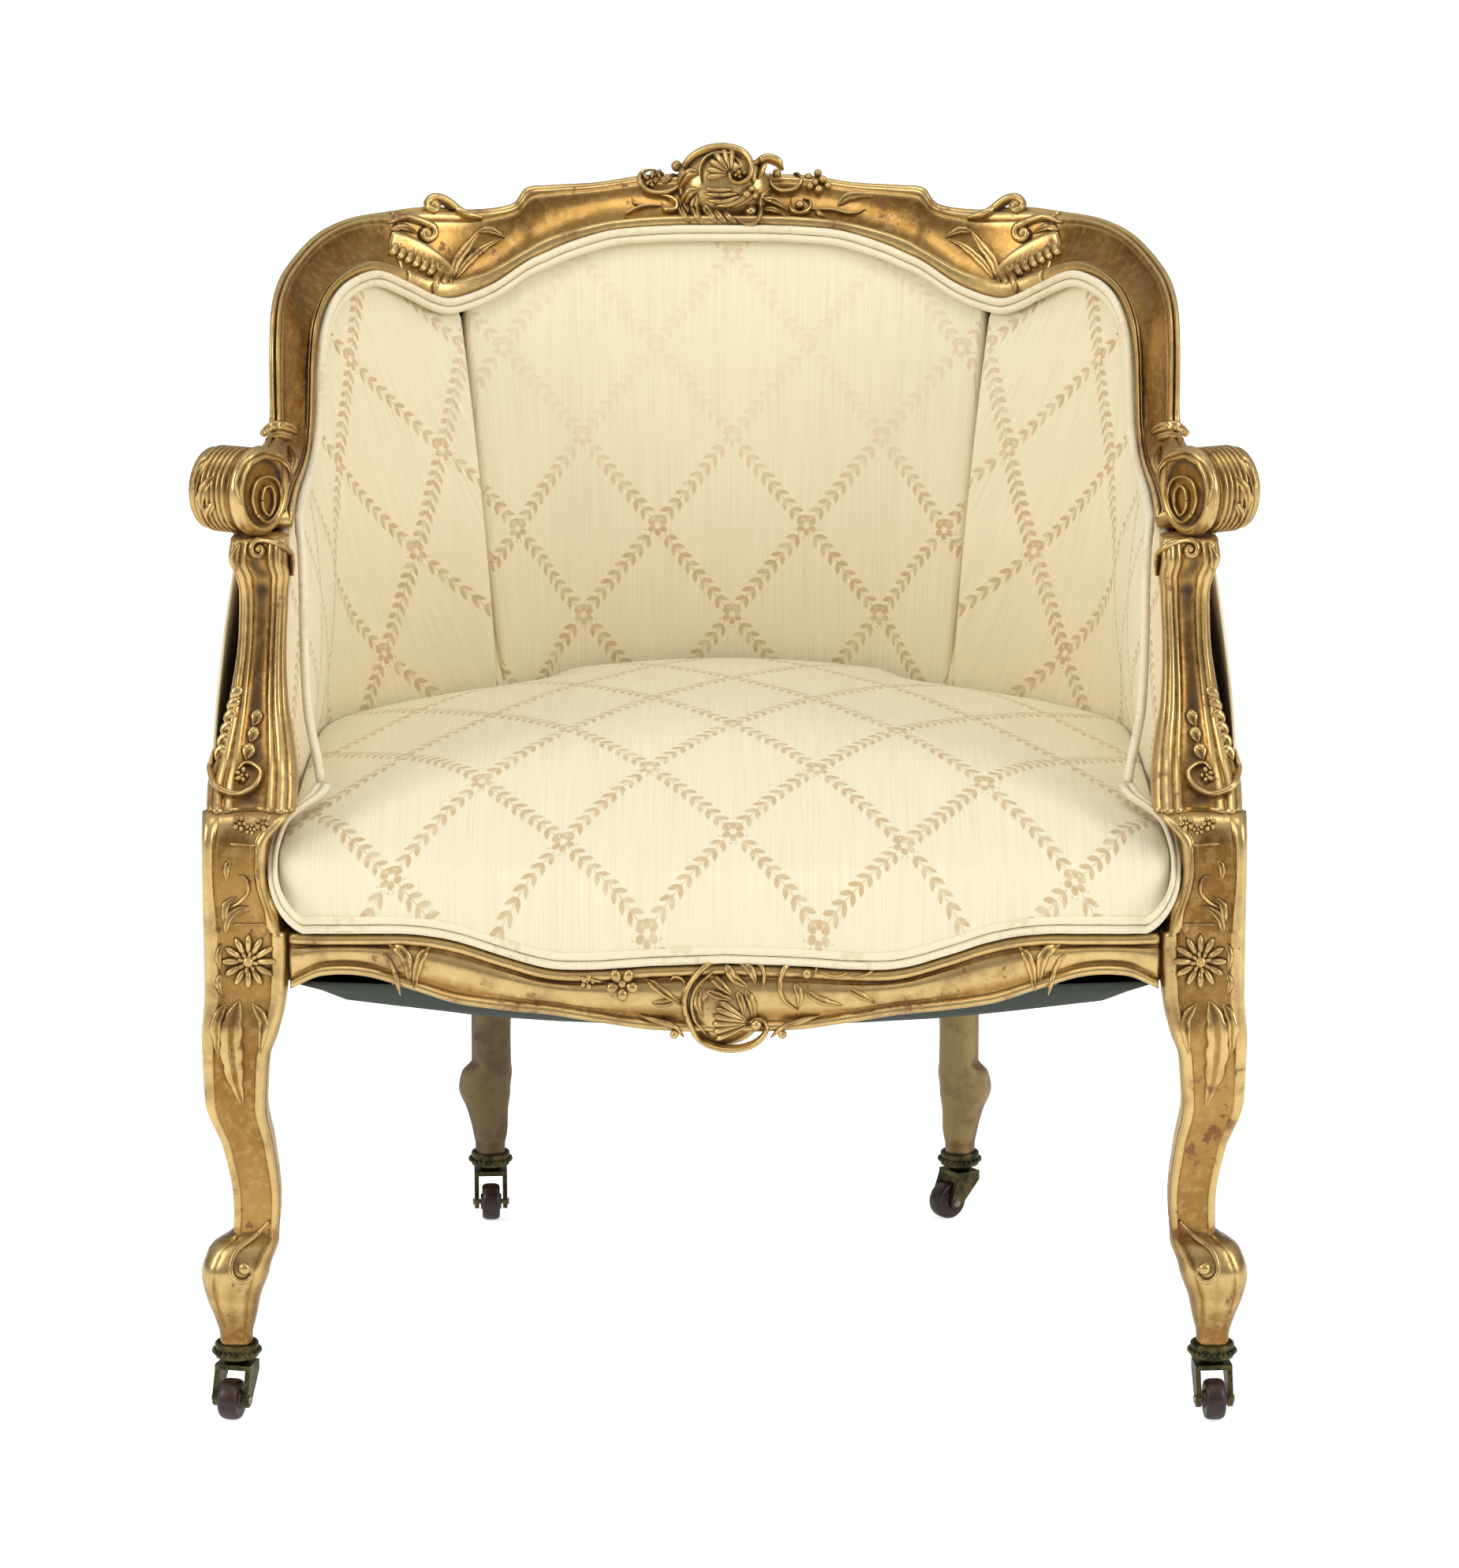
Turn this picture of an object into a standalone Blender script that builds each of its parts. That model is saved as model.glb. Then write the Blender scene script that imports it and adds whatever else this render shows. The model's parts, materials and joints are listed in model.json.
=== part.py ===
# Bergere armchair: gilt beech frame, sprung seat, buttonless pads, four swivel casters.
# Metres, +Z up, floor at zero, the front of the chair towards -Y.

import math

import bmesh
import bpy
from mathutils import Matrix, Vector

OBJECT_NAME = "bergere_armchair"
SIDES = (("left", -1), ("right", 1))

# Fits
GAP = 0.0003
OVERRUN = 0.002
SWIVEL_PLAY = 0.0003
CUP_PLAY = 0.0004

# Plan of the seat rails, outer face
SEAT_HALF_WIDTH = 0.372
SEAT_DEPTH = 0.272
SEAT_RUN_START = 0.0
SEAT_NARROWING = 0.020
SEAT_EXPONENT = 2.4

# Plan of the rails round the back and arms, outer face
TOP_INSET = 0.037
TOP_HALF_WIDTH = SEAT_HALF_WIDTH - TOP_INSET
BACK_REACH = 0.034
TOP_DEPTH = SEAT_DEPTH + BACK_REACH
TOP_RUN_START = 0.050
TOP_FLARE = 0.008
TOP_EXPONENT = 2.5
ARM_FRONT = 0.165

# Plan of the upholstered opening, at the rails and at the seat
RAIL_WIDTH = 0.029
OPENING_HALF_WIDTH = TOP_HALF_WIDTH - RAIL_WIDTH
BACK_RAIL_WIDTH = 0.044
OPENING_DEPTH = TOP_DEPTH - BACK_RAIL_WIDTH
OPENING_NARROWING = 0.006
ARM_PAD_WIDTH = 0.003
WELL_HALF_WIDTH = OPENING_HALF_WIDTH - ARM_PAD_WIDTH
BACK_PAD_WIDTH = 0.034
WELL_DEPTH = OPENING_DEPTH - BACK_PAD_WIDTH
WELL_NARROWING = 0.003

# Heights
REBATE_HEIGHT = 0.357
REBATE_DEPTH = 0.028
SEAT_RAIL_TOP = REBATE_HEIGHT + REBATE_DEPTH
SEAT_RAIL_HEIGHT = 0.070
SEAT_RAIL_BOTTOM = SEAT_RAIL_TOP - SEAT_RAIL_HEIGHT
SEAT_RAIL_THICKNESS = 0.040
ARM_HEIGHT = 0.270
ARM_TOP = SEAT_RAIL_TOP + ARM_HEIGHT
CREST_HEIGHT = 0.167
RAIL_DEPTH = 0.035

# Station rows of the rail from the middle of the back to the front of an arm:
# outer plan share, outer height share, inner plan share, depth share
RAIL_SHARES = (
    (0.000, 1.000, 0.000, 1.00),
    (0.045, 0.994, 0.045, 0.97),
    (0.090, 0.988, 0.090, 0.97),
    (0.143, 0.958, 0.140, 0.91),
    (0.195, 0.946, 0.190, 1.11),
    (0.222, 0.934, 0.218, 1.26),
    (0.240, 0.862, 0.240, 1.09),
    (0.284, 0.838, 0.285, 1.46),
    (0.325, 0.850, 0.333, 1.77),
    (0.355, 0.856, 0.362, 1.69),
    (0.390, 0.850, 0.395, 1.37),
    (0.447, 0.838, 0.440, 1.00),
    (0.503, 0.790, 0.482, 0.83),
    (0.564, 0.700, 0.522, 0.63),
    (0.620, 0.617, 0.552, 0.57),
    (0.665, 0.515, 0.578, 0.54),
    (0.690, 0.360, 0.596, 0.43),
    (0.697, 0.180, 0.606, 0.29),
    (0.702, 0.042, 0.622, 0.34),
    (0.738, 0.000, 0.662, 0.54),
    (0.803, -0.012, 0.742, 0.66),
    (0.872, 0.012, 0.842, 0.83),
    (0.935, 0.048, 0.924, 1.11),
    (1.000, 0.090, 1.000, 1.43),
)
JOINT_STATION = 10
LAST_STATION = len(RAIL_SHARES) - 1

# Section of the rail: share across from the opening to the outer face, share up the depth
RAIL_SECTION_SHARES = (
    (0.00, 0.00), (0.00, 0.20), (0.16, 0.22), (0.42, 0.42), (0.62, 0.76), (0.70, 1.00),
    (0.85, 1.06), (1.00, 0.98), (1.05, 0.70), (1.00, 0.15), (0.97, -0.50), (0.47, -0.50),
    (0.45, -0.09), (0.03, -0.07),
)
RAIL_UNDERSIDE_SHARE = -0.50
RAIL_UNDERSIDE_EDGE_SHARES = (0.47, 0.97)

# Carved masses on the rails
CREST_SHELL_SIZE = (0.048, 0.022, 0.029)
CREST_SHELL_RISE = 0.022
KNOB_RADIUS = 0.010
KNOB_STATION = 8.0
APRON_SHELL_SIZE = (0.030, 0.014, 0.030)
APRON_SHELL_DROP = 0.015
APRON_SHELL_LEAD = 0.004
CARVING_SEGMENTS = 12
CARVING_RINGS = 8

# Scrolled handhold at the front of each arm
SCROLL_RADIUS = 0.031
SCROLL_WIDTH = 0.046
SCROLL_TURN = math.radians(30)
SCROLL_OUT = 0.001
SCROLL_REACH = 0.022
SCROLL_DROP = 0.009
SCROLL_CENTRE = Vector((TOP_HALF_WIDTH + SCROLL_OUT, -ARM_FRONT - SCROLL_REACH,
                        ARM_TOP - SCROLL_DROP))
SCROLL_EDGE = 0.004
SCROLL_SIDES = 20

# Caster
WHEEL_RADIUS = 0.0145
WHEEL_WIDTH = 0.0140
WHEEL_ROUND = 0.0022
WHEEL_STEPS = 20
WHEEL_HUB_STEP = 0.0012
WHEEL_HUB_RADIUS = 0.0060
WHEEL_SIDE_PLAY = 0.0012
WHEEL_TOP_PLAY = 0.0056
AXLE_RADIUS = 0.0020
AXLE_HEAD_RADIUS = 0.0034
AXLE_HEAD = 0.0012
AXLE_DOME_SHARE = 0.7
AXLE_STEPS = 12
TRAIL = 0.0120
FORK_PLATE = 0.0036
FORK_CHEEK = 0.0036
FORK_WIDTH = WHEEL_WIDTH + 2 * (WHEEL_HUB_STEP + WHEEL_SIDE_PLAY + FORK_CHEEK)
FORK_TOP = 2 * WHEEL_RADIUS + WHEEL_TOP_PLAY + FORK_PLATE
FORK_DEPTH_BACK = 0.0100
FORK_DEPTH_FRONT = 0.0105
FORK_FOOT = 0.0050
FORK_BOSS_SHARE = 1.5
STEM_RADIUS = 0.0030
COLLAR_BOTTOM = FORK_TOP + GAP
COLLAR_BASE = 0.0060
COLLAR_FLOOR = COLLAR_BOTTOM + COLLAR_BASE
COLLAR_HEIGHT = 0.0145
COLLAR_TOP = COLLAR_BOTTOM + COLLAR_HEIGHT
COLLAR_CUP_RADIUS = 0.0136
COLLAR_WALL = 0.0016
COLLAR_LIP_RADIUS = COLLAR_CUP_RADIUS + COLLAR_WALL
COLLAR_RING_SWELL = 0.0028
COLLAR_RING_RADIUS = COLLAR_LIP_RADIUS + COLLAR_RING_SWELL
COLLAR_NECK_WALL = 0.0045
COLLAR_NECK_RADIUS = STEM_RADIUS + SWIVEL_PLAY + COLLAR_NECK_WALL
COLLAR_BEVEL = 0.0025
COLLAR_STEPS = 20
CASTER_TURNS = {
    ("front", "left"): math.radians(-14),
    ("front", "right"): math.radians(4),
    ("rear", "left"): math.radians(3),
    ("rear", "right"): math.radians(-55),
}

# Legs: corners of a section, and the foot that fits the caster's cup
LEG_SECTION_SHARES = ((1.0, 0.5), (0.5, 1.0), (-0.5, 1.0), (-1.0, 0.5), (-1.0, -0.5), (-0.5, -1.0),
                      (0.5, -1.0), (1.0, -0.5))
FOOT_HALF = (COLLAR_CUP_RADIUS - CUP_PLAY) / math.hypot(*LEG_SECTION_SHARES[0])
FOOT_RISE = 0.0055
FOOT_TOP = COLLAR_TOP + FOOT_RISE
TOE_BUTTON_RADIUS = 0.0065
TOE_BUTTON_RISE = 0.0535
TOE_BUTTON_HEIGHT = FOOT_TOP + TOE_BUTTON_RISE

# Front leg, rows from the top down: share of the height up to the rebate, then outward shift,
# forward shift, half width and half depth as shares of the block's half size
FRONT_BLOCK_HALF = 0.030
FRONT_LEG_INSET = 0.045
FRONT_LEG_ACROSS = SEAT_HALF_WIDTH - FRONT_LEG_INSET
FRONT_LEG_REACH = 0.101
FRONT_LEG_FORWARD = ARM_FRONT + FRONT_LEG_REACH
FRONT_BLOCK_BACK = FRONT_LEG_FORWARD - FRONT_BLOCK_HALF
FRONT_LEG_SHARES = (
    (1.060, 0.333, -0.033, 0.667, 0.967),
    (1.000, 0.333, 0.000, 0.667, 1.000),
    (0.998, 0.000, 0.000, 1.000, 1.000),
    (0.960, 0.000, 0.000, 1.000, 1.000),
    (0.846, 0.033, 0.033, 0.967, 1.000),
    (0.759, 0.167, 0.167, 0.900, 0.933),
    (0.705, 0.267, 0.200, 0.800, 0.833),
    (0.591, 0.300, 0.133, 0.733, 0.767),
    (0.474, 0.067, -0.200, 0.617, 0.667),
    (0.340, -0.067, -0.567, 0.567, 0.600),
    (0.256, -0.017, -0.667, 0.550, 0.583),
    (0.213, 0.300, -0.533, 0.817, 0.700),
    (0.166, 0.467, -0.400, 0.817, 0.733),
    (0.099, 0.533, -0.417, 0.650, 0.633),
    (0.038, 0.500, -0.500, 0.483, 0.483),
    (0.000, 0.500, -0.533, 0.393, 0.393),
)

# Rear leg, rows from the top down: share of the height up to the seat rail, then outward shift,
# backward shift and half sizes as shares of the block's half size
REAR_LEG_SHARE = 0.252
REAR_BLOCK_HALF = 0.023
REAR_BLOCK_INSET = 0.003
REAR_LEG_SHARES = (
    (1.000, 0.000, 0.000, 1.000, 0.739),
    (0.942, 0.000, 0.000, 0.913, 0.739),
    (0.786, 0.000, 0.174, 0.717, 0.761),
    (0.552, 0.000, 0.261, 0.696, 0.739),
    (0.357, 0.043, 0.348, 0.674, 0.696),
    (0.279, 0.043, 0.435, 0.674, 0.717),
    (0.232, 0.217, 0.696, 0.870, 0.870),
    (0.177, 0.304, 0.870, 0.891, 0.891),
    (0.115, 0.217, 0.870, 0.717, 0.717),
    (0.037, 0.130, 0.883, 0.587, 0.587),
    (0.000, 0.130, 0.883, 0.513, 0.513),
)

# Arm stump, rows from the top down: height share, outward shift as a share of the leg's half
# size, share of the way forward from foot to head, half width and half depth as shares as well
STUMP_TOP = SCROLL_CENTRE.z - SCROLL_RADIUS - GAP
STUMP_RISE = 0.0522
STUMP_BOTTOM = SEAT_RAIL_TOP + STUMP_RISE
STUMP_HEIGHT = STUMP_TOP - STUMP_BOTTOM
STUMP_FOOT_INSET = 0.0035
STUMP_FOOT_SETBACK = 0.014
STUMP_FOOT_FORWARD = FRONT_LEG_FORWARD - STUMP_FOOT_SETBACK
STUMP_HEAD_LEAD = 0.008
STUMP_HEAD_FORWARD = STUMP_HEAD_LEAD - SCROLL_CENTRE.y
STUMP_SHARES = (
    (1.000, -0.117, 1.000, 0.683, 0.700),
    (0.920, -0.083, 0.965, 0.717, 0.750),
    (0.850, -0.183, 0.965, 0.650, 0.683),
    (0.795, -0.183, 0.982, 0.583, 0.633),
    (0.630, -0.150, 0.930, 0.567, 0.633),
    (0.385, -0.067, 0.754, 0.683, 0.683),
    (0.190, -0.033, 0.456, 0.933, 0.800),
    (0.070, 0.000, 0.158, 1.067, 0.900),
    (0.000, 0.000, 0.000, 1.067, 1.000),
)
FRONT_LEG_TOP = STUMP_BOTTOM - GAP

# Front seat rail, stations across half the width: sideways share, share of the bow,
# drop of the lower edge and of the lip below the rebate as shares of the apron's depth
FRONT_RAIL_HALF = FRONT_LEG_ACROSS - FRONT_BLOCK_HALF
FRONT_RAIL_LEAD = 0.026
FRONT_RAIL_END = FRONT_LEG_FORWARD + FRONT_RAIL_LEAD
FRONT_RAIL_BOW = 0.020
FRONT_RAIL_THICKNESS = 0.030
FRONT_RAIL_BACK = FRONT_RAIL_END - FRONT_RAIL_THICKNESS
FRONT_RAIL_REBATE = 0.014
FRONT_RAIL_POINTS = 12
APRON_DEPTH = 0.067
FRONT_RAIL_SHARES = (
    (0.00, 1.00, 1.000, 0.269),
    (0.17, 0.97, 0.970, 0.299),
    (0.30, 0.86, 0.896, 0.343),
    (0.40, 0.68, 0.836, 0.343),
    (0.50, 0.46, 0.806, 0.239),
    (0.62, 0.22, 0.746, 0.090),
    (0.72, 0.08, 0.612, 0.030),
    (0.83, 0.00, 0.478, 0.030),
    (0.93, 0.00, 0.478, 0.030),
    (1.00, 0.04, 0.612, 0.015),
)

# Upholstery
DECK_THICKNESS = 0.0015
DECK_OVERLAP = 0.010
PAD_BASE = SEAT_RAIL_TOP + DECK_THICKNESS + 2 * GAP
PAD_BASE_INSET = 0.0285
PAD_CROWN = 0.012
PAD_SEAM_STATION = 7.65
PAD_SEAM_LEAN_SHARE = 0.040
PAD_LEAN_STATIONS = 3.0
PAD_RECESS_SHARE = 0.12
PAD_TOP_SHARE = 0.37
PAD_DROP_SHARE = -0.22
PAD_WING_STATION = 13.0
PAD_ELBOW_STATION = 18.0
PAD_COLUMNS = 6
COVER_THICKNESS = 0.0024
COVER_BULGE = 0.006
COVER_SEAM_STATION = 11.0
COVER_TOP_SHARE = 0.96
COVER_DROP_SHARE = -0.54
COVER_ROWS = 4
SEAT_PEAK_RISE = 0.081
SEAT_SIDE_RISE = 0.043
SEAT_BACK_RISE = 0.070
SEAT_FRONT_RISE = 0.017
SEAT_PEAK = SEAT_RAIL_TOP + SEAT_PEAK_RISE
SEAT_SIDE_EDGE = SEAT_RAIL_TOP + SEAT_SIDE_RISE
SEAT_BACK_EDGE = SEAT_RAIL_TOP + SEAT_BACK_RISE
SEAT_FRONT_EDGE = SEAT_RAIL_TOP + SEAT_FRONT_RISE
SEAT_EDGE_STATION = 12.0
SEAT_CROWN_EXPONENT = 2.3
SEAT_CENTRE_FORWARD = 0.030
SEAT_FRONT_BULGE = 0.004
SEAT_SKIRT_SETBACK = 0.0052
SEAT_SKIRT_THICKNESS = 0.003
SEAT_CROWN_SHARES = (0.15, 0.40, 0.62, 0.80, 0.93)

# Sides of the seat from the top edge down: share of the drop, share of the front's bulge
SEAT_SIDE_SHARES = ((0.18, 0.7), (0.5, 1.0), (0.78, 0.0), (1.0, 0.0))

# Front part of the seat's outline, from the stump to the middle of the front: sideways share,
# share of the way forward, lower edge share between the lip and the deck
SEAT_CORNER_SHARES = (
    (1.0067, 0.315, 1.0),
    (1.0067, 0.472, 1.0),
    (1.0050, 0.591, 1.0),
    (1.0050, 0.748, 1.0),
    (0.9966, 0.912, 1.0),
    (0.9730, 0.961, 0.1),
)

# Double welt, its section, and its ends as shares sideways, forward and up
WELT_WIDTH = 0.0125
WELT_THICKNESS = 0.0062
WELT_SECTION_SHARES = ((0.0, 0.15), (0.12, 0.85), (0.34, 1.0), (0.5, 0.7), (0.66, 1.0), (0.88, 0.85),
                       (1.0, 0.15), (0.5, 0.0))
WELT_STOP_STATIONS = 0.4
WELT_TILT_SHARE = 0.3
BACK_WELT_TAIL_SHARES = (
    (1.0017, 0.008, 0.766),
    (0.9950, 0.118, 0.648),
    (0.9950, 0.126, 0.449),
    (0.9865, 0.181, 0.273),
    (0.9646, 0.268, 0.141),
    (0.9545, 0.315, 0.070),
)
SEAT_WELT_HEAD_SHARES = (
    (0.939, 0.354, 0.048),
    (0.956, 0.441, 0.024),
    (0.993, 0.543, -0.002),
    (1.020, 0.646, -0.031),
    (1.035, 0.756, -0.075),
    (1.039, 0.866, -0.132),
    (1.027, 0.961, -0.189),
    (1.000, 1.020, -0.242),
)
SEAT_WELT_SETBACK = 0.0015

# Tenons and pegs
TENON_THICKNESS = 0.010
TENON_HEIGHT = 0.022
TENON_LENGTH = 0.018
REAR_TENON_LENGTH = 0.012
PEG_WIDTH = 0.012
FRONT_TENON_RISE = 0.025
SIDE_TENON_RISE = 0.030
FRONT_TENON_CENTRE = Vector((FRONT_RAIL_HALF, -(FRONT_RAIL_END + FRONT_RAIL_BACK) / 2,
                             SEAT_RAIL_BOTTOM + FRONT_TENON_RISE))
SIDE_TENON_CENTRE = Vector((SEAT_HALF_WIDTH - SEAT_NARROWING - SEAT_RAIL_THICKNESS / 2,
                            -FRONT_BLOCK_BACK, SEAT_RAIL_BOTTOM + SIDE_TENON_RISE))
STUMP_FOOT_PEG_OUT = 0.009
STUMP_FOOT_PEG_BACK = 0.008
STUMP_FOOT_CENTRE = Vector((FRONT_LEG_ACROSS + STUMP_FOOT_PEG_OUT,
                            STUMP_FOOT_PEG_BACK - FRONT_LEG_FORWARD, STUMP_BOTTOM))
STUMP_HEAD_PEG_IN = 0.011
STUMP_HEAD_PEG_LEAD = 0.004
STUMP_HEAD_CENTRE = Vector((SCROLL_CENTRE.x - STUMP_HEAD_PEG_IN,
                            SCROLL_CENTRE.y - STUMP_HEAD_PEG_LEAD, STUMP_TOP))
CREST_PEG_RISE_SHARE = 0.25

# Hidden frame
STILE_STATION = 7.0
STILE_WIDTH = 0.030
STILE_THICKNESS = 0.014
STILE_HEAD_SHARE = 0.68
STILE_INSET = 0.007
STILE_PROBE_STATIONS = 1.5
CORNER_BLOCK_HEIGHT = 0.045
CORNER_BLOCK_DROP = 0.010
CORNER_BLOCK_LEG = 0.050
CORNER_BLOCK_DEPTH = 0.028

# Webbing and springs, placed as shares of the seat plan's half width and depth
WEB_WIDTH = 0.048
WEB_THICKNESS = 0.0024
WEB_OVERLAP = 0.018
WEB_LENGTHWISE_SHARES = (-0.551, -0.188, 0.188, 0.551)
WEB_CROSSWISE_SHARES = (-0.680, -0.276, 0.129, 0.533)
SPRING_PLACE_SHARES = ((-0.368, -0.478), (0.368, -0.478), (0.0, -0.074), (-0.368, 0.331),
                       (0.368, 0.331))
SPRING_RADIUS = 0.031
SPRING_WAIST_SHARE = 0.72
SPRING_WIRE = 0.0034
SPRING_TURNS = 4
SPRING_POINTS_PER_TURN = 10

# Dust cover
DUST_THICKNESS = 0.0012
DUST_SAG = 0.042
DUST_EXPONENT = 3.0
DUST_RING_EXPONENT = 1.6
DUST_RINGS = 4
DUST_DIRECTIONS = 36
LEG_PLAY = 0.006
LEG_CLEARANCE = FRONT_BLOCK_HALF + LEG_PLAY
REACH_STEP = 0.002

SMOOTH_ANGLE = math.radians(40)

GILT = ("gilt", (0.55, 0.36, 0.13), 0.42, 0.75)
BEECH = ("beech", (0.48, 0.32, 0.18), 0.70, 0.0)
SILK = ("silk", (0.88, 0.84, 0.69), 0.62, 0.0)
WELT_SILK = ("welt_silk", (0.90, 0.86, 0.74), 0.60, 0.0)
HESSIAN = ("hessian", (0.45, 0.34, 0.20), 0.90, 0.0)
JUTE = ("jute", (0.50, 0.38, 0.22), 0.90, 0.0)
DUST_CLOTH = ("dust_cloth", (0.045, 0.055, 0.045), 0.85, 0.0)
STEEL = ("spring_steel", (0.30, 0.26, 0.22), 0.45, 1.0)
BRONZE = ("bronze", (0.12, 0.13, 0.09), 0.50, 0.85)
LIGNUM = ("dark_wheel", (0.09, 0.06, 0.05), 0.45, 0.0)


# Scene bookkeeping

def clear_scene():
    for item in list(bpy.data.objects):
        bpy.data.objects.remove(item, do_unlink=True)


def new_collection(name):
    made = bpy.data.collections.new(name)
    bpy.context.scene.collection.children.link(made)
    return made


def material(spec):
    name, colour, roughness, metallic = spec
    made = bpy.data.materials.get(name)
    if made:
        return made
    made = bpy.data.materials.new(name)
    made.use_nodes = True
    shader = made.node_tree.nodes["Principled BSDF"]
    shader.inputs["Base Color"].default_value = (*colour, 1.0)
    shader.inputs["Roughness"].default_value = roughness
    shader.inputs["Metallic"].default_value = metallic
    return made


def add_mesh(name, bm, spec, parts, smooth=True):
    """Put a finished bmesh in the scene as one named part."""
    bmesh.ops.recalc_face_normals(bm, faces=bm.faces)
    mesh = bpy.data.meshes.new(name)
    bm.to_mesh(mesh)
    bm.free()
    if smooth:
        mesh.shade_smooth()
        mesh.set_sharp_from_angle(angle=SMOOTH_ANGLE)
    mesh.materials.append(material(spec))
    made = bpy.data.objects.new(name, mesh)
    parts.objects.link(made)
    return made


def add_cutter(name, bm, cutters):
    bmesh.ops.recalc_face_normals(bm, faces=bm.faces)
    mesh = bpy.data.meshes.new(name)
    bm.to_mesh(mesh)
    bm.free()
    made = bpy.data.objects.new(name, mesh)
    made.hide_render = True
    made.display_type = "WIRE"
    cutters.objects.link(made)
    return made


def add_boolean(target, cutter, operation):
    modifier = target.modifiers.new(operation.lower(), "BOOLEAN")
    modifier.operation = operation
    modifier.object = cutter
    return modifier


# Curves in plan and tables

def read_rows(rows, place):
    """Smooth value of a table at a place counted in rows."""
    last = len(rows) - 1
    place = min(max(place, 0.0), float(last))
    low = min(int(place), last - 1)
    part = place - low
    before, start = rows[max(low - 1, 0)], rows[low]
    end, after = rows[low + 1], rows[min(low + 2, last)]
    values = []
    for a, b, c, d in zip(before, start, end, after):
        leave = (c - a) / 2 if low > 0 else c - b
        arrive = (d - b) / 2 if low + 2 <= last else c - b
        square, cube = part * part, part ** 3
        values.append(b * (2 * cube - 3 * square + 1) + leave * (cube - 2 * square + part)
                      + c * (3 * square - 2 * cube) + arrive * (cube - square))
    return values


class Plan:
    """Half of a tub's plan: a superellipse quarter round the back, then a run to the front."""

    SAMPLES = 160

    def __init__(self, half_width, back, turn, front, flare, exponent):
        self.points = []
        for index in range(self.SAMPLES + 1):
            angle = math.pi / 2 * index / self.SAMPLES
            power = 2 / exponent
            across = half_width * math.sin(angle) ** power
            along = turn + (back - turn) * max(math.cos(angle), 0.0) ** power
            self.points.append(Vector((across, along, 0.0)))
        for index in range(1, self.SAMPLES + 1):
            part = index / self.SAMPLES
            self.points.append(Vector((half_width + flare * part * part,
                                       turn + (front - turn) * part, 0.0)))
        self.lengths = [0.0]
        for start, end in zip(self.points, self.points[1:]):
            self.lengths.append(self.lengths[-1] + (end - start).length)
        self.total = self.lengths[-1]

    def segment(self, share):
        want = min(max(share, 0.0), 1.0) * self.total
        index = 1
        while index < len(self.lengths) - 1 and self.lengths[index] < want:
            index += 1
        return index, want

    def at(self, share, offset=0.0):
        index, want = self.segment(share)
        start, end = self.points[index - 1], self.points[index]
        step = self.lengths[index] - self.lengths[index - 1]
        point = start.lerp(end, (want - self.lengths[index - 1]) / step)
        return point + self.normal(share) * offset

    def tangent(self, share):
        index, want = self.segment(share)
        first = max(index - 3, 0)
        second = min(index + 2, len(self.points) - 1)
        along = self.points[second] - self.points[first]
        if index < 4:
            along = Vector((1.0, 0.0, 0.0))
        return along.normalized()

    def normal(self, share):
        along = self.tangent(share)
        return Vector((-along.y, along.x, 0.0))

    def share_of_depth(self, depth):
        """Share at which the run to the front reaches a place along the depth."""
        for length, point in zip(self.lengths, self.points):
            if point.y <= depth:
                return length / self.total
        return 1.0


SEAT_PLAN = Plan(SEAT_HALF_WIDTH, SEAT_DEPTH, SEAT_RUN_START, -FRONT_BLOCK_BACK + GAP, -SEAT_NARROWING,
                 SEAT_EXPONENT)
TOP_PLAN = Plan(TOP_HALF_WIDTH, TOP_DEPTH, TOP_RUN_START, -ARM_FRONT, TOP_FLARE, TOP_EXPONENT)
OPENING_PLAN = Plan(OPENING_HALF_WIDTH, OPENING_DEPTH, TOP_RUN_START, -ARM_FRONT, -OPENING_NARROWING,
                    TOP_EXPONENT)
WELL_PLAN = Plan(WELL_HALF_WIDTH, WELL_DEPTH, TOP_RUN_START, -ARM_FRONT, -WELL_NARROWING, TOP_EXPONENT)


def mirrored(points, side):
    return [Vector((point.x * side, point.y, point.z)) for point in points]


# Bodies through sections

def oriented_box(centre, along, start, end, width, height, upright):
    """Box from start to end along a direction, with its width across and its height upright."""
    across = upright.cross(along).normalized()
    bm = bmesh.new()
    bmesh.ops.create_cube(bm, size=1)
    place = Matrix((across, upright, along)).transposed().to_4x4()
    middle = centre + along * ((start + end) / 2)
    size = Matrix.Diagonal((width, height, end - start, 1))
    bmesh.ops.transform(bm, matrix=Matrix.Translation(middle) @ place @ size, verts=bm.verts)
    return bm


def add_tenon(name, male, female, centre, along, length, width, height, cutters,
              upright=Vector((0.0, 0.0, 1.0))):
    """Tenon on one piece and its mortise, a gap larger all round, in the other."""
    along = along.normalized()
    upright = (upright - along * upright.dot(along)).normalized()
    root = -GAP - OVERRUN
    tenon = oriented_box(centre, along, root, length, width, height, upright)
    add_boolean(male, add_cutter(name + "_tenon", tenon, cutters), "UNION")
    mortise = oriented_box(centre, along, root, length + GAP, width + 2 * GAP, height + 2 * GAP,
                           upright)
    add_boolean(female, add_cutter(name + "_mortise", mortise, cutters), "DIFFERENCE")


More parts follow.
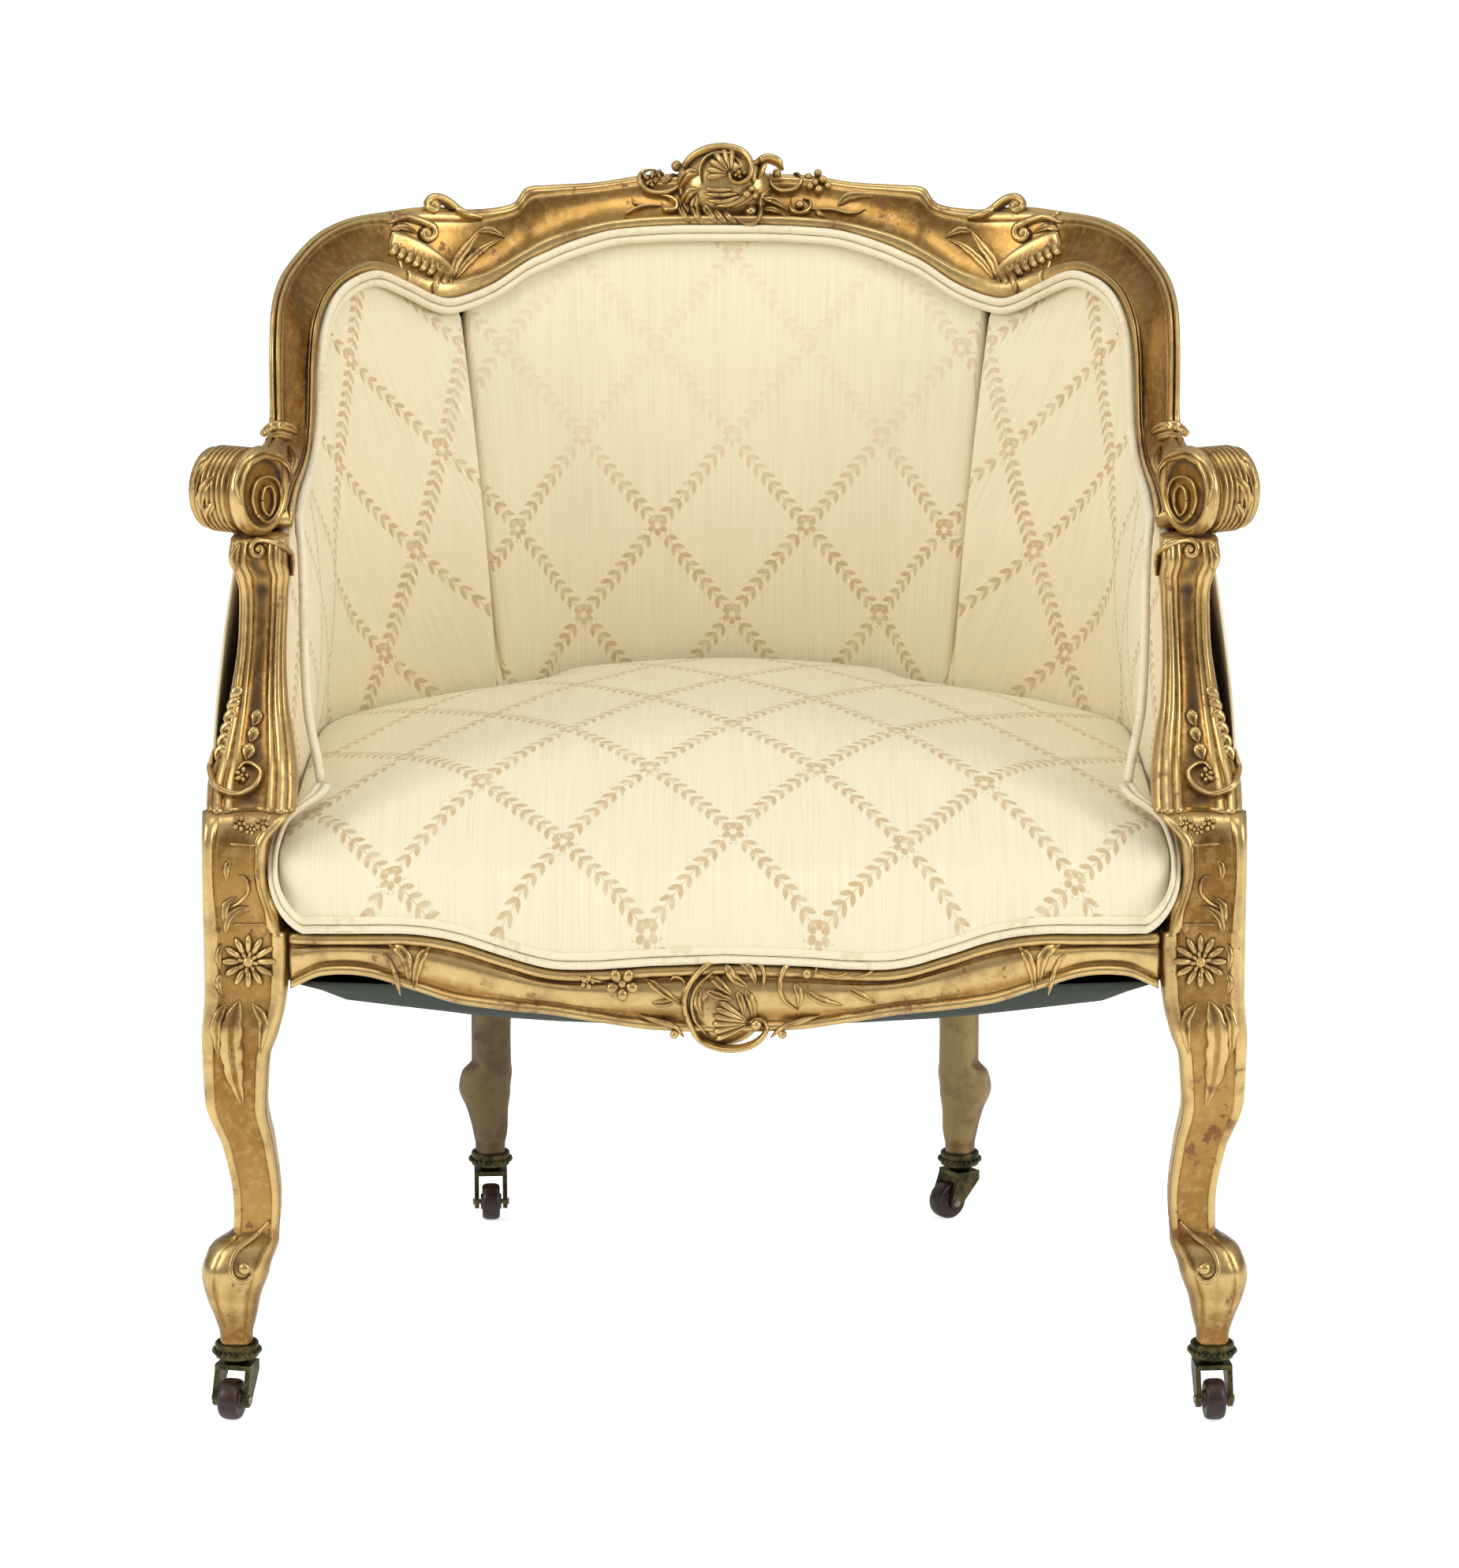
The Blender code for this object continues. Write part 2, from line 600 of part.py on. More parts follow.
def loft(rings, strip=False):
    """Closed body through rings of equal count, with flat ends, in strips where it is thin."""
    bm = bmesh.new()
    rows = [[bm.verts.new(point) for point in ring] for ring in rings]
    count = len(rings[0])
    for low, high in zip(rows, rows[1:]):
        for index in range(count):
            after = (index + 1) % count
            bm.faces.new((low[index], low[after], high[after], high[index]))
    if strip:
        for index in range(count // 2 - 1):
            mate = count - 1 - index
            bm.faces.new((rows[0][mate], rows[0][mate - 1], rows[0][index + 1], rows[0][index]))
            bm.faces.new((rows[-1][index], rows[-1][index + 1], rows[-1][mate - 1], rows[-1][mate]))
    else:
        bm.faces.new(reversed(rows[0]))
        bm.faces.new(rows[-1])
    bmesh.ops.triangulate(bm, faces=[face for face in bm.faces if len(face.verts) > 4])
    return bm


def ellipsoid(centre, radii, turn=None):
    bm = bmesh.new()
    bmesh.ops.create_uvsphere(bm, u_segments=CARVING_SEGMENTS, v_segments=CARVING_RINGS, radius=1)
    place = Matrix.Translation(centre) @ (turn or Matrix.Identity(4)) @ Matrix.Diagonal((*radii, 1))
    bmesh.ops.transform(bm, matrix=place, verts=bm.verts)
    return bm


def prism(outline, depth):
    """Upright prism on a flat outline, from its points up by the depth."""
    bm = bmesh.new()
    base = bm.faces.new([bm.verts.new(point) for point in outline])
    grown = bmesh.ops.extrude_face_region(bm, geom=[base])
    tops = [item for item in grown["geom"] if isinstance(item, bmesh.types.BMVert)]
    bmesh.ops.translate(bm, verts=tops, vec=depth)
    return bm


def turned(name, profile, steps, spec, parts):
    """Turned solid from a half profile that runs top to bottom on +X."""
    bm = bmesh.new()
    verts = [bm.verts.new((radius, 0.0, height)) for radius, height in profile]
    for start, end in zip(verts, verts[1:]):
        bm.edges.new((start, end))
    mesh = bpy.data.meshes.new(name)
    bm.to_mesh(mesh)
    bm.free()
    mesh.materials.append(material(spec))
    made = bpy.data.objects.new(name, mesh)
    parts.objects.link(made)
    screw = made.modifiers.new("turn", "SCREW")
    screw.steps = steps
    screw.render_steps = steps
    screw.use_merge_vertices = True
    screw.merge_threshold = GAP / 10
    screw.use_smooth_shade = True
    return made


# The rail that runs round the back and down to the arms

def guide_points(station):
    """Outer and inner guide points of the rail on the +X side."""
    outer_share, height_share, inner_share, depth_share = read_rows(RAIL_SHARES, station)
    height = ARM_TOP + height_share * CREST_HEIGHT
    outer = TOP_PLAN.at(outer_share)
    outer.z = height
    inner = OPENING_PLAN.at(inner_share)
    inner.z = height - depth_share * RAIL_DEPTH
    return outer, inner


def rail_frame(station):
    """Inner guide point with the vectors across and up the section."""
    outer, inner = guide_points(abs(station))
    across_line = outer - inner
    inner_share = read_rows(RAIL_SHARES, abs(station))[2]
    outward = OPENING_PLAN.normal(inner_share)
    across = outward * across_line.dot(outward)
    up = across_line - across
    if station < 0:
        inner.x, across.x, up.x = -inner.x, -across.x, -up.x
    return inner, across, up


def rail_point(station, across_share, up_share):
    inner, across, up = rail_frame(station)
    return inner + across * across_share + up * up_share


def rail_ring(station):
    return [rail_point(station, across, up) for across, up in RAIL_SECTION_SHARES]


def open_seam(rings):
    """Draw the first ring of a body back from its neighbour by the gap, along the body."""
    rings[0] = [start + (after - start).normalized() * GAP
                for start, after in zip(rings[0], rings[1])]


def whole_stations(first, last):
    """Stations of the rail between two ends, with the ends themselves."""
    between = [float(station) for station in range(math.ceil(first), math.floor(last) + 1)]
    inner = [station for station in between if first < station < last]
    return [first] + inner + [last]


def spread(first, last, steps):
    return [first + (last - first) * index / steps for index in range(steps + 1)]


def build_crest_rail(parts, cutters):
    stations = spread(-JOINT_STATION, JOINT_STATION, 2 * JOINT_STATION)
    crest = add_mesh("crest_rail", loft([rail_ring(station) for station in stations]), GILT, parts)
    outer, inner = guide_points(0.0)
    centre = Vector((0.0, (outer.y + inner.y) / 2, outer.z + CREST_SHELL_RISE - CREST_SHELL_SIZE[2]))
    shell = add_cutter("crest_shell_mass", ellipsoid(centre, CREST_SHELL_SIZE), cutters)
    add_boolean(crest, shell, "UNION")
    for side_name, side in SIDES:
        outer, inner = guide_points(KNOB_STATION)
        centre = Vector((outer.x * side, outer.y - KNOB_RADIUS, outer.z))
        knob = add_cutter("knob_mass_" + side_name, ellipsoid(centre, (KNOB_RADIUS,) * 3), cutters)
        add_boolean(crest, knob, "UNION")
    return crest


def scroll_body(side):
    """Drum of the handhold, its axle across the arm and turned outwards."""
    bm = bmesh.new()
    bmesh.ops.create_cone(bm, cap_ends=True, segments=SCROLL_SIDES, radius1=SCROLL_RADIUS,
                          radius2=SCROLL_RADIUS, depth=SCROLL_WIDTH)
    rims = [edge for edge in bm.edges if abs(edge.verts[0].co.z - edge.verts[1].co.z) < GAP]
    bmesh.ops.bevel(bm, geom=rims, offset=SCROLL_EDGE, segments=1, affect="EDGES", profile=0.5)
    spin = Matrix.Rotation(math.pi / SCROLL_SIDES, 4, "Z")
    lay = Matrix.Rotation(math.pi / 2, 4, "Y")
    turn = Matrix.Rotation(SCROLL_TURN * side, 4, "Z")
    centre = Vector((SCROLL_CENTRE.x * side, SCROLL_CENTRE.y, SCROLL_CENTRE.z))
    bmesh.ops.transform(bm, matrix=Matrix.Translation(centre) @ turn @ lay @ spin, verts=bm.verts)
    return bm


def build_arm_rail(side_name, side, parts, cutters):
    steps = (LAST_STATION - JOINT_STATION)
    rings = [rail_ring(station) for station in spread(JOINT_STATION, LAST_STATION, steps)]
    open_seam(rings)
    rings = [mirrored(ring, side) for ring in rings]
    rail = add_mesh("arm_rail_" + side_name, loft(rings), GILT, parts)
    drum = add_cutter("scroll_mass_" + side_name, scroll_body(side), cutters)
    add_boolean(rail, drum, "UNION")
    return rail


def leg_rows(shares, height, across, forward, half):
    """Rows of a leg in real sizes, its last one cut to fit the caster's cup."""
    rows = [[FOOT_TOP + (height - FOOT_TOP) * up, across + half * out, forward + half * ahead,
             half * wide, half * deep] for up, out, ahead, wide, deep in shares]
    rows[-1][3:] = [FOOT_HALF, FOOT_HALF]
    return rows


FRONT_LEG_ROWS = leg_rows(FRONT_LEG_SHARES, REBATE_HEIGHT, FRONT_LEG_ACROSS, FRONT_LEG_FORWARD,
                          FRONT_BLOCK_HALF)
REAR_LEG_ROWS = leg_rows(REAR_LEG_SHARES, SEAT_RAIL_BOTTOM, 0.0, 0.0, REAR_BLOCK_HALF)
STUMP_ROWS = [(up, FRONT_LEG_ACROSS - STUMP_FOOT_INSET + FRONT_BLOCK_HALF * out,
               STUMP_FOOT_FORWARD + (STUMP_HEAD_FORWARD - STUMP_FOOT_FORWARD) * ahead,
               FRONT_BLOCK_HALF * wide, FRONT_BLOCK_HALF * deep)
              for up, out, ahead, wide, deep in STUMP_SHARES]


def stump_row(height):
    """Row of the stump's table at a height, as sideways, forward, half width, half depth."""
    want = min(max((height - STUMP_BOTTOM) / STUMP_HEIGHT, 0.0), 1.0)
    for upper, lower in zip(STUMP_ROWS, STUMP_ROWS[1:]):
        if lower[0] <= want <= upper[0]:
            part = (upper[0] - want) / (upper[0] - lower[0])
            return [a + (b - a) * part for a, b in zip(upper[1:], lower[1:])]
    return list(STUMP_ROWS[-1][1:])


def stump_back(height):
    """Place along the depth of whatever stands behind the pads' front ends at a height."""
    if height <= STUMP_BOTTOM:
        return -FRONT_BLOCK_BACK
    sideways, forward, half_width, half_depth = stump_row(height)
    return max(half_depth - forward, -FRONT_BLOCK_BACK)


def block_ring(height, across, along, half_width, half_depth):
    return [Vector((across + half_width * x, along + half_depth * y, height))
            for x, y in LEG_SECTION_SHARES]


def build_arm_stump(side_name, side, parts):
    rings = []
    for share, across, forward, half_width, half_depth in STUMP_ROWS:
        height = STUMP_BOTTOM + share * STUMP_HEIGHT
        rings.append(block_ring(height, across, -forward, half_width, half_depth))
    rings = [mirrored(ring, side) for ring in rings]
    return add_mesh("arm_stump_" + side_name, loft(rings), GILT, parts)


# Legs

def build_front_leg(side_name, side, parts, cutters):
    first = FRONT_LEG_ROWS[0]
    rows = [(FRONT_LEG_TOP, *first[1:])] + list(FRONT_LEG_ROWS)
    foot = FRONT_LEG_ROWS[-1]
    rows.append((COLLAR_FLOOR + GAP, *foot[1:]))
    rings = [block_ring(height, across, -forward, half_width, half_depth)
             for height, across, forward, half_width, half_depth in rows]
    leg = add_mesh("front_leg_" + side_name, loft([mirrored(ring, side) for ring in rings]),
                   GILT, parts)
    volute = min(FRONT_LEG_ROWS, key=lambda row: abs(row[0] - TOE_BUTTON_HEIGHT))
    centre = Vector((volute[1] * side, -volute[2] - volute[4], TOE_BUTTON_HEIGHT))
    button = add_cutter("toe_button_front_" + side_name,
                        ellipsoid(centre, (TOE_BUTTON_RADIUS,) * 3), cutters)
    add_boolean(leg, button, "UNION")
    return leg


def rear_block_frame():
    """Centre of the rear leg's block, with the directions along and out of the rail."""
    outward = SEAT_PLAN.normal(REAR_LEG_SHARE)
    along = SEAT_PLAN.tangent(REAR_LEG_SHARE)
    centre = SEAT_PLAN.at(REAR_LEG_SHARE, -SEAT_RAIL_THICKNESS / 2)
    return centre, along, outward


def build_rear_leg(side_name, side, parts, cutters):
    centre, along, outward = rear_block_frame()
    first = REAR_LEG_ROWS[0]
    rows = [(SEAT_RAIL_TOP - GAP, *first[1:])] + list(REAR_LEG_ROWS)
    rows.append((COLLAR_FLOOR + GAP, *REAR_LEG_ROWS[-1][1:]))
    rings = []
    for height, outwards, backwards, half_along, half_out in rows:
        middle = centre + Vector((outwards, backwards, height))
        rings.append([middle + along * (half_along * x) + outward * (half_out * y)
                      for x, y in LEG_SECTION_SHARES])
    leg = add_mesh("rear_leg_" + side_name, loft([mirrored(ring, side) for ring in rings]),
                   GILT, parts)
    volute = min(REAR_LEG_ROWS, key=lambda row: abs(row[0] - TOE_BUTTON_HEIGHT))
    peg = centre + Vector((volute[1] + volute[3], volute[2], TOE_BUTTON_HEIGHT))
    button = add_cutter("toe_button_rear_" + side_name,
                        ellipsoid(mirrored([peg], side)[0], (TOE_BUTTON_RADIUS,) * 3), cutters)
    add_boolean(leg, button, "UNION")
    return leg


def foot_place(end):
    """Place of a caster's stem on the +X side."""
    if end == "front":
        row = FRONT_LEG_ROWS[-1]
        return Vector((row[1], -row[2], 0.0))
    centre = rear_block_frame()[0]
    row = REAR_LEG_ROWS[-1]
    return Vector((centre.x + row[1], centre.y + row[2], 0.0))


# Seat rails

def front_face(across):
    """Place along the depth of the front rail's face, its lower edge and its lip."""
    share = min(abs(across) / FRONT_RAIL_HALF, 1.0)
    index = 0
    while index < len(FRONT_RAIL_SHARES) - 2 and FRONT_RAIL_SHARES[index + 1][0] < share:
        index += 1
    start, end = FRONT_RAIL_SHARES[index:index + 2]
    place = index + (share - start[0]) / (end[0] - start[0])
    bow, lower, lip = read_rows(FRONT_RAIL_SHARES, place)[1:]
    return (-FRONT_RAIL_END - FRONT_RAIL_BOW * bow, REBATE_HEIGHT - APRON_DEPTH * lower,
            REBATE_HEIGHT - APRON_DEPTH * lip)


def build_front_rail(parts, cutters):
    rings = []
    reach = FRONT_RAIL_HALF - GAP
    for across in spread(-reach, reach, 2 * FRONT_RAIL_POINTS):
        face, lower, lip = front_face(across)
        belly = (lip - lower) / 4
        back = -FRONT_RAIL_BACK
        rings.append([Vector((across, place, height)) for place, height in (
            (back, lower), (face + belly / 2, lower), (face, lower + belly), (face, lip - belly),
            (face + belly / 4, lip), (face + FRONT_RAIL_REBATE, lip),
            (face + FRONT_RAIL_REBATE, SEAT_RAIL_TOP), (back, SEAT_RAIL_TOP))])
    rail = add_mesh("front_seat_rail", loft(rings), GILT, parts)
    face, lower, lip = front_face(0.0)
    centre = Vector((0.0, face + APRON_SHELL_SIZE[1] - APRON_SHELL_LEAD,
                     lower - APRON_SHELL_DROP + APRON_SHELL_SIZE[2]))
    shell = add_cutter("apron_shell_mass", ellipsoid(centre, APRON_SHELL_SIZE), cutters)
    add_boolean(rail, shell, "UNION")
    return rail


def seat_rail_ring(share):
    outer = SEAT_PLAN.at(share)
    inner = SEAT_PLAN.at(share, -SEAT_RAIL_THICKNESS)
    return [Vector((point.x, point.y, height)) for point, height in (
        (outer, SEAT_RAIL_BOTTOM), (outer, SEAT_RAIL_TOP),
        (inner, SEAT_RAIL_TOP), (inner, SEAT_RAIL_BOTTOM))]


def block_face_ring(direction):
    """End of a rail where it meets the rear leg's block."""
    centre, along, outward = rear_block_frame()
    face = centre + along * (direction * (REAR_BLOCK_HALF + GAP))
    outer = face + outward * (SEAT_RAIL_THICKNESS / 2 - REAR_BLOCK_INSET)
    inner = face - outward * (SEAT_RAIL_THICKNESS / 2)
    return [Vector((point.x, point.y, height)) for point, height in (
        (outer, SEAT_RAIL_BOTTOM), (outer, SEAT_RAIL_TOP),
        (inner, SEAT_RAIL_TOP), (inner, SEAT_RAIL_BOTTOM))]


def build_seat_rails(parts):
    clear = (REAR_BLOCK_HALF * 2) / SEAT_PLAN.total
    half = [block_face_ring(-1)]
    shares = [row[2] for row in RAIL_SHARES]
    half += [seat_rail_ring(share) for share in reversed(shares) if share < REAR_LEG_SHARE - clear]
    other = [mirrored(ring, -1) for ring in reversed(half[:-1])]
    add_mesh("rear_seat_rail", loft(half + other), BEECH, parts)
    for side_name, side in SIDES:
        rings = [block_face_ring(1)]
        rings += [seat_rail_ring(share) for share in shares if share > REAR_LEG_SHARE + clear]
        for point in rings[-1]:
            point.y = -FRONT_BLOCK_BACK + GAP
        rings = [mirrored(ring, side) for ring in rings]
        add_mesh("side_seat_rail_" + side_name, loft(rings), BEECH, parts)


# Hidden frame

def wall_low(station, offset):
    """Point at the seat rails' top for a rail station, offset from the outer seat plan."""
    share = read_rows(RAIL_SHARES, abs(station))[2]
    point = SEAT_PLAN.at(share, offset)
    if station < 0:
        point.x = -point.x
    return point


def build_back_stiles(parts):
    outward = SEAT_PLAN.normal(REAR_LEG_SHARE)
    along = SEAT_PLAN.tangent(REAR_LEG_SHARE)
    for side_name, side in SIDES:
        low = SEAT_PLAN.at(REAR_LEG_SHARE, -STILE_INSET - STILE_THICKNESS / 2)
        low.z = SEAT_RAIL_TOP
        high = rail_point(STILE_STATION, STILE_HEAD_SHARE, RAIL_UNDERSIDE_SHARE)
        rings = []
        for end, height in ((low, low.z + GAP), (high, high.z - GAP)):
            ring = []
            for x, y in ((1, 1), (-1, 1), (-1, -1), (1, -1)):
                point = end + along * (x * STILE_WIDTH / 2) + outward * (y * STILE_THICKNESS / 2)
                point.z = height
                ring.append(point)
            rings.append(ring)
        drop = max(rail_ring_low(STILE_STATION, STILE_WIDTH), 0.0)
        for point in rings[1]:
            point.z -= drop
        add_mesh("back_stile_" + side_name, loft([mirrored(ring, side) for ring in rings]),
                 BEECH, parts, smooth=False)


def rail_ring_low(station, width):
    """How far the rail's underside dips within a width either side of a station."""
    middle = rail_point(station, STILE_HEAD_SHARE, RAIL_UNDERSIDE_SHARE)
    lowest = middle.z
    for part in spread(-STILE_PROBE_STATIONS, STILE_PROBE_STATIONS, 12):
        for across in RAIL_UNDERSIDE_EDGE_SHARES:
            point = rail_point(station + part, across, RAIL_UNDERSIDE_SHARE)
            if abs(point.x - middle.x) <= width:
                lowest = min(lowest, point.z)
    return middle.z - lowest


def build_corner_blocks(parts):
    bottom = SEAT_RAIL_TOP - CORNER_BLOCK_DROP - CORNER_BLOCK_HEIGHT
    rise = Vector((0.0, 0.0, CORNER_BLOCK_HEIGHT))
    back = -FRONT_RAIL_BACK + GAP
    leg_inner = FRONT_RAIL_HALF - GAP
    leg_back = -FRONT_BLOCK_BACK + GAP
    side_shares = [SEAT_PLAN.share_of_depth(leg_back + CORNER_BLOCK_LEG), 1.0]
    inner_points = [SEAT_PLAN.at(share, -SEAT_RAIL_THICKNESS - GAP) for share in side_shares]
    inner_points[1].y = leg_back
    front_outline = [Vector((leg_inner - CORNER_BLOCK_LEG, back, 0.0)),
                     Vector((leg_inner, back, 0.0)), Vector((leg_inner, leg_back, 0.0)),
                     inner_points[1], inner_points[0]]
    width = CORNER_BLOCK_LEG / SEAT_PLAN.total
    outer_edge = [SEAT_PLAN.at(share, -SEAT_RAIL_THICKNESS - GAP)
                  for share in spread(REAR_LEG_SHARE - width, REAR_LEG_SHARE + width, 4)]
    middle = outer_edge[2]
    outward = SEAT_PLAN.normal(REAR_LEG_SHARE)
    along = SEAT_PLAN.tangent(REAR_LEG_SHARE)
    flush = rear_block_frame()[0] - outward * (SEAT_RAIL_THICKNESS / 2 + GAP)
    outer_edge[1:4] = [flush - along * REAR_BLOCK_HALF, flush, flush + along * REAR_BLOCK_HALF]
    inner_edge = [middle - outward * CORNER_BLOCK_DEPTH + along * (CORNER_BLOCK_LEG / 3 * side)
                  for side in (1, -1)]
    rear_outline = outer_edge + inner_edge
    for end, outline in (("front", front_outline), ("rear", rear_outline)):
        for side_name, side in SIDES:
            points = [Vector((point.x * side, point.y, bottom)) for point in outline]
            add_mesh("corner_block_" + end + "_" + side_name, prism(points, rise), BEECH, parts,
                     smooth=False)


# Sheets under the seat

def inside_frame(point, rail_offset, front_limit):
    """Whether a plan point lies inside the seat rails' outer face less an offset."""
    if point.y < front_limit:
        return False
    ends = [foot_block(end) for end in ("front", "rear")]
    for centre in ends:
        if (Vector((abs(point.x), point.y, 0.0)) - centre).length < LEG_CLEARANCE:
            return False
    nearest = min(range(0, len(SEAT_PLAN.points), 4),
                  key=lambda index: (SEAT_PLAN.points[index]
                                     - Vector((abs(point.x), point.y, 0.0))).length)
    share = SEAT_PLAN.lengths[nearest] / SEAT_PLAN.total
    outward = SEAT_PLAN.normal(share)
    away = (Vector((abs(point.x), point.y, 0.0)) - SEAT_PLAN.at(share)).dot(outward)
    return away < -rail_offset


def foot_block(end):
    if end == "rear":
        return rear_block_frame()[0]
    return Vector((FRONT_LEG_ROWS[3][1], -FRONT_LEG_ROWS[3][2], 0.0))


def reach_rim(directions, rail_offset, front_limit):
    """Farthest plan points from the seat's middle that stay inside the frame."""
    rim = []
    for index in range(directions):
        angle = 2 * math.pi * index / directions
        heading = Vector((math.cos(angle), math.sin(angle), 0.0))
        reach = SEAT_DEPTH / 2
        while inside_frame(heading * (reach + REACH_STEP), rail_offset, front_limit):
            reach += REACH_STEP
        rim.append(heading * reach)
    return rim


def sheet_surface(name, rim, height, sag, rings, thickness, spec, parts):
    """Radial sheet through the rim, sagging in the middle, thickened downwards."""
    bm = bmesh.new()
    centre = bm.verts.new((0.0, 0.0, height - sag))
    rows = []
    for ring in range(1, rings + 1):
        part = ring / rings
        part = 1 - (1 - part) ** DUST_RING_EXPONENT
        drop = sag * (1 - part ** DUST_EXPONENT)
        rows.append([bm.verts.new(point * part + Vector((0.0, 0.0, height - drop)))
                     for point in rim])
    count = len(rim)
    for index in range(count):
        after = (index + 1) % count
        bm.faces.new((centre, rows[0][index], rows[0][after]))
        for low, high in zip(rows, rows[1:]):
            bm.faces.new((low[index], high[index], high[after], low[after]))
    mesh = bpy.data.meshes.new(name)
    bm.to_mesh(mesh)
    bm.free()
    mesh.shade_smooth()
    mesh.materials.append(material(spec))
    made = bpy.data.objects.new(name, mesh)
    parts.objects.link(made)
    wall = made.modifiers.new("thickness", "SOLIDIFY")
    wall.thickness = thickness
    wall.offset = -1
    return made


def build_sheets(parts):
    web_bottom = SEAT_RAIL_BOTTOM - GAP - WEB_THICKNESS
    dust_rim = reach_rim(DUST_DIRECTIONS, SEAT_RAIL_THICKNESS - DECK_OVERLAP,
                         -FRONT_RAIL_BACK + REACH_STEP)
    sheet_surface("dust_cover", dust_rim, web_bottom - GAP, DUST_SAG, DUST_RINGS, DUST_THICKNESS,
                  DUST_CLOTH, parts)


def build_spring_deck(parts):
    """Flat hessian over the springs, tacked on the rails' tops."""
    outline = deck_outline()
    height = SEAT_RAIL_TOP + GAP
    points = [Vector((point.x, point.y, height)) for point in outline]
    add_mesh("spring_deck", prism(points, Vector((0.0, 0.0, DECK_THICKNESS))), HESSIAN, parts,
             smooth=False)


def deck_outline():
    offset = -(SEAT_RAIL_THICKNESS - DECK_OVERLAP)
    half = [SEAT_PLAN.at(share, offset) for share in spread(0.0, 1.0, 24)]
    half = [point for point in half if point.y > -FRONT_BLOCK_BACK + LEG_CLEARANCE / 2]
    corner = FRONT_RAIL_HALF - LEG_CLEARANCE / 4
    half.append(Vector((corner, -FRONT_BLOCK_BACK + LEG_CLEARANCE / 2, 0.0)))
    half.append(Vector((corner, -FRONT_RAIL_BACK - DECK_OVERLAP, 0.0)))
    other = [Vector((-point.x, point.y, 0.0)) for point in reversed(half[1:])]
    return half + other


def box(low, high):
    bm = bmesh.new()
    bmesh.ops.create_cube(bm, size=1)
    centre = (low + high) / 2
    span = high - low
    bmesh.ops.transform(bm, matrix=Matrix.Translation(centre) @ Matrix.Diagonal((*span, 1)),
                        verts=bm.verts)
    return bm


def build_webbing(parts, cutters):
    low = SEAT_RAIL_BOTTOM - GAP - WEB_THICKNESS
    high = low + WEB_THICKNESS
    half = WEB_WIDTH / 2
    strips = []
    front = -FRONT_RAIL_BACK + GAP
    for share in WEB_LENGTHWISE_SHARES:
        across = SEAT_HALF_WIDTH * share
        back = min(plan_depth(across - half), plan_depth(across + half))
        strips.append((Vector((across - half, front, low)), Vector((across + half, back, high))))
    for share in WEB_CROSSWISE_SHARES:
        along = SEAT_DEPTH * share
        reach = min(plan_width(along - half), plan_width(along + half))
        strips.append((Vector((-reach, along - half, low)), Vector((reach, along + half, high))))
    webbing = add_mesh("seat_webbing", box(*strips[0]), JUTE, parts, smooth=False)
    for index, strip in enumerate(strips[1:]):
        add_boolean(webbing, add_cutter("web_strip_%d" % index, box(*strip), cutters), "UNION")


def plan_depth(across):
    """Depth that a lengthwise strip reaches under the rear rail."""
    inner = [SEAT_PLAN.at(share, WEB_OVERLAP - SEAT_RAIL_THICKNESS)
             for share in spread(0.0, 0.7, 60)]
    reach = min(inner, key=lambda point: abs(point.x - abs(across))).y
    block = rear_block_frame()[0]
    if abs(abs(across) - block.x) < REAR_BLOCK_HALF + WEB_WIDTH / 4:
        reach = min(reach, block.y - SEAT_RAIL_THICKNESS)
    return reach


def plan_width(along):
    inner = [SEAT_PLAN.at(share, WEB_OVERLAP - SEAT_RAIL_THICKNESS)
             for share in spread(0.2, 1.0, 80)]
    return min(inner, key=lambda point: abs(point.y - along)).x


def build_springs(parts):
    low = SEAT_RAIL_BOTTOM + SPRING_WIRE / 2
    high = SEAT_RAIL_TOP - SPRING_WIRE / 2
    count = SPRING_TURNS * SPRING_POINTS_PER_TURN
    coil = []
    for index in range(count + 1):
        part = index / count
        angle = 2 * math.pi * SPRING_TURNS * part
        waist = SPRING_WAIST_SHARE + (1 - SPRING_WAIST_SHARE) * (2 * part - 1) ** 2
        radius = SPRING_RADIUS * waist
        coil.append(Vector((radius * math.cos(angle), radius * math.sin(angle),
                            low + (high - low) * part)))
    least = min((coil[i] - coil[j]).length for i in range(len(coil))
                for j in range(i + SPRING_POINTS_PER_TURN // 2, len(coil)))
    print("least gap between spring turns: %.1f mm" % ((least - SPRING_WIRE) * 1000))
    curve = bpy.data.curves.new("seat_spring", "CURVE")
    curve.dimensions = "3D"
    curve.bevel_depth = SPRING_WIRE / 2
    curve.bevel_resolution = 0
    curve.use_fill_caps = True
    spline = curve.splines.new("POLY")
    spline.points.add(len(coil) - 1)
    for point, place in zip(spline.points, coil):
        point.co = (*place, 1.0)
    curve.materials.append(material(STEEL))
    for index, (across, along) in enumerate(SPRING_PLACE_SHARES):
        spring = bpy.data.objects.new("seat_spring_%d" % (index + 1), curve)
        spring.location = (SEAT_HALF_WIDTH * across, SEAT_DEPTH * along, 0.0)
        parts.objects.link(spring)


# Pads and covers

def well_share(station):
    """Share of the seat well's plan under a rail station: the back pad narrows downwards."""
    share = read_rows(RAIL_SHARES, abs(station))[2]
    near = max(1 - abs(abs(station) - PAD_SEAM_STATION) / PAD_LEAN_STATIONS, 0.0)
    return share - PAD_SEAM_LEAN_SHARE * near


def seat_edge(station):
    """Height of the seat's edge against the pads, highest at the middle of the back."""
    part = min(abs(station) / SEAT_EDGE_STATION, 1.0)
    rise = math.cos(part * math.pi / 2) ** 2
    return SEAT_SIDE_EDGE + (SEAT_BACK_EDGE - SEAT_SIDE_EDGE) * rise


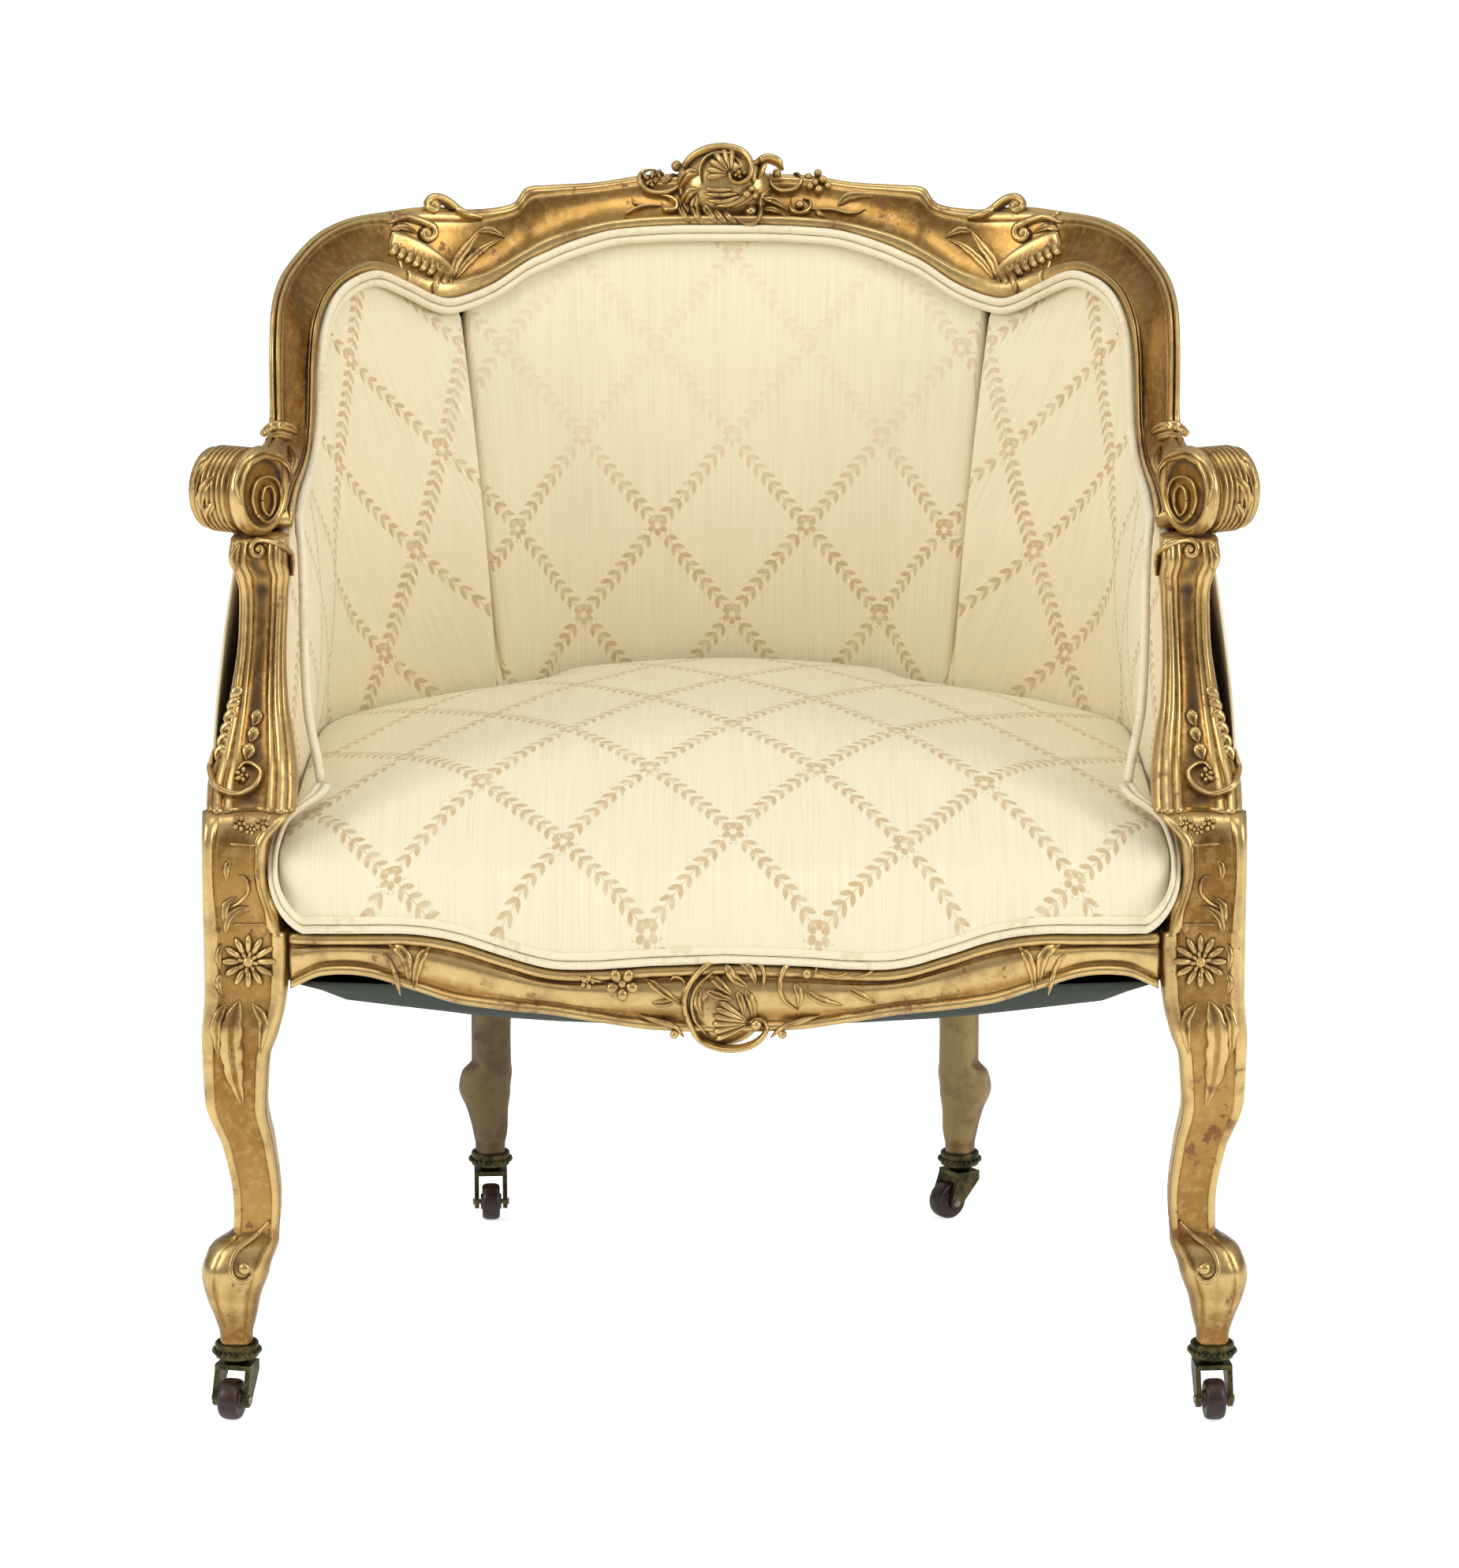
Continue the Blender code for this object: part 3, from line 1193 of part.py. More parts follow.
def pad_section(station, end_recess):
    """Closed section of an inside pad, from the deck up to the rail's lip and down behind."""
    share = read_rows(RAIL_SHARES, abs(station))[2]
    low_inner = WELL_PLAN.at(well_share(station))
    low_outer = SEAT_PLAN.at(share, -PAD_BASE_INSET)
    outward = WELL_PLAN.normal(well_share(station))
    side = -1 if station < 0 else 1
    for point in (low_inner, low_outer, outward):
        point.x *= side
    low_inner.z = PAD_BASE
    low_outer.z = PAD_BASE
    top_inner = rail_point(station, PAD_RECESS_SHARE, PAD_DROP_SHARE)
    top_outer = rail_point(station, PAD_TOP_SHARE, PAD_DROP_SHARE)
    crown_top = top_inner.z
    if PAD_WING_STATION < abs(station) < PAD_ELBOW_STATION:
        elbow = rail_point(PAD_ELBOW_STATION, PAD_RECESS_SHARE, PAD_DROP_SHARE).z
        crown_top += (elbow - crown_top) * min((abs(station) - PAD_WING_STATION) / 2, 1.0)
    section = []
    edge = seat_edge(station)
    foot = (edge - PAD_BASE) / (top_inner.z - PAD_BASE)
    columns = [0.0] + spread(foot, 1.0, PAD_COLUMNS)
    for part in columns:
        point = low_inner.lerp(top_inner, part)
        above = (point.z - edge) / (crown_top - edge)
        swell = max(4 * above * (1 - above), 0.0)
        point -= outward * (PAD_CROWN * swell * (1 - end_recess))
        if end_recess:
            point += outward * (WELT_THICKNESS * end_recess * (1 - part) ** 0.5)
        section.append(point)
    for part in reversed(columns):
        section.append(low_outer.lerp(top_outer, part))
    return section


def square_front(before, last):
    """Carry the last section of a pad or cover on, up to the backs of the stump and leg."""
    heights = sorted({point.z for point in last})
    for start, end in zip(before, last):
        index = heights.index(end.z)
        low = heights[max(index - 1, 0)]
        high = heights[min(index + 1, len(heights) - 1)]
        if end.z <= SEAT_RAIL_TOP:
            high = end.z
        back = max(stump_back(height) for height in spread(low, high, 24)) + 2 * GAP
        end.xy = start.xy + (end.xy - start.xy) * ((back - start.y) / (end.y - start.y))


def build_pads(parts):
    seam = PAD_SEAM_STATION
    across = whole_stations(-seam, seam)
    body = loft([pad_section(station, 0.0) for station in across], strip=True)
    add_mesh("inside_back_pad", body, SILK, parts)
    for side_name, side in SIDES:
        stations = whole_stations(seam, LAST_STATION)
        rings = []
        for station in stations:
            recess = max(0.0, station - (LAST_STATION - 2)) / 2
            rings.append(pad_section(station, recess))
        open_seam(rings)
        square_front(rings[-2], rings[-1])
        rings = [mirrored(ring, side) for ring in rings]
        add_mesh("inside_arm_pad_" + side_name, loft(rings, strip=True), SILK, parts)


def cover_section(station):
    """Closed section of an outside cover, over the seat rail and up to the arm or crest rail."""
    share = read_rows(RAIL_SHARES, abs(station))[2]
    side = -1 if station < 0 else 1
    outer_low = SEAT_PLAN.at(share, GAP + COVER_THICKNESS)
    outward = SEAT_PLAN.normal(share)
    outer_low.x *= side
    outward.x *= side
    hem = outer_low.copy()
    hem.z = SEAT_RAIL_BOTTOM
    outer_low.z = SEAT_RAIL_TOP
    top = rail_point(station, COVER_TOP_SHARE, COVER_DROP_SHARE)
    faces = [hem]
    for part in spread(0.0, 1.0, COVER_ROWS):
        point = outer_low.lerp(top, part)
        point += outward * (COVER_BULGE * 4 * part * (1 - part))
        faces.append(point)
    return faces + [point - outward * COVER_THICKNESS for point in reversed(faces)]


def build_covers(parts):
    seam = COVER_SEAM_STATION
    across = whole_stations(-seam, seam)
    shell = loft([cover_section(station) for station in across], strip=True)
    add_mesh("outside_back_cover", shell, SILK, parts)
    for side_name, side in SIDES:
        rings = [cover_section(station) for station in whole_stations(seam, LAST_STATION)]
        open_seam(rings)
        square_front(rings[-2], rings[-1])
        rings = [mirrored(ring, side) for ring in rings]
        add_mesh("outside_arm_cover_" + side_name, loft(rings, strip=True), SILK, parts)


# Seat

def front_point(across_share, forward_share, height):
    """Plan point by the rail's end, as shares of its half length and of the arm's distance to it."""
    forward = ARM_FRONT + (FRONT_RAIL_END - ARM_FRONT) * forward_share
    return Vector((FRONT_RAIL_HALF * across_share, -forward, height))


def seat_outline():
    """Half outline from the back to the front: plan point, top edge, lower edge, front share."""
    rows = []
    for station in range(LAST_STATION):
        point = WELL_PLAN.at(well_share(station), -2 * GAP)
        rows.append((point, seat_edge(station), PAD_BASE, 0.0))
    count = len(SEAT_CORNER_SHARES)
    for index, (across, forward, low_share) in enumerate(SEAT_CORNER_SHARES):
        part = (index + 1) / (count + 1)
        low = REBATE_HEIGHT + WELT_THICKNESS
        low += (PAD_BASE - low) * low_share
        top = SEAT_SIDE_EDGE + (SEAT_FRONT_EDGE - SEAT_SIDE_EDGE) * part
        rows.append((front_point(across, forward, 0.0), top, low, part))
    for across in spread(FRONT_RAIL_HALF - GAP, 0.0, FRONT_RAIL_POINTS)[1:]:
        face, lower, lip = front_face(across)
        rows.append((Vector((across, face + SEAT_SKIRT_SETBACK, 0.0)), SEAT_FRONT_EDGE,
                     lip + GAP, 1.0))
    return rows


def build_seat_cushion(parts):
    half = seat_outline()
    outline = half + [(Vector((-point.x, point.y, 0.0)), top, low, front)
                      for point, top, low, front in reversed(half[1:-1])]
    middle = Vector((0.0, -SEAT_CENTRE_FORWARD, 0.0))
    rings = []
    for radius in SEAT_CROWN_SHARES:
        ring = []
        for point, top, low, front in outline:
            height = top + (SEAT_PEAK - top) * (1 - radius ** SEAT_CROWN_EXPONENT)
            place = middle.lerp(point, radius)
            place.z = height
            ring.append(place)
        rings.append(ring)
    for drop_share, bulge_share in SEAT_SIDE_SHARES:
        ring = []
        for point, top, low, front in outline:
            away = (point - middle).normalized()
            place = point + away * ((SEAT_FRONT_BULGE + SEAT_SKIRT_SETBACK) * front * bulge_share)
            place.z = top + (low - top) * drop_share
            ring.append(place)
        rings.append(ring)
    for at_deck in (False, True):
        ring = []
        for point, top, low, front in outline:
            place = point - (point - middle).normalized() * SEAT_SKIRT_THICKNESS
            place.z = PAD_BASE if at_deck else low
            ring.append(place)
        rings.append(ring)
    return add_mesh("seat_cushion", loft(rings), SILK, parts)


# Welts

def welt_rings(path):
    """Rings of a double welt on a path of centre, towards the wood, out of the cloth."""
    rings = []
    for centre, wood, out in path:
        rings.append([centre + wood * ((share - 0.5) * WELT_WIDTH) + out * (rise * WELT_THICKNESS)
                      for share, rise in WELT_SECTION_SHARES])
    return rings


def welt_height(share):
    """Height along the front of an arm, from the seat's side edge up to the arm's top."""
    return SEAT_SIDE_EDGE + (ARM_TOP - SEAT_SIDE_EDGE) * share


def build_back_welt(parts):
    half = []
    for station in spread(0.0, LAST_STATION - WELT_STOP_STATIONS, LAST_STATION):
        inner, across, up = rail_frame(station)
        wood = up.normalized()
        out = -across.normalized()
        centre = inner - wood * (WELT_WIDTH / 2) + out * GAP
        half.append((centre, wood, out))
    start_wood, start_out = half[-1][1], half[-1][2]
    for index, (across, forward, up) in enumerate(BACK_WELT_TAIL_SHARES):
        part = min((index + 1) / 2, 1.0)
        wood = start_wood.lerp(Vector((0.0, -1.0, 0.0)), part).normalized()
        out = start_out.lerp(Vector((-1.0, 0.0, 0.0)), part).normalized()
        half.append((front_point(across, forward, welt_height(up)), wood, out))
    rings = welt_rings(half)
    other = [mirrored(ring, -1) for ring in reversed(rings[1:])]
    return add_mesh("back_welt", loft(other + rings), WELT_SILK, parts)


def build_seat_welt(parts):
    half = []
    count = len(SEAT_WELT_HEAD_SHARES)
    for index, (across, forward, up) in enumerate(SEAT_WELT_HEAD_SHARES):
        part = index / count
        wood = Vector((1 - part, -part * (1 - part), -part)).normalized()
        out = Vector((part * (1 - part), -part - WELT_TILT_SHARE, 1 - part)).normalized()
        half.append((front_point(across, forward, welt_height(up)), wood, out))
    for across in spread(FRONT_RAIL_HALF - GAP, 0.0, FRONT_RAIL_POINTS)[1:]:
        face, lower, lip = front_face(across)
        centre = Vector((across, face + SEAT_WELT_SETBACK + WELT_THICKNESS / 2,
                         lip + GAP + WELT_WIDTH / 2))
        half.append((centre, Vector((0.0, 0.0, -1.0)), Vector((0.0, -1.0, 0.0))))
    rings = welt_rings(half)
    other = [mirrored(ring, -1) for ring in reversed(rings[:-1])]
    return add_mesh("seat_welt", loft(rings + other), WELT_SILK, parts)


# Casters

def build_collar(name, place, parts):
    mid = (COLLAR_TOP + COLLAR_BOTTOM) / 2
    bore = STEM_RADIUS + SWIVEL_PLAY
    profile = (
        (COLLAR_CUP_RADIUS, COLLAR_TOP), (COLLAR_LIP_RADIUS, COLLAR_TOP),
        (COLLAR_LIP_RADIUS, COLLAR_TOP - COLLAR_BEVEL),
        (COLLAR_RING_RADIUS, mid + COLLAR_BEVEL), (COLLAR_RING_RADIUS, mid - COLLAR_BEVEL / 2),
        (COLLAR_LIP_RADIUS, mid - COLLAR_BEVEL), (COLLAR_NECK_RADIUS, COLLAR_BOTTOM),
        (bore, COLLAR_BOTTOM), (bore, COLLAR_FLOOR), (COLLAR_CUP_RADIUS, COLLAR_FLOOR),
        (COLLAR_CUP_RADIUS, COLLAR_TOP),
    )
    collar = turned(name, profile, COLLAR_STEPS, BRONZE, parts)
    collar.location = place
    return collar


def fork_mesh(parts, cutters):
    """Fork with its stem, on its swivel axis at the origin, wheel towards -Y."""
    top = FORK_TOP
    half = FORK_WIDTH / 2
    inner = half - FORK_CHEEK
    bridge = [Vector((x, FORK_DEPTH_BACK + OVERRUN, z)) for x, z in (
        (-half, FORK_FOOT), (-half, top), (half, top), (half, FORK_FOOT),
        (inner, FORK_FOOT), (inner, top - FORK_PLATE), (-inner, top - FORK_PLATE),
        (-inner, FORK_FOOT))]
    reach = FORK_DEPTH_BACK + TRAIL + WHEEL_RADIUS + OVERRUN
    body = prism(bridge, Vector((0.0, -reach, 0.0)))
    fork = add_mesh("caster_fork", body, BRONZE, parts, smooth=False)
    boss = AXLE_HEAD_RADIUS * FORK_BOSS_SHARE
    low = WHEEL_RADIUS - boss
    outline = [Vector((-half - OVERRUN, y, z)) for y, z in (
        (FORK_DEPTH_BACK, top + OVERRUN), (FORK_DEPTH_BACK, top - FORK_PLATE * 2),
        (-TRAIL + boss / 2, low), (-TRAIL - boss / 2, low), (-TRAIL - boss, WHEEL_RADIUS - boss / 2),
        (-TRAIL - boss, WHEEL_RADIUS + boss / 2), (-FORK_DEPTH_FRONT, top - FORK_PLATE),
        (-FORK_DEPTH_FRONT, top + OVERRUN))]
    side = add_cutter("fork_side", prism(outline, Vector((FORK_WIDTH + 2 * OVERRUN, 0.0, 0.0))),
                      cutters)
    add_boolean(fork, side, "INTERSECT")
    bm = bmesh.new()
    stem_top = COLLAR_FLOOR - GAP
    stem_low = top - FORK_PLATE / 2
    bmesh.ops.create_cone(bm, cap_ends=True, segments=AXLE_STEPS, radius1=STEM_RADIUS,
                          radius2=STEM_RADIUS, depth=stem_top - stem_low)
    bmesh.ops.translate(bm, verts=bm.verts, vec=(0.0, 0.0, (stem_top + stem_low) / 2))
    add_boolean(fork, add_cutter("fork_stem", bm, cutters), "UNION")
    bm = bmesh.new()
    hole = AXLE_RADIUS + GAP
    bmesh.ops.create_cone(bm, cap_ends=True, segments=AXLE_STEPS, radius1=hole, radius2=hole,
                          depth=FORK_WIDTH + 2 * OVERRUN)
    turn = Matrix.Translation((0.0, -TRAIL, WHEEL_RADIUS)) @ Matrix.Rotation(math.pi / 2, 4, "Y")
    bmesh.ops.transform(bm, matrix=turn, verts=bm.verts)
    add_boolean(fork, add_cutter("fork_axle_hole", bm, cutters), "DIFFERENCE")
    bpy.context.view_layer.update()
    shaped = fork.evaluated_get(bpy.context.evaluated_depsgraph_get())
    mesh = bpy.data.meshes.new_from_object(shaped)
    mesh.name = "caster_fork"
    bpy.data.objects.remove(fork, do_unlink=True)
    for cutter in list(cutters.objects):
        if cutter.name.startswith("fork_"):
            bpy.data.objects.remove(cutter, do_unlink=True)
    return mesh


def build_casters(parts, cutters):
    shape = fork_mesh(parts, cutters)
    axle_half = FORK_WIDTH / 2 + GAP
    wheel_half = WHEEL_WIDTH / 2
    bore = AXLE_RADIUS + GAP
    dome = AXLE_HEAD_RADIUS * AXLE_DOME_SHARE
    round_radius = WHEEL_RADIUS / math.cos(math.pi / WHEEL_STEPS)
    wheel_profile = (
        (bore, wheel_half + WHEEL_HUB_STEP), (WHEEL_HUB_RADIUS, wheel_half + WHEEL_HUB_STEP),
        (WHEEL_HUB_RADIUS, wheel_half), (round_radius - WHEEL_ROUND, wheel_half),
        (round_radius, wheel_half - WHEEL_ROUND), (round_radius, WHEEL_ROUND - wheel_half),
        (round_radius - WHEEL_ROUND, -wheel_half), (WHEEL_HUB_RADIUS, -wheel_half),
        (WHEEL_HUB_RADIUS, -wheel_half - WHEEL_HUB_STEP), (bore, -wheel_half - WHEEL_HUB_STEP),
        (bore, wheel_half + WHEEL_HUB_STEP))
    axle_profile = (
        (0.0, axle_half + AXLE_HEAD), (dome, axle_half + AXLE_HEAD),
        (AXLE_HEAD_RADIUS, axle_half), (AXLE_RADIUS, axle_half), (AXLE_RADIUS, -axle_half),
        (AXLE_HEAD_RADIUS, -axle_half), (dome, -axle_half - AXLE_HEAD),
        (0.0, -axle_half - AXLE_HEAD))
    for end in ("front", "rear"):
        for side_name, side in SIDES:
            suffix = end + "_" + side_name
            place = foot_place(end)
            place.x *= side
            build_collar("caster_collar_" + suffix, place, parts)
            swivel = bpy.data.objects.new("swivel_axis_" + suffix, None)
            swivel.location = place
            swivel.rotation_euler = (0.0, 0.0, CASTER_TURNS[(end, side_name)])
            parts.objects.link(swivel)
            fork = bpy.data.objects.new("caster_fork_" + suffix, shape)
            parts.objects.link(fork)
            fork.parent = swivel
            axle = turned("caster_axle_" + suffix, axle_profile, AXLE_STEPS, STEEL, parts)
            wheel = turned("caster_wheel_" + suffix, wheel_profile, WHEEL_STEPS, LIGNUM, parts)
            for item, facets in ((axle, AXLE_STEPS), (wheel, WHEEL_STEPS)):
                item.parent = swivel
                item.location = (0.0, -TRAIL, WHEEL_RADIUS)
                item.rotation_mode = "ZYX"
                item.rotation_euler = (0.0, math.pi / 2, math.pi / facets)


def build_joints(made, cutters):
    """Mortise and tenon joints of the frame."""
    block_centre, block_along, block_out = rear_block_frame()
    seat_tenon = (TENON_THICKNESS, TENON_HEIGHT, cutters)
    peg = (PEG_WIDTH, PEG_WIDTH, cutters)
    ring = rail_ring(JOINT_STATION)
    after = rail_ring(JOINT_STATION + 1)
    for side_name, side in SIDES:
        flip = Vector((side, 1.0, 1.0))
        front_leg = made["front_leg_" + side_name]
        rear_leg = made["rear_leg_" + side_name]
        stump = made["arm_stump_" + side_name]
        side_rail = made["side_seat_rail_" + side_name]
        add_tenon("front_rail_" + side_name, made["front_seat_rail"], front_leg,
                  FRONT_TENON_CENTRE * flip, Vector((side, 0.0, 0.0)), TENON_LENGTH, *seat_tenon)
        add_tenon("side_rail_front_" + side_name, side_rail, front_leg,
                  SIDE_TENON_CENTRE * flip, Vector((0.0, -1.0, 0.0)), TENON_LENGTH, *seat_tenon)
        for name, rail, direction in (("side_rail_rear_", side_rail, 1),
                                      ("rear_rail_", made["rear_seat_rail"], -1)):
            face = block_centre + block_along * (direction * REAR_BLOCK_HALF)
            face.z = SEAT_RAIL_BOTTOM + SEAT_RAIL_HEIGHT / 2
            add_tenon(name + side_name, rail, rear_leg, face * flip,
                      block_along * flip * -direction, REAR_TENON_LENGTH, *seat_tenon)
        add_tenon("stump_foot_" + side_name, stump, front_leg, STUMP_FOOT_CENTRE * flip,
                  Vector((0.0, 0.0, -1.0)), TENON_LENGTH, *peg, upright=Vector((0.0, 1.0, 0.0)))
        add_tenon("stump_head_" + side_name, stump, made["arm_rail_" + side_name],
                  STUMP_HEAD_CENTRE * flip, Vector((0.0, 0.0, 1.0)), TENON_LENGTH, *peg,
                  upright=Vector((0.0, 1.0, 0.0)))
        seat = rail_point(JOINT_STATION, STILE_HEAD_SHARE, CREST_PEG_RISE_SHARE)
        along = sum(after, Vector()) - sum(ring, Vector())
        add_tenon("crest_" + side_name, made["crest_rail"], made["arm_rail_" + side_name],
                  seat * flip, along * flip, TENON_LENGTH, *peg)


def main():
    clear_scene()
    parts = new_collection(OBJECT_NAME)
    cutters = new_collection("cutters")
    build_crest_rail(parts, cutters)
    build_front_rail(parts, cutters)
    build_seat_rails(parts)
    build_back_stiles(parts)
    build_corner_blocks(parts)
    for side_name, side in SIDES:
        build_arm_rail(side_name, side, parts, cutters)
        build_arm_stump(side_name, side, parts)
        build_front_leg(side_name, side, parts, cutters)
        build_rear_leg(side_name, side, parts, cutters)
    build_joints(parts.objects, cutters)
    build_webbing(parts, cutters)
    build_springs(parts)
    build_spring_deck(parts)
    build_sheets(parts)
    build_pads(parts)
    build_covers(parts)
    build_seat_cushion(parts)
    build_back_welt(parts)
    build_seat_welt(parts)
    build_casters(parts, cutters)


main()
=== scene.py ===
"""Bergere armchair over its CAD frame: gilt rails and carving, silk, casters and the studio.

Lengths are in metres, the chair faces -Y, and the right of the picture is +X."""

import json
import math

import bmesh
import bpy
import numpy as np
from bpy.props import FloatProperty, FloatVectorProperty, PointerProperty
from mathutils import Matrix, Vector
from mathutils.bvhtree import BVHTree

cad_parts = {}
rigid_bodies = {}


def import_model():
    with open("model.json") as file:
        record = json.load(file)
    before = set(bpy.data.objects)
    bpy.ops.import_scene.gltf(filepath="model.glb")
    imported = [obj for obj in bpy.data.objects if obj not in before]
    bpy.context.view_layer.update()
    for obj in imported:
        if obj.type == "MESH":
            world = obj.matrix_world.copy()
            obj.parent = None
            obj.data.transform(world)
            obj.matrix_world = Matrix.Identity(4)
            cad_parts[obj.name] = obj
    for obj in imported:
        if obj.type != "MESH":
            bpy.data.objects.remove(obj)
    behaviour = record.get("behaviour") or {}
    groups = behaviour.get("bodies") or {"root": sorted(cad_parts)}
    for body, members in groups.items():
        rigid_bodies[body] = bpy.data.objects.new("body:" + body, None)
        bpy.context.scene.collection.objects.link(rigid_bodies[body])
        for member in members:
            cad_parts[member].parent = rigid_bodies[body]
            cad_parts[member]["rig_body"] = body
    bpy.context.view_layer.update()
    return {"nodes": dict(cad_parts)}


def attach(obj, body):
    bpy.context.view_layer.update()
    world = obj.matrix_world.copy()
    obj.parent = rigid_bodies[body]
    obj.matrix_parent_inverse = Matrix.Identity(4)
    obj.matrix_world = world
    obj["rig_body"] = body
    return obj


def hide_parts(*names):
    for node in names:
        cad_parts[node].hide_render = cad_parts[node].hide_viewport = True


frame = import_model()
NODES = frame["nodes"]

bl_info = {
    "name": "Bergere armchair",
    "version": (1, 0, 0),
    "blender": (4, 5, 0),
    "location": "3D View > Sidebar > Bergere",
    "description": "Builds the armchair's visible form over its CAD frame",
    "category": "Add Mesh",
}

SIDES = (("left", -1.0), ("right", 1.0))
X_AXIS, Y_AXIS, Z_AXIS = np.eye(3)

# Shares of the rail round the back: outer, height, inner and depth, at its stations
RAIL_SHARES = (
    (0, 1, 0, 1), (.045, .994, .045, .97), (.09, .988, .09, .97), (.143, .958, .14, .91),
    (.195, .946, .19, 1.11), (.222, .934, .218, 1.26), (.24, .862, .24, 1.09),
    (.284, .838, .285, 1.46), (.325, .85, .333, 1.77), (.355, .856, .362, 1.69),
    (.39, .85, .395, 1.37), (.447, .838, .44, 1.0), (.503, .79, .482, .83),
    (.564, .70, .522, .63), (.62, .617, .552, .57), (.665, .515, .578, .54),
    (.69, .36, .596, .43), (.697, .18, .606, .29), (.702, .042, .622, .34),
    (.738, 0, .662, .54), (.803, -.012, .742, .66), (.872, .012, .842, .83),
    (.935, .048, .924, 1.11), (1, .09, 1, 1.43))
JOINT_STATION = 10.0
LAST_STATION = 23.0
# Room that two pieces leave between them where they meet
FIT = .0003
# Fine moulding of the rail, across and up: bead, groove, fillet, cove, two beads, three ridges
RAIL_PROFILE = (
    (.03, -.07), (.0, .0), (-.004, .06), (.002, .13), (.02, .175), (.042, .19), (.064, .175),
    (.076, .135), (.085, .12), (.094, .14), (.1, .18), (.112, .195), (.128, .185), (.137, .15),
    (.15, .142), (.18, .16), (.24, .2), (.3, .25), (.36, .31), (.42, .385), (.48, .475),
    (.54, .58), (.585, .68),
    (.615, .79), (.632, .88), (.645, .895), (.657, .9), (.662, .955), (.685, 1.0), (.72, 1.02),
    (.755, 1.005), (.772, .965), (.785, .95), (.798, .98), (.82, 1.035), (.865, 1.06),
    (.915, 1.055), (.957, 1.01), (.978, .94), (.98, .88), (1.005, .84), (1.028, .77),
    (1.02, .7), (.99, .66), (.982, .63), (1.008, .6), (1.022, .54), (1.012, .48), (.985, .45),
    (.98, .42), (1.002, .4), (1.014, .34), (1.004, .28), (.982, .25), (.98, .1), (.975, -.2),
    (.97, -.5), (.72, -.5), (.47, -.5), (.46, -.3), (.45, -.09), (.24, -.08))
# Heights of the seat rails' top, the front leg's top, the step in its block and the feet's ends
RAIL_TOP = .3847
FRONT_LEG_TOP = .4369
BLOCK_STEP_TOP, BLOCK_STEP_FOOT = .3575, .3565
LEG_FOOT = .0448
STUMP_FOOT, STUMP_RISE = .4372, .1775
# The front leg's section is rounded below the first height and beaded above the second
SECTION_SOFT_TOP, SECTION_CHANGE = .125, .02
# Share of the seat's plan at the rear leg, and how far inside the plan it stands
REAR_LEG_SHARE, REAR_LEG_INSET = .252, .020
# Height share, sideways, forward, half width, half depth
STUMP_ROWS = (
    (1, .320, .195, .0205, .0210), (.92, .321, .197, .0215, .0225), (.85, .318, .197, .0195, .0205),
    (.795, .318, .196, .0175, .0190), (.63, .319, .199, .0170, .0190),
    (.385, .3215, .209, .0205, .0205), (.19, .3225, .226, .0280, .0240),
    (.07, .3235, .243, .0320, .0270), (0, .3235, .252, .0320, .0300))
# Height, sideways, forward, half width, half depth
FRONT_LEG_ROWS = (
    (.4369, .3245, .2585, .0325, .0235), (.4300, .3285, .2625, .0285, .0272),
    (.4180, .3330, .2650, .0240, .0292), (.4000, .3338, .2655, .0232, .0296),
    (.3850, .3325, .2655, .0245, .0296), (.3720, .3300, .2655, .0270, .0298),
    (.3575, .3285, .266, .0285, .0300),
    (.3565, .327, .266, .0300, .0300), (.345, .327, .266, .030, .030),
    (.311, .328, .267, .029, .030), (.285, .332, .271, .027, .028), (.269, .335, .272, .024, .025),
    (.235, .336, .270, .022, .023), (.200, .329, .260, .0185, .020), (.160, .325, .249, .017, .018),
    (.135, .3265, .246, .0165, .0175), (.122, .336, .250, .0245, .021),
    (.108, .341, .254, .0245, .022), (.088, .343, .2535, .0195, .019),
    (.070, .342, .251, .0145, .0145), (.0585, .342, .250, .0118, .0118),
    (.0448, .342, .250, .0118, .0118))
# Height, outwards, backwards, half width along the rail, half depth
REAR_LEG_ROWS = (
    (.3847, 0, 0, .023, .017), (.315, 0, 0, .023, .017), (.300, 0, 0, .021, .017),
    (.260, 0, .004, .0165, .0175), (.200, 0, .006, .016, .017), (.150, .001, .008, .0155, .016),
    (.130, .001, .010, .0155, .0165), (.118, .005, .016, .020, .020),
    (.104, .007, .020, .0205, .0205), (.088, .005, .020, .0165, .0165),
    (.068, .003, .0203, .0135, .0135), (.0585, .003, .0203, .0118, .0118),
    (.0448, .003, .0203, .0118, .0118))
# Sideways share, bow share, lower edge, lip
FRONT_RAIL_ROWS = (
    (0, 1, .290, .339), (.17, .97, .292, .337), (.30, .86, .297, .334), (.40, .68, .301, .334),
    (.50, .46, .303, .341), (.62, .22, .307, .351), (.72, .08, .316, .355), (.83, 0, .325, .355),
    (.93, 0, .325, .355), (1, .04, .316, .356))
SEAT_CORNER_ROWS = (
    (.2995, .205, 0.0), (.3005, .225, 0.0), (.3025, .24, .25), (.3035, .26, .5), (.301, .2808, .8),
    (.292, .287, 1.0))
BACK_WELT_TAIL = (
    (.2975, .166, .602), (.2955, .18, .575), (.2955, .181, .53), (.293, .188, .49),
    (.2865, .199, .46), (.2835, .205, .444))
SEAT_WELT_HEAD = (
    (.279, .210, .439), (.284, .221, .4335), (.295, .234, .4275), (.303, .247, .421),
    (.3065, .268, .411), (.3070, .2835, .398), (.3040, .2945, .385), (.297, .3000, .373))
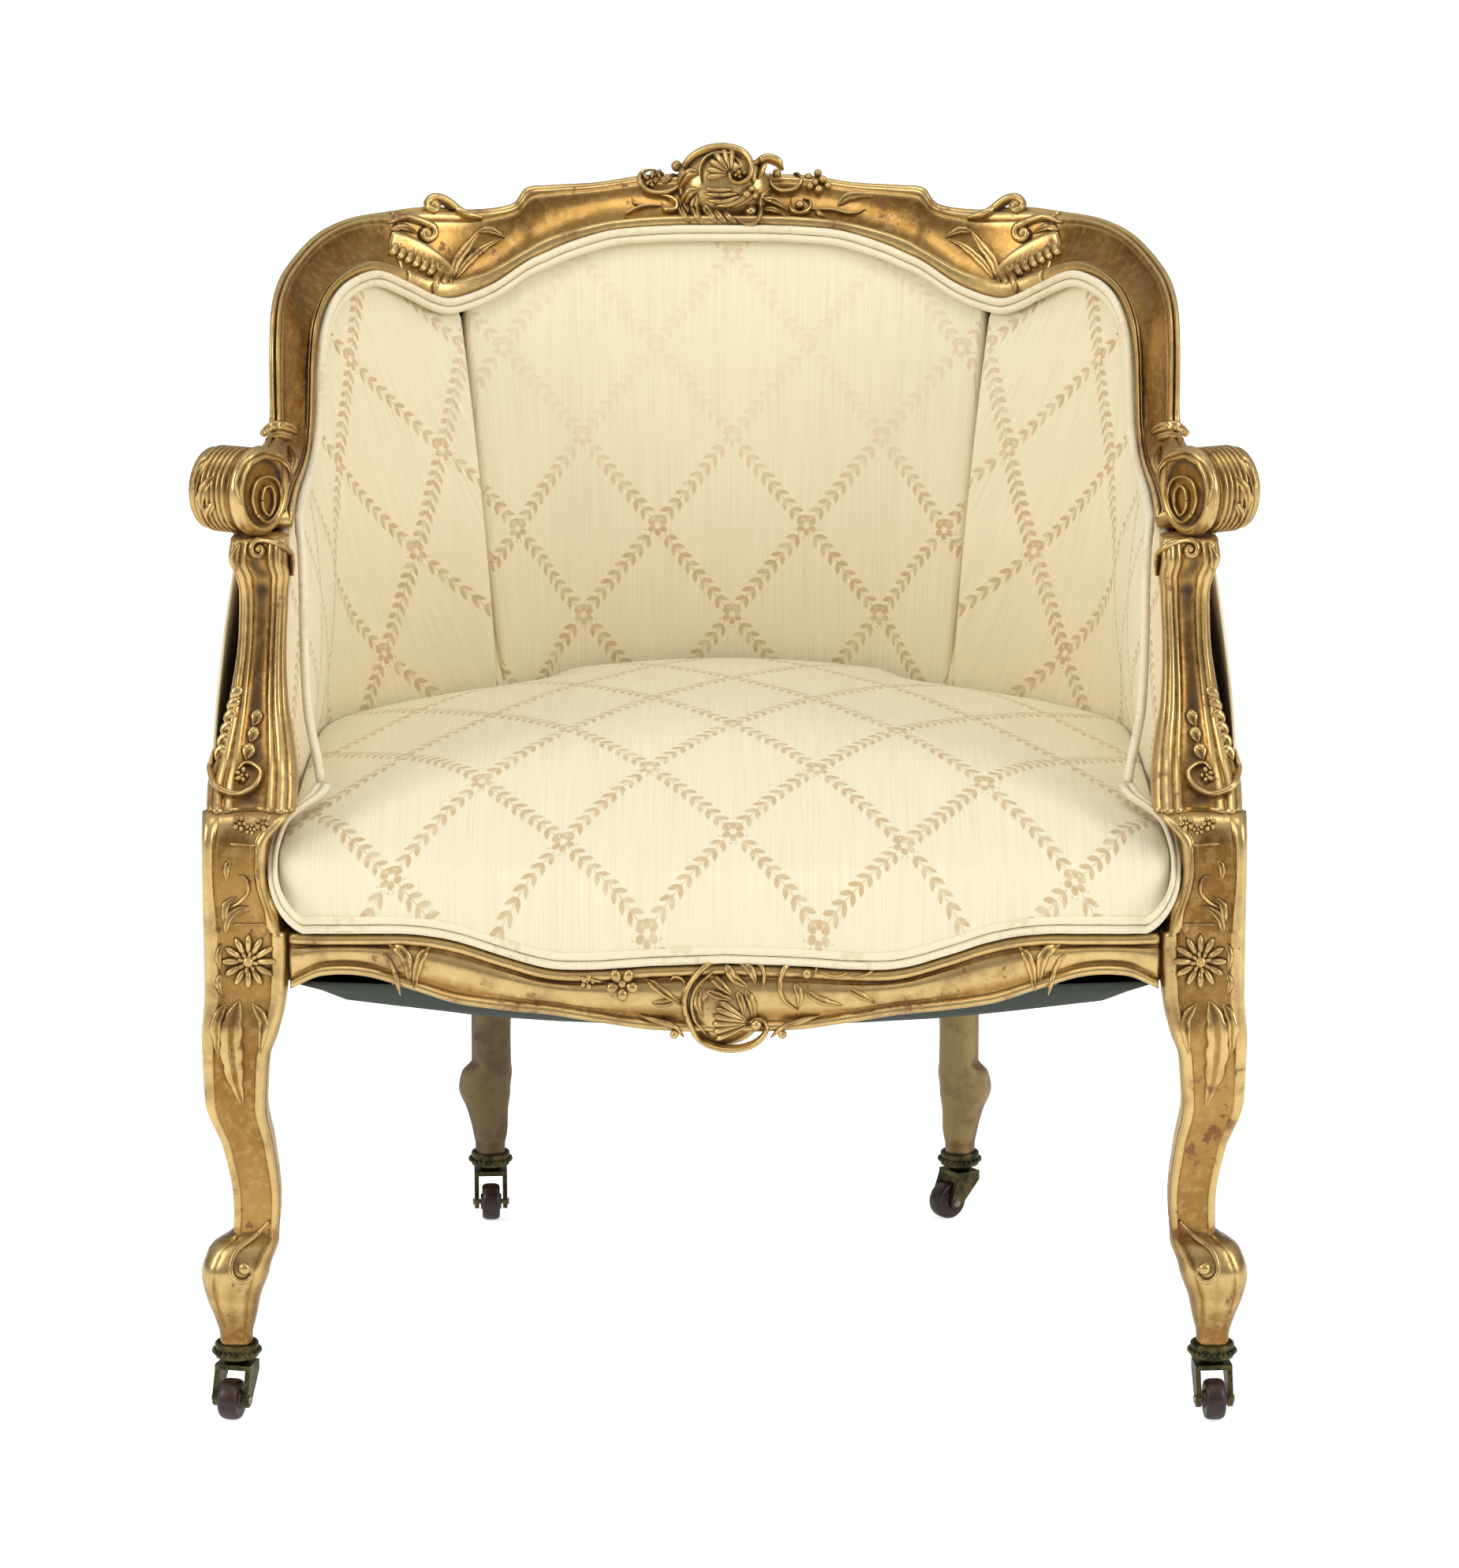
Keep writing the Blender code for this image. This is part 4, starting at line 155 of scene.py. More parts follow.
# Half of a leg's section from its front round to its back, with beads at the front corners
LEG_SECTION = (
    (0, -.84), (.2, -.845), (.38, -.865), (.5, -.9), (.56, -.885), (.6, -.93), (.67, -1.0),
    (.76, -1.02), (.85, -.99), (.91, -.91), (.93, -.83), (.9, -.77), (.9, -.72), (.95, -.66),
    (.98, -.55), (.97, -.44), (.92, -.38), (.92, -.2), (.93, .1), (.93, .4), (.9, .65), (.8, .84),
    (.6, .95), (.3, .98), (0, .98))
# Half of a scroll leg's section lower down, rounder
SOFT_SECTION = (
    (0, -.98), (.2, -.975), (.38, -.95), (.5, -.9), (.56, -.87), (.6, -.865), (.67, -.83),
    (.74, -.77), (.8, -.69), (.85, -.6), (.89, -.52), (.92, -.44), (.94, -.36), (.955, -.28),
    (.965, -.2), (.97, -.12), (.97, -.04), (.965, .1), (.94, .3), (.9, .48), (.82, .66), (.7, .8),
    (.52, .91), (.28, .97), (0, .98))
# Section of an arm stump, from its outer side across the front to its inner side
STUMP_SECTION = (
    (-.93, .3), (-.97, 0), (-.98, -.3), (-.95, -.5), (-.9, -.56), (-.93, -.66), (-.9, -.78),
    (-.83, -.82), (-.8, -.84), (-.8, -.93), (-.73, -1.0), (-.64, -.98), (-.6, -.9), (-.55, -.9),
    (-.5, -.93), (-.42, -.91), (-.36, -.84), (-.28, -.76), (-.16, -.70), (0, -.68), (.14, -.71),
    (.26, -.77), (.34, -.85), (.4, -.92), (.47, -.93), (.5, -.88), (.54, -.9), (.6, -1.0),
    (.69, -1.02), (.77, -.96), (.8, -.88), (.84, -.9), (.92, -.84), (.95, -.72), (.92, -.6),
    (.94, -.4), (.96, -.1), (.93, .3), (.8, .8), (.5, .96), (0, .98), (-.5, .96), (-.8, .8))


# Tables, plans and the guide surfaces of the chair

def blend(start, leave, end, arrive, part):
    """Cubic from a start to an end, with the slopes at which it leaves and arrives."""
    square, cube = part ** 2, part ** 3
    return (start * (2 * cube - 3 * square + 1) + leave * (cube - 2 * square + part)
            + end * (3 * square - 2 * cube) + arrive * (cube - square))


def read_rows(rows, places):
    """Smooth values of a table at places counted in rows."""
    rows = np.asarray(rows, float)
    places = np.clip(np.atleast_1d(np.asarray(places, float)), 0.0, len(rows) - 1.0)
    low = np.minimum(places.astype(int), len(rows) - 2)
    part = (places - low)[:, None]
    start, end = rows[low], rows[low + 1]
    before, after = rows[np.maximum(low - 1, 0)], rows[np.minimum(low + 2, len(rows) - 1)]
    leave = np.where((low > 0)[:, None], (end - before) / 2, end - start)
    arrive = np.where((low + 2 < len(rows))[:, None], (after - start) / 2, end - start)
    return blend(start, leave, end, arrive, part)


def flow(rows, places):
    """Smooth values of a table led by its first column, without overshoot."""
    rows = np.asarray(sorted(rows), float)
    keys, values = rows[:, 0], rows[:, 1:]
    step = np.diff(keys)[:, None]
    secant = np.diff(values, axis=0) / step
    slope = np.zeros_like(values)
    total = secant[1:] + secant[:-1]
    product = secant[1:] * secant[:-1]
    slope[1:-1] = np.where(product > 0, 2 * product / np.where(total == 0, 1, total), 0)
    slope[0], slope[-1] = secant[0], secant[-1]
    places = np.clip(np.atleast_1d(places), keys[0], keys[-1])
    low = np.clip(np.searchsorted(keys, places) - 1, 0, len(keys) - 2)
    span = step[low]
    part = ((places - keys[low])[:, None]) / span
    return blend(values[low], slope[low] * span, values[low + 1], slope[low + 1] * span, part)


def unit(vectors):
    length = np.linalg.norm(vectors, axis=-1, keepdims=True)
    return vectors / np.where(length == 0, 1, length)


def summed(steps):
    """Sums of steps, from 0 up to the end of each."""
    return np.concatenate(((0,), np.cumsum(steps)))


def run_along(points):
    """Length of a path up to each of its points."""
    return summed(np.linalg.norm(np.diff(points, axis=0), axis=1))


def mirrored(half):
    """Whole section or outline from its half, mirrored about its middle."""
    half = np.asarray(half, float)
    other = half[-2:0:-1].copy()
    other[:, 0] *= -1
    return np.concatenate((half, other))


class Plan:
    """A tub's plan by share of its length, mirrored for negative shares."""

    SAMPLES = 160
    PROBE = .004

    def __init__(self, half_width, back, turn, front, flare, exponent):
        angle = np.linspace(0, math.pi / 2, self.SAMPLES + 1)
        power = 2 / exponent
        across = half_width * np.sin(angle) ** power
        along = turn + (back - turn) * np.maximum(np.cos(angle), 0) ** power
        part = np.arange(1, self.SAMPLES + 1) / self.SAMPLES
        self.x = np.concatenate((across, half_width + flare * part ** 2))
        self.y = np.concatenate((along, turn + (front - turn) * part))
        self.lengths = summed(np.hypot(np.diff(self.x), np.diff(self.y)))
        self.total = self.lengths[-1]

    def at(self, share, height=0.0):
        share = np.atleast_1d(np.asarray(share, float))
        want = np.abs(share) * self.total
        side = np.where(share < 0, -1.0, 1.0)
        x = np.interp(want, self.lengths, self.x) * side
        y = np.interp(want, self.lengths, self.y)
        over = np.maximum(want - self.total, 0)
        return np.stack((x, y - over, np.broadcast_to(height, x.shape)), axis=-1)

    def normal(self, share):
        share = np.atleast_1d(np.asarray(share, float))
        along = self.at(share + self.PROBE) - self.at(share - self.PROBE)
        return unit(np.stack((-along[:, 1], along[:, 0], 0 * along[:, 0]), axis=-1))


class Form:
    """Guide surfaces that the pieces share."""

    def __init__(self, sizes):
        self.sizes = sizes
        run, front, power = sizes.top_run_start, -sizes.arm_front, sizes.top_exponent
        self.seat = Plan(sizes.seat_half_width, sizes.seat_depth, turn=0.0, front=-.2357,
                         flare=-.020, exponent=sizes.seat_exponent)
        self.top = Plan(sizes.top_half_width, sizes.top_depth, run, front, .008, power)
        self.opening = Plan(sizes.opening_half_width, sizes.opening_depth, run, front, -.006, power)
        self.well = Plan(sizes.well_half_width, sizes.well_depth, run, front, -.003, power)

    def shares(self, stations):
        return read_rows(RAIL_SHARES, np.abs(stations))

    def rail_frame(self, stations):
        """Inner guide point of the rail with the vectors across and up its section."""
        stations = np.atleast_1d(np.asarray(stations, float))
        side = np.where(stations < 0, -1.0, 1.0)
        outer_share, height_share, inner_share, depth_share = self.shares(stations).T
        height = self.sizes.arm_top + height_share * self.sizes.crest_height
        outer = self.top.at(outer_share, height)
        inner = self.opening.at(inner_share, height - depth_share * self.sizes.rail_depth)
        outward = self.opening.normal(inner_share)
        line = outer - inner
        across = outward * np.sum(line * outward, axis=1)[:, None]
        up = line - across
        for vectors in (inner, across, up):
            vectors[:, 0] *= side
        return inner, across, up

    def rail_point(self, stations, across_share, up_share):
        inner, across, up = self.rail_frame(stations)
        return inner + across * across_share + up * up_share

    def rail_rings(self, stations, profile):
        inner, across, up = self.rail_frame(stations)
        profile = np.asarray(profile)
        return (inner[:, None] + across[:, None] * profile[None, :, :1]
                + up[:, None] * profile[None, :, 1:])

    def well_share(self, stations):
        sizes = self.sizes
        near = np.maximum(1 - np.abs(np.abs(stations) - sizes.seam_station) / 3.0, 0)
        share = self.shares(stations)[:, 2] - sizes.seam_lean * near
        return share * np.where(np.asarray(stations) < 0, -1, 1)

    def seat_edge(self, stations):
        part = np.minimum(np.abs(stations) / 12.0, 1)
        rise = np.cos(part * math.pi / 2) ** 2
        low, high = self.sizes.seat_side_edge, self.sizes.seat_back_edge
        return low + (high - low) * rise

    def front_face(self, across):
        """Depth of the front rail's face, its lower edge and its lip."""
        share = np.minimum(np.abs(across) / self.sizes.front_rail_half, 1)
        rows = np.asarray(FRONT_RAIL_ROWS)
        places = np.interp(share, rows[:, 0], np.arange(len(rows)))
        bow, lower, lip = read_rows(rows[:, 1:], places).T
        return -.292 - .020 * bow, lower, lip


# Meshes

def sweep(rings, around=True, ends=True, uvs=None):
    """Grid laid through rings of equal count, welded round and filled at its ends."""
    rings = np.asarray(rings, float)
    rows, count = rings.shape[:2]
    columns = count + 1 if around else count
    bm = bmesh.new()
    verts = bmesh.ops.create_grid(bm, x_segments=columns - 1, y_segments=rows - 1, size=1)["verts"]
    for index, vert in enumerate(verts):
        row, column = divmod(index, columns)
        vert.co = rings[row, column % count]
        vert.index = index
    if uvs is not None:
        layer = bm.loops.layers.uv.new("cloth")
        flat = np.asarray(uvs, float).reshape(-1, 2)
        for face in bm.faces:
            for loop in face.loops:
                loop[layer].uv = flat[loop.vert.index]
    if around:
        bmesh.ops.weld_verts(bm, targetmap={
            verts[row * columns + count]: verts[row * columns] for row in range(rows)})
    if ends and around:
        open_edges = [edge for edge in bm.edges if edge.is_boundary]
        if open_edges:
            bmesh.ops.edgeloop_fill(bm, edges=open_edges)
    bmesh.ops.recalc_face_normals(bm, faces=bm.faces)
    return bm


def lathe(profile, steps):
    """Closed turning round Z from a profile of radius and height."""
    bm = bmesh.new()
    verts = [bm.verts.new((radius, 0, height)) for radius, height in profile]
    edges = [bm.edges.new(pair) for pair in zip(verts, verts[1:])]
    bmesh.ops.spin(bm, geom=verts + edges, axis=Z_AXIS, cent=(0, 0, 0), steps=steps,
                   angle=2 * math.pi, use_merge=True)
    bmesh.ops.remove_doubles(bm, verts=bm.verts, dist=1e-6)
    bmesh.ops.recalc_face_normals(bm, faces=bm.faces)
    return bm


def join(target, source, matrix=None):
    """Add one bmesh's shape to another, and free it."""
    if matrix is not None:
        bmesh.ops.transform(source, matrix=matrix, verts=source.verts)
        if matrix.determinant() < 0:
            bmesh.ops.reverse_faces(source, faces=source.faces)
    mesh = bpy.data.meshes.new("part")
    source.to_mesh(mesh)
    source.free()
    target.from_mesh(mesh)
    bpy.data.meshes.remove(mesh)


def flipped(bm):
    other = bm.copy()
    bmesh.ops.transform(other, matrix=Matrix.Diagonal((-1, 1, 1, 1)), verts=other.verts)
    bmesh.ops.reverse_faces(other, faces=other.faces)
    return other


def vertex_places(mesh):
    places = np.empty(len(mesh.vertices) * 3)
    mesh.vertices.foreach_get("co", places)
    return places.reshape(-1, 3)


# Depth of a hollow that counts as full, and how often its surroundings are smoothed
HOLLOW_DEPTH = .0016
HOLLOW_PASSES = 3


# The gilt reads this attribute for painted shade in hollows and a painted highlight on high places
def hollows(mesh):
    """Point attribute with how far each place lies below its surroundings, 0.5 where level."""
    count = len(mesh.vertices)
    places = vertex_places(mesh)
    normals = np.empty(count * 3)
    mesh.vertex_normals.foreach_get("vector", normals)
    normals = normals.reshape(-1, 3)
    pairs = np.empty(len(mesh.edges) * 2, int)
    mesh.edges.foreach_get("vertices", pairs)
    first, second = pairs.reshape(-1, 2).T
    degree = np.maximum(np.bincount(pairs, minlength=count), 1)

    def spread_out(values):
        total = np.zeros_like(values)
        np.add.at(total, first, values[second])
        np.add.at(total, second, values[first])
        return total / (degree[:, None] if values.ndim > 1 else degree)

    smooth = places
    for _ in range(HOLLOW_PASSES):
        smooth = spread_out(smooth)
    rise = np.sum((smooth - places) * normals, axis=1)
    rise = .5 * rise + .5 * spread_out(rise)
    attribute = mesh.attributes.new("hollow", "FLOAT", "POINT")
    share = np.clip(.5 + rise / HOLLOW_DEPTH, 0, 1)
    attribute.data.foreach_set("value", share.astype(np.float32))


def add_piece(name, bm, look, body="chair", nodes=(), carved=False):
    """Object with its place in its mesh, riding a body of the frame."""
    mesh = bpy.data.meshes.new(name)
    bm.to_mesh(mesh)
    bm.free()
    mesh.shade_smooth()
    mesh.materials.append(look)
    if carved:
        hollows(mesh)
    piece = bpy.data.objects.new(name, mesh)
    bpy.context.scene.collection.objects.link(piece)
    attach(piece, body)
    if nodes:
        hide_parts(*nodes)
    return piece


# The photograph's camera, and shapes laid where it sees them

CAMERA_PLACE = np.array((.0035, -3.747, 1.159))
CAMERA_PITCH = math.radians(11.44)
PICTURE_SIZE = (1850, 1988)
PICTURE_FOCUS = 6594.0


def camera_rays(points):
    """Directions from the camera through points of the photograph."""
    points = np.atleast_2d(np.asarray(points, float))
    sine, cosine = math.sin(CAMERA_PITCH), math.cos(CAMERA_PITCH)
    right = (points[:, 0] - PICTURE_SIZE[0] / 2) / PICTURE_FOCUS
    rise = (PICTURE_SIZE[1] / 2 - points[:, 1]) / PICTURE_FOCUS
    return np.stack((right, cosine + rise * sine, rise * cosine - sine), axis=-1)


def curve(points, steps):
    """Smooth run through points, evenly spaced along its length."""
    points = np.asarray(points, float)
    if len(points) == 2:
        fine = np.linspace(0, 1, 24)[:, None] * (points[1] - points[0]) + points[0]
    else:
        fine = read_rows(points, np.linspace(0, len(points) - 1, 12 * len(points)))
    lengths = run_along(fine)
    want = np.linspace(0, lengths[-1], steps + 1)
    return np.stack([np.interp(want, lengths, column) for column in fine.T], axis=-1)


def curled(points, radius, turns, side):
    """A run carried on into a spiral that closes to one side."""
    points = [np.asarray(point, float) for point in points]
    heading = points[-1] - points[-2]
    heading /= np.linalg.norm(heading)
    centre = points[-1] + side * radius * np.array((-heading[1], heading[0]))
    arm = points[-1] - centre
    start = math.atan2(arm[1], arm[0])
    count = max(int(turns * 8), 3)
    for index in range(1, count + 1):
        part = index / count
        angle = start + side * 2 * math.pi * turns * part
        reach = radius * (1 - .72 * part)
        points.append(centre + reach * np.array((math.cos(angle), math.sin(angle))))
    return points, centre


class Carving:
    """Raised shapes laid on a ground at places of the photograph, gathered in one mesh."""

    # How far one stroke's depths may spread, how much it leans towards the ground's way out,
    # and how far its skirt goes into the ground
    REACH = .045
    TILT = .35
    SKIRT = .0008

    def __init__(self, grounds):
        self.bm = bmesh.new()
        self.trees = [BVHTree.FromBMesh(ground) if isinstance(ground, bmesh.types.BMesh)
                      else BVHTree.FromPolygons([v.co[:] for v in ground.data.vertices],
                                                [p.vertices[:] for p in ground.data.polygons])
                      for ground in grounds]

    def cast(self, points):
        """Headings, depths and ways out of the nearest ground under points of the photograph."""
        headings = unit(camera_rays(points))
        depths, outs = np.full(len(headings), math.nan), -headings
        for index, heading in enumerate(headings):
            for tree in self.trees:
                place, normal, _, depth = tree.ray_cast(Vector(CAMERA_PLACE), Vector(heading))
                if place is not None and not depth >= depths[index]:
                    depths[index], outs[index] = depth, normal
        return headings, depths, outs

    def beside(self, point):
        """Depth and way out of the ground closest beside a point that misses it."""
        angle = np.linspace(0, 2 * math.pi, 16, endpoint=False)
        for reach in range(3, 60, 3):
            ring = point + reach * np.stack((np.cos(angle), np.sin(angle)), axis=-1)
            _, depths, outs = self.cast(ring)
            if not np.isnan(depths).all():
                nearest = int(np.nanargmin(depths))
                return depths[nearest], outs[nearest]
        raise RuntimeError(f"No ground of the carving near {point}")

    def land(self, points, passes=3):
        """Places on the ground under points of the photograph, with the way out of it."""
        headings, depths, outs = self.cast(points)
        known = ~np.isnan(depths)
        if not known.any():
            depths[0], outs[0] = self.beside(np.mean(points, axis=0))
            known[0] = True
        known &= np.abs(depths - np.median(depths[known])) < self.REACH
        index = np.arange(len(depths))
        depths = np.interp(index, index[known], depths[known])
        outs = np.stack([np.interp(index, index[known], column) for column in outs[known].T],
                        axis=-1)
        for _ in range(passes if len(depths) > 2 else 0):
            depths[1:-1] = (depths[:-2] + 2 * depths[1:-1] + depths[2:]) / 4
            outs[1:-1] = (outs[:-2] + 2 * outs[1:-1] + outs[2:]) / 4
        places = CAMERA_PLACE + headings * depths[:, None]
        outs = unit(-headings * (1 - self.TILT) + outs * self.TILT)
        return places, outs, depths / PICTURE_FOCUS

    def ridge(self, points, width, height, start=.35, end=.35, blunt=.12, lobes=0, vein=0.0,
              steps=None):
        """Closed ridge along a run: width and height in picture points, thinned at its ends."""
        points = np.asarray(points, float)
        length = np.sum(np.linalg.norm(np.diff(points, axis=0), axis=1))
        steps = steps or int(min(max(length / 3, 6), 44))
        run = curve(points, steps)
        places, outs, scale = self.land(run)
        scale = np.mean(scale)
        part = np.linspace(0, 1, steps + 1)
        taper = np.ones(steps + 1)
        for reach, share in ((start, part), (end, 1 - part)):
            if reach:
                rise = np.sin(np.clip(share / reach, 0, 1) * math.pi / 2)
                taper *= np.clip(blunt + (1 - blunt) * rise, 0, 1)
        widths = width / 2 * scale * taper
        if lobes:
            widths *= .78 + .22 * np.abs(np.sin(part * math.pi * lobes)) ** .6
        heights = height * scale * (.25 + .75 * taper)
        along = unit(np.gradient(places, axis=0))
        outs = unit(outs - along * np.sum(outs * along, axis=1)[:, None])
        across = np.cross(along, outs)
        angle = np.linspace(0, math.pi, 9 if vein or width > 9 else 7)
        shape = np.sin(angle) ** .8 * (1 - vein * np.exp(-(np.cos(angle) / .22) ** 2))
        rings = []
        for place, out, side, wide, high in zip(places, outs, across, widths, heights):
            ring = [place + side * wide * c + out * high * s for c, s in zip(np.cos(angle), shape)]
            under = out * (high * .5 + self.SKIRT)
            ring += [place - side * wide * .8 - under, place + side * wide * .8 - under]
            rings.append(ring)
        join(self.bm, sweep(rings))

    def carve(self, shapes):
        """Lay a table of shapes: the kind of each, then its settings."""
        for kind, *settings in shapes:
            getattr(self, kind)(*settings)

    def scroll(self, points, radius, turns, side, width, height, eye=0.0):
        run, centre = curled(points, radius, turns, side)
        self.ridge(run, width, height, start=.3, end=.25, blunt=.35)
        if eye:
            self.ball(centre, eye, height * .9)

    def leaf(self, points, width, height, lobes=3):
        self.ridge(points, width, height, start=.3, end=.55, lobes=lobes, vein=.45)

    def ball(self, centre, radius, height):
        places, outs, scale = self.land([centre, centre], passes=0)
        out = Vector(outs[0])
        bm = bmesh.new()
        bmesh.ops.create_uvsphere(bm, u_segments=10, v_segments=6, radius=1)
        reach = radius * scale[0]
        place = (Matrix.Translation(Vector(places[0]) + out * (height * .35 * scale[0]))
                 @ out.to_track_quat("Z", "Y").to_matrix().to_4x4()
                 @ Matrix.Diagonal((reach, reach, height * .75 * scale[0], 1)))
        join(self.bm, bm, place)

    def flower(self, centre, radius, petals, height, start=0.0, core=.3):
        centre = np.asarray(centre, float)
        for index in range(petals):
            angle = start + 2 * math.pi * index / petals
            heading = np.array((math.cos(angle), math.sin(angle)))
            self.ridge([centre + heading * radius * .22, centre + heading * radius * .62,
                        centre + heading * radius], radius * 3.3 / petals + .6, height,
                       start=.5, end=.3, blunt=.3, steps=6)
        self.ball(centre, radius * core, height * 1.25)

    def fan(self, focus, reach, first, last, count, width, height):
        """Shell of flutes that open out from a focus."""
        focus = np.asarray(focus, float)
        for index in range(count):
            angle = math.radians(first + (last - first) * (index / max(count - 1, 1)))
            heading = np.array((math.cos(angle), math.sin(angle)))
            self.ridge([focus + heading * reach * .16, focus + heading * reach * .6,
                        focus + heading * reach], width, height, start=.95, end=.16, blunt=.2,
                       steps=9)


# Node graphs

def linear(colour):
    """Linear light from a screen tone."""
    return [value / 12.92 if value <= .04045 else ((value + .055) / 1.055) ** 2.4
            for value in colour[:3]] + [1.0]


class Value:
    """Output of a node that takes part in sums."""

    def __init__(self, graph, socket):
        self.graph, self.socket = graph, socket

    def sum(self, operation, *others, clamp=False):
        node = self.graph.nodes.new("ShaderNodeMath")
        node.operation = operation
        node.use_clamp = clamp
        for slot, item in zip(node.inputs, (self, *others)):
            self.graph.feed(slot, item)
        return Value(self.graph, node.outputs[0])

    def __add__(self, other):
        return self.sum("ADD", other)

    def __sub__(self, other):
        return self.sum("SUBTRACT", other)

    def __rsub__(self, other):
        return self.sum("MULTIPLY_ADD", -1.0, other)

    def __mul__(self, other):
        return self.sum("MULTIPLY", other)

    def __truediv__(self, other):
        return self.sum("DIVIDE", other)

    __radd__ = __add__
    __rmul__ = __mul__

    def size(self):
        return self.sum("ABSOLUTE")

    def part(self):
        return self.sum("FRACT")

    def nearest(self):
        return self.sum("ROUND")

    def root(self):
        return self.sum("SQRT")

    def most(self, other):
        return self.sum("MAXIMUM", other)

    def limited(self):
        return self.sum("ADD", 0.0, clamp=True)

    def ramp(self, low, high):
        """0 at or below the low value, 1 at or above the high one, eased between."""
        node = self.graph.nodes.new("ShaderNodeMapRange")
        node.interpolation_type = "SMOOTHSTEP"
        self.graph.feed(node.inputs["Value"], self)
        node.inputs["From Min"].default_value = low
        node.inputs["From Max"].default_value = high
        return Value(self.graph, node.outputs["Result"])


class Graph:
    """Material with a Principled shader and short ways to make its nodes."""

    def __init__(self, name):
        self.material = bpy.data.materials.new(name)
        self.material.use_nodes = True
        self.nodes = self.material.node_tree.nodes
        self.links = self.material.node_tree.links
        self.shader = self.nodes["Principled BSDF"]

    def feed(self, slot, item):
        if isinstance(item, Value):
            self.links.new(item.socket, slot)
        elif isinstance(item, bpy.types.NodeSocket):
            self.links.new(item, slot)
        elif slot.type == "RGBA":
            slot.default_value = linear(item)
        else:
            slot.default_value = item

    def set(self, **values):
        for name, item in values.items():
            label = name.replace("_", " ").title().replace("Ior", "IOR")
            self.feed(self.shader.inputs[label], item)
        return self

    def coordinates(self):
        return self.nodes.new("ShaderNodeTexCoord").outputs["Object"]

    def axes(self, socket):
        node = self.nodes.new("ShaderNodeSeparateXYZ")
        self.links.new(socket, node.inputs[0])
        return [Value(self, output) for output in node.outputs]

    def combine(self, x, y, z=0.0):
        node = self.nodes.new("ShaderNodeCombineXYZ")
        for slot, item in zip(node.inputs, (x, y, z)):
            self.feed(slot, item)
        return node.outputs[0]

    def noise(self, vector, scale, detail=3.0, roughness=.55):
        node = self.nodes.new("ShaderNodeTexNoise")
        self.links.new(vector, node.inputs["Vector"])
        for name, item in (("Scale", scale), ("Detail", detail), ("Roughness", roughness)):
            node.inputs[name].default_value = item
        return Value(self, node.outputs["Fac"])

    def attribute(self, name):
        node = self.nodes.new("ShaderNodeAttribute")
        node.attribute_name = name
        return Value(self, node.outputs["Fac"])

    def occlusion(self, distance):
        node = self.nodes.new("ShaderNodeAmbientOcclusion")
        node.samples = 3
        node.inputs["Distance"].default_value = distance
        return Value(self, node.outputs["AO"])

    def mix(self, factor, first, second):
        node = self.nodes.new("ShaderNodeMix")
        node.data_type = "RGBA"
        self.feed(node.inputs["Factor"], factor)
        colours = [slot for slot in node.inputs if slot.type == "RGBA"]
        self.feed(colours[0], first)
        self.feed(colours[1], second)
        return [slot for slot in node.outputs if slot.type == "RGBA"][0]

    def bump(self, height, strength, distance):
        node = self.nodes.new("ShaderNodeBump")
        self.feed(node.inputs["Height"], height)
        node.inputs["Strength"].default_value = strength
        node.inputs["Distance"].default_value = distance
        self.links.new(node.outputs["Normal"], self.shader.inputs["Normal"])
        return self


def leaf_band(across, down, sizes):
    """How much the leafed stems of the trellis that lean one way cover a place."""
    width, height = sizes.trellis_width, sizes.trellis_height
    slant = math.hypot(width, height)
    count = across / width + down / height
    line = count.nearest()
    aside = ((count - line) / math.hypot(1 / width, 1 / height)).size()
    shift = (width ** 2 - height ** 2) / (2 * slant)
    run = (across * width - down * height) / slant - line * shift
    spacing, margin = slant / 2, sizes.trellis_margin
    reach = (run / spacing).part() * spacing
    pitch = (spacing - 2 * margin) / sizes.trellis_leaves
    cells = (reach - margin) / pitch
    inside = (reach - margin + pitch * .2).ramp(0, .0006) * (
        (spacing - margin + .004) - reach).ramp(0, .0006)
    stem = (.00030 - aside).ramp(-.0002, .0002)
    lean = math.radians(sizes.leaf_lean)
    cosine, sine = math.cos(lean), math.sin(lean)
    leaf = None
    for step in (0.0, 1.0):
        cell = (cells.part() + step) * pitch - .0006
        length = cell * cosine + aside * sine
        wide = (aside * cosine - cell * sine).size()
        mid = (length - sizes.leaf_length / 2) / (sizes.leaf_length / 2)
        lens = (1 - mid * mid) * sizes.leaf_half_width - wide
        shown = lens.ramp(-.0003, .0003)
        leaf = shown if leaf is None else leaf.most(shown)
    return leaf.most(stem) * inside


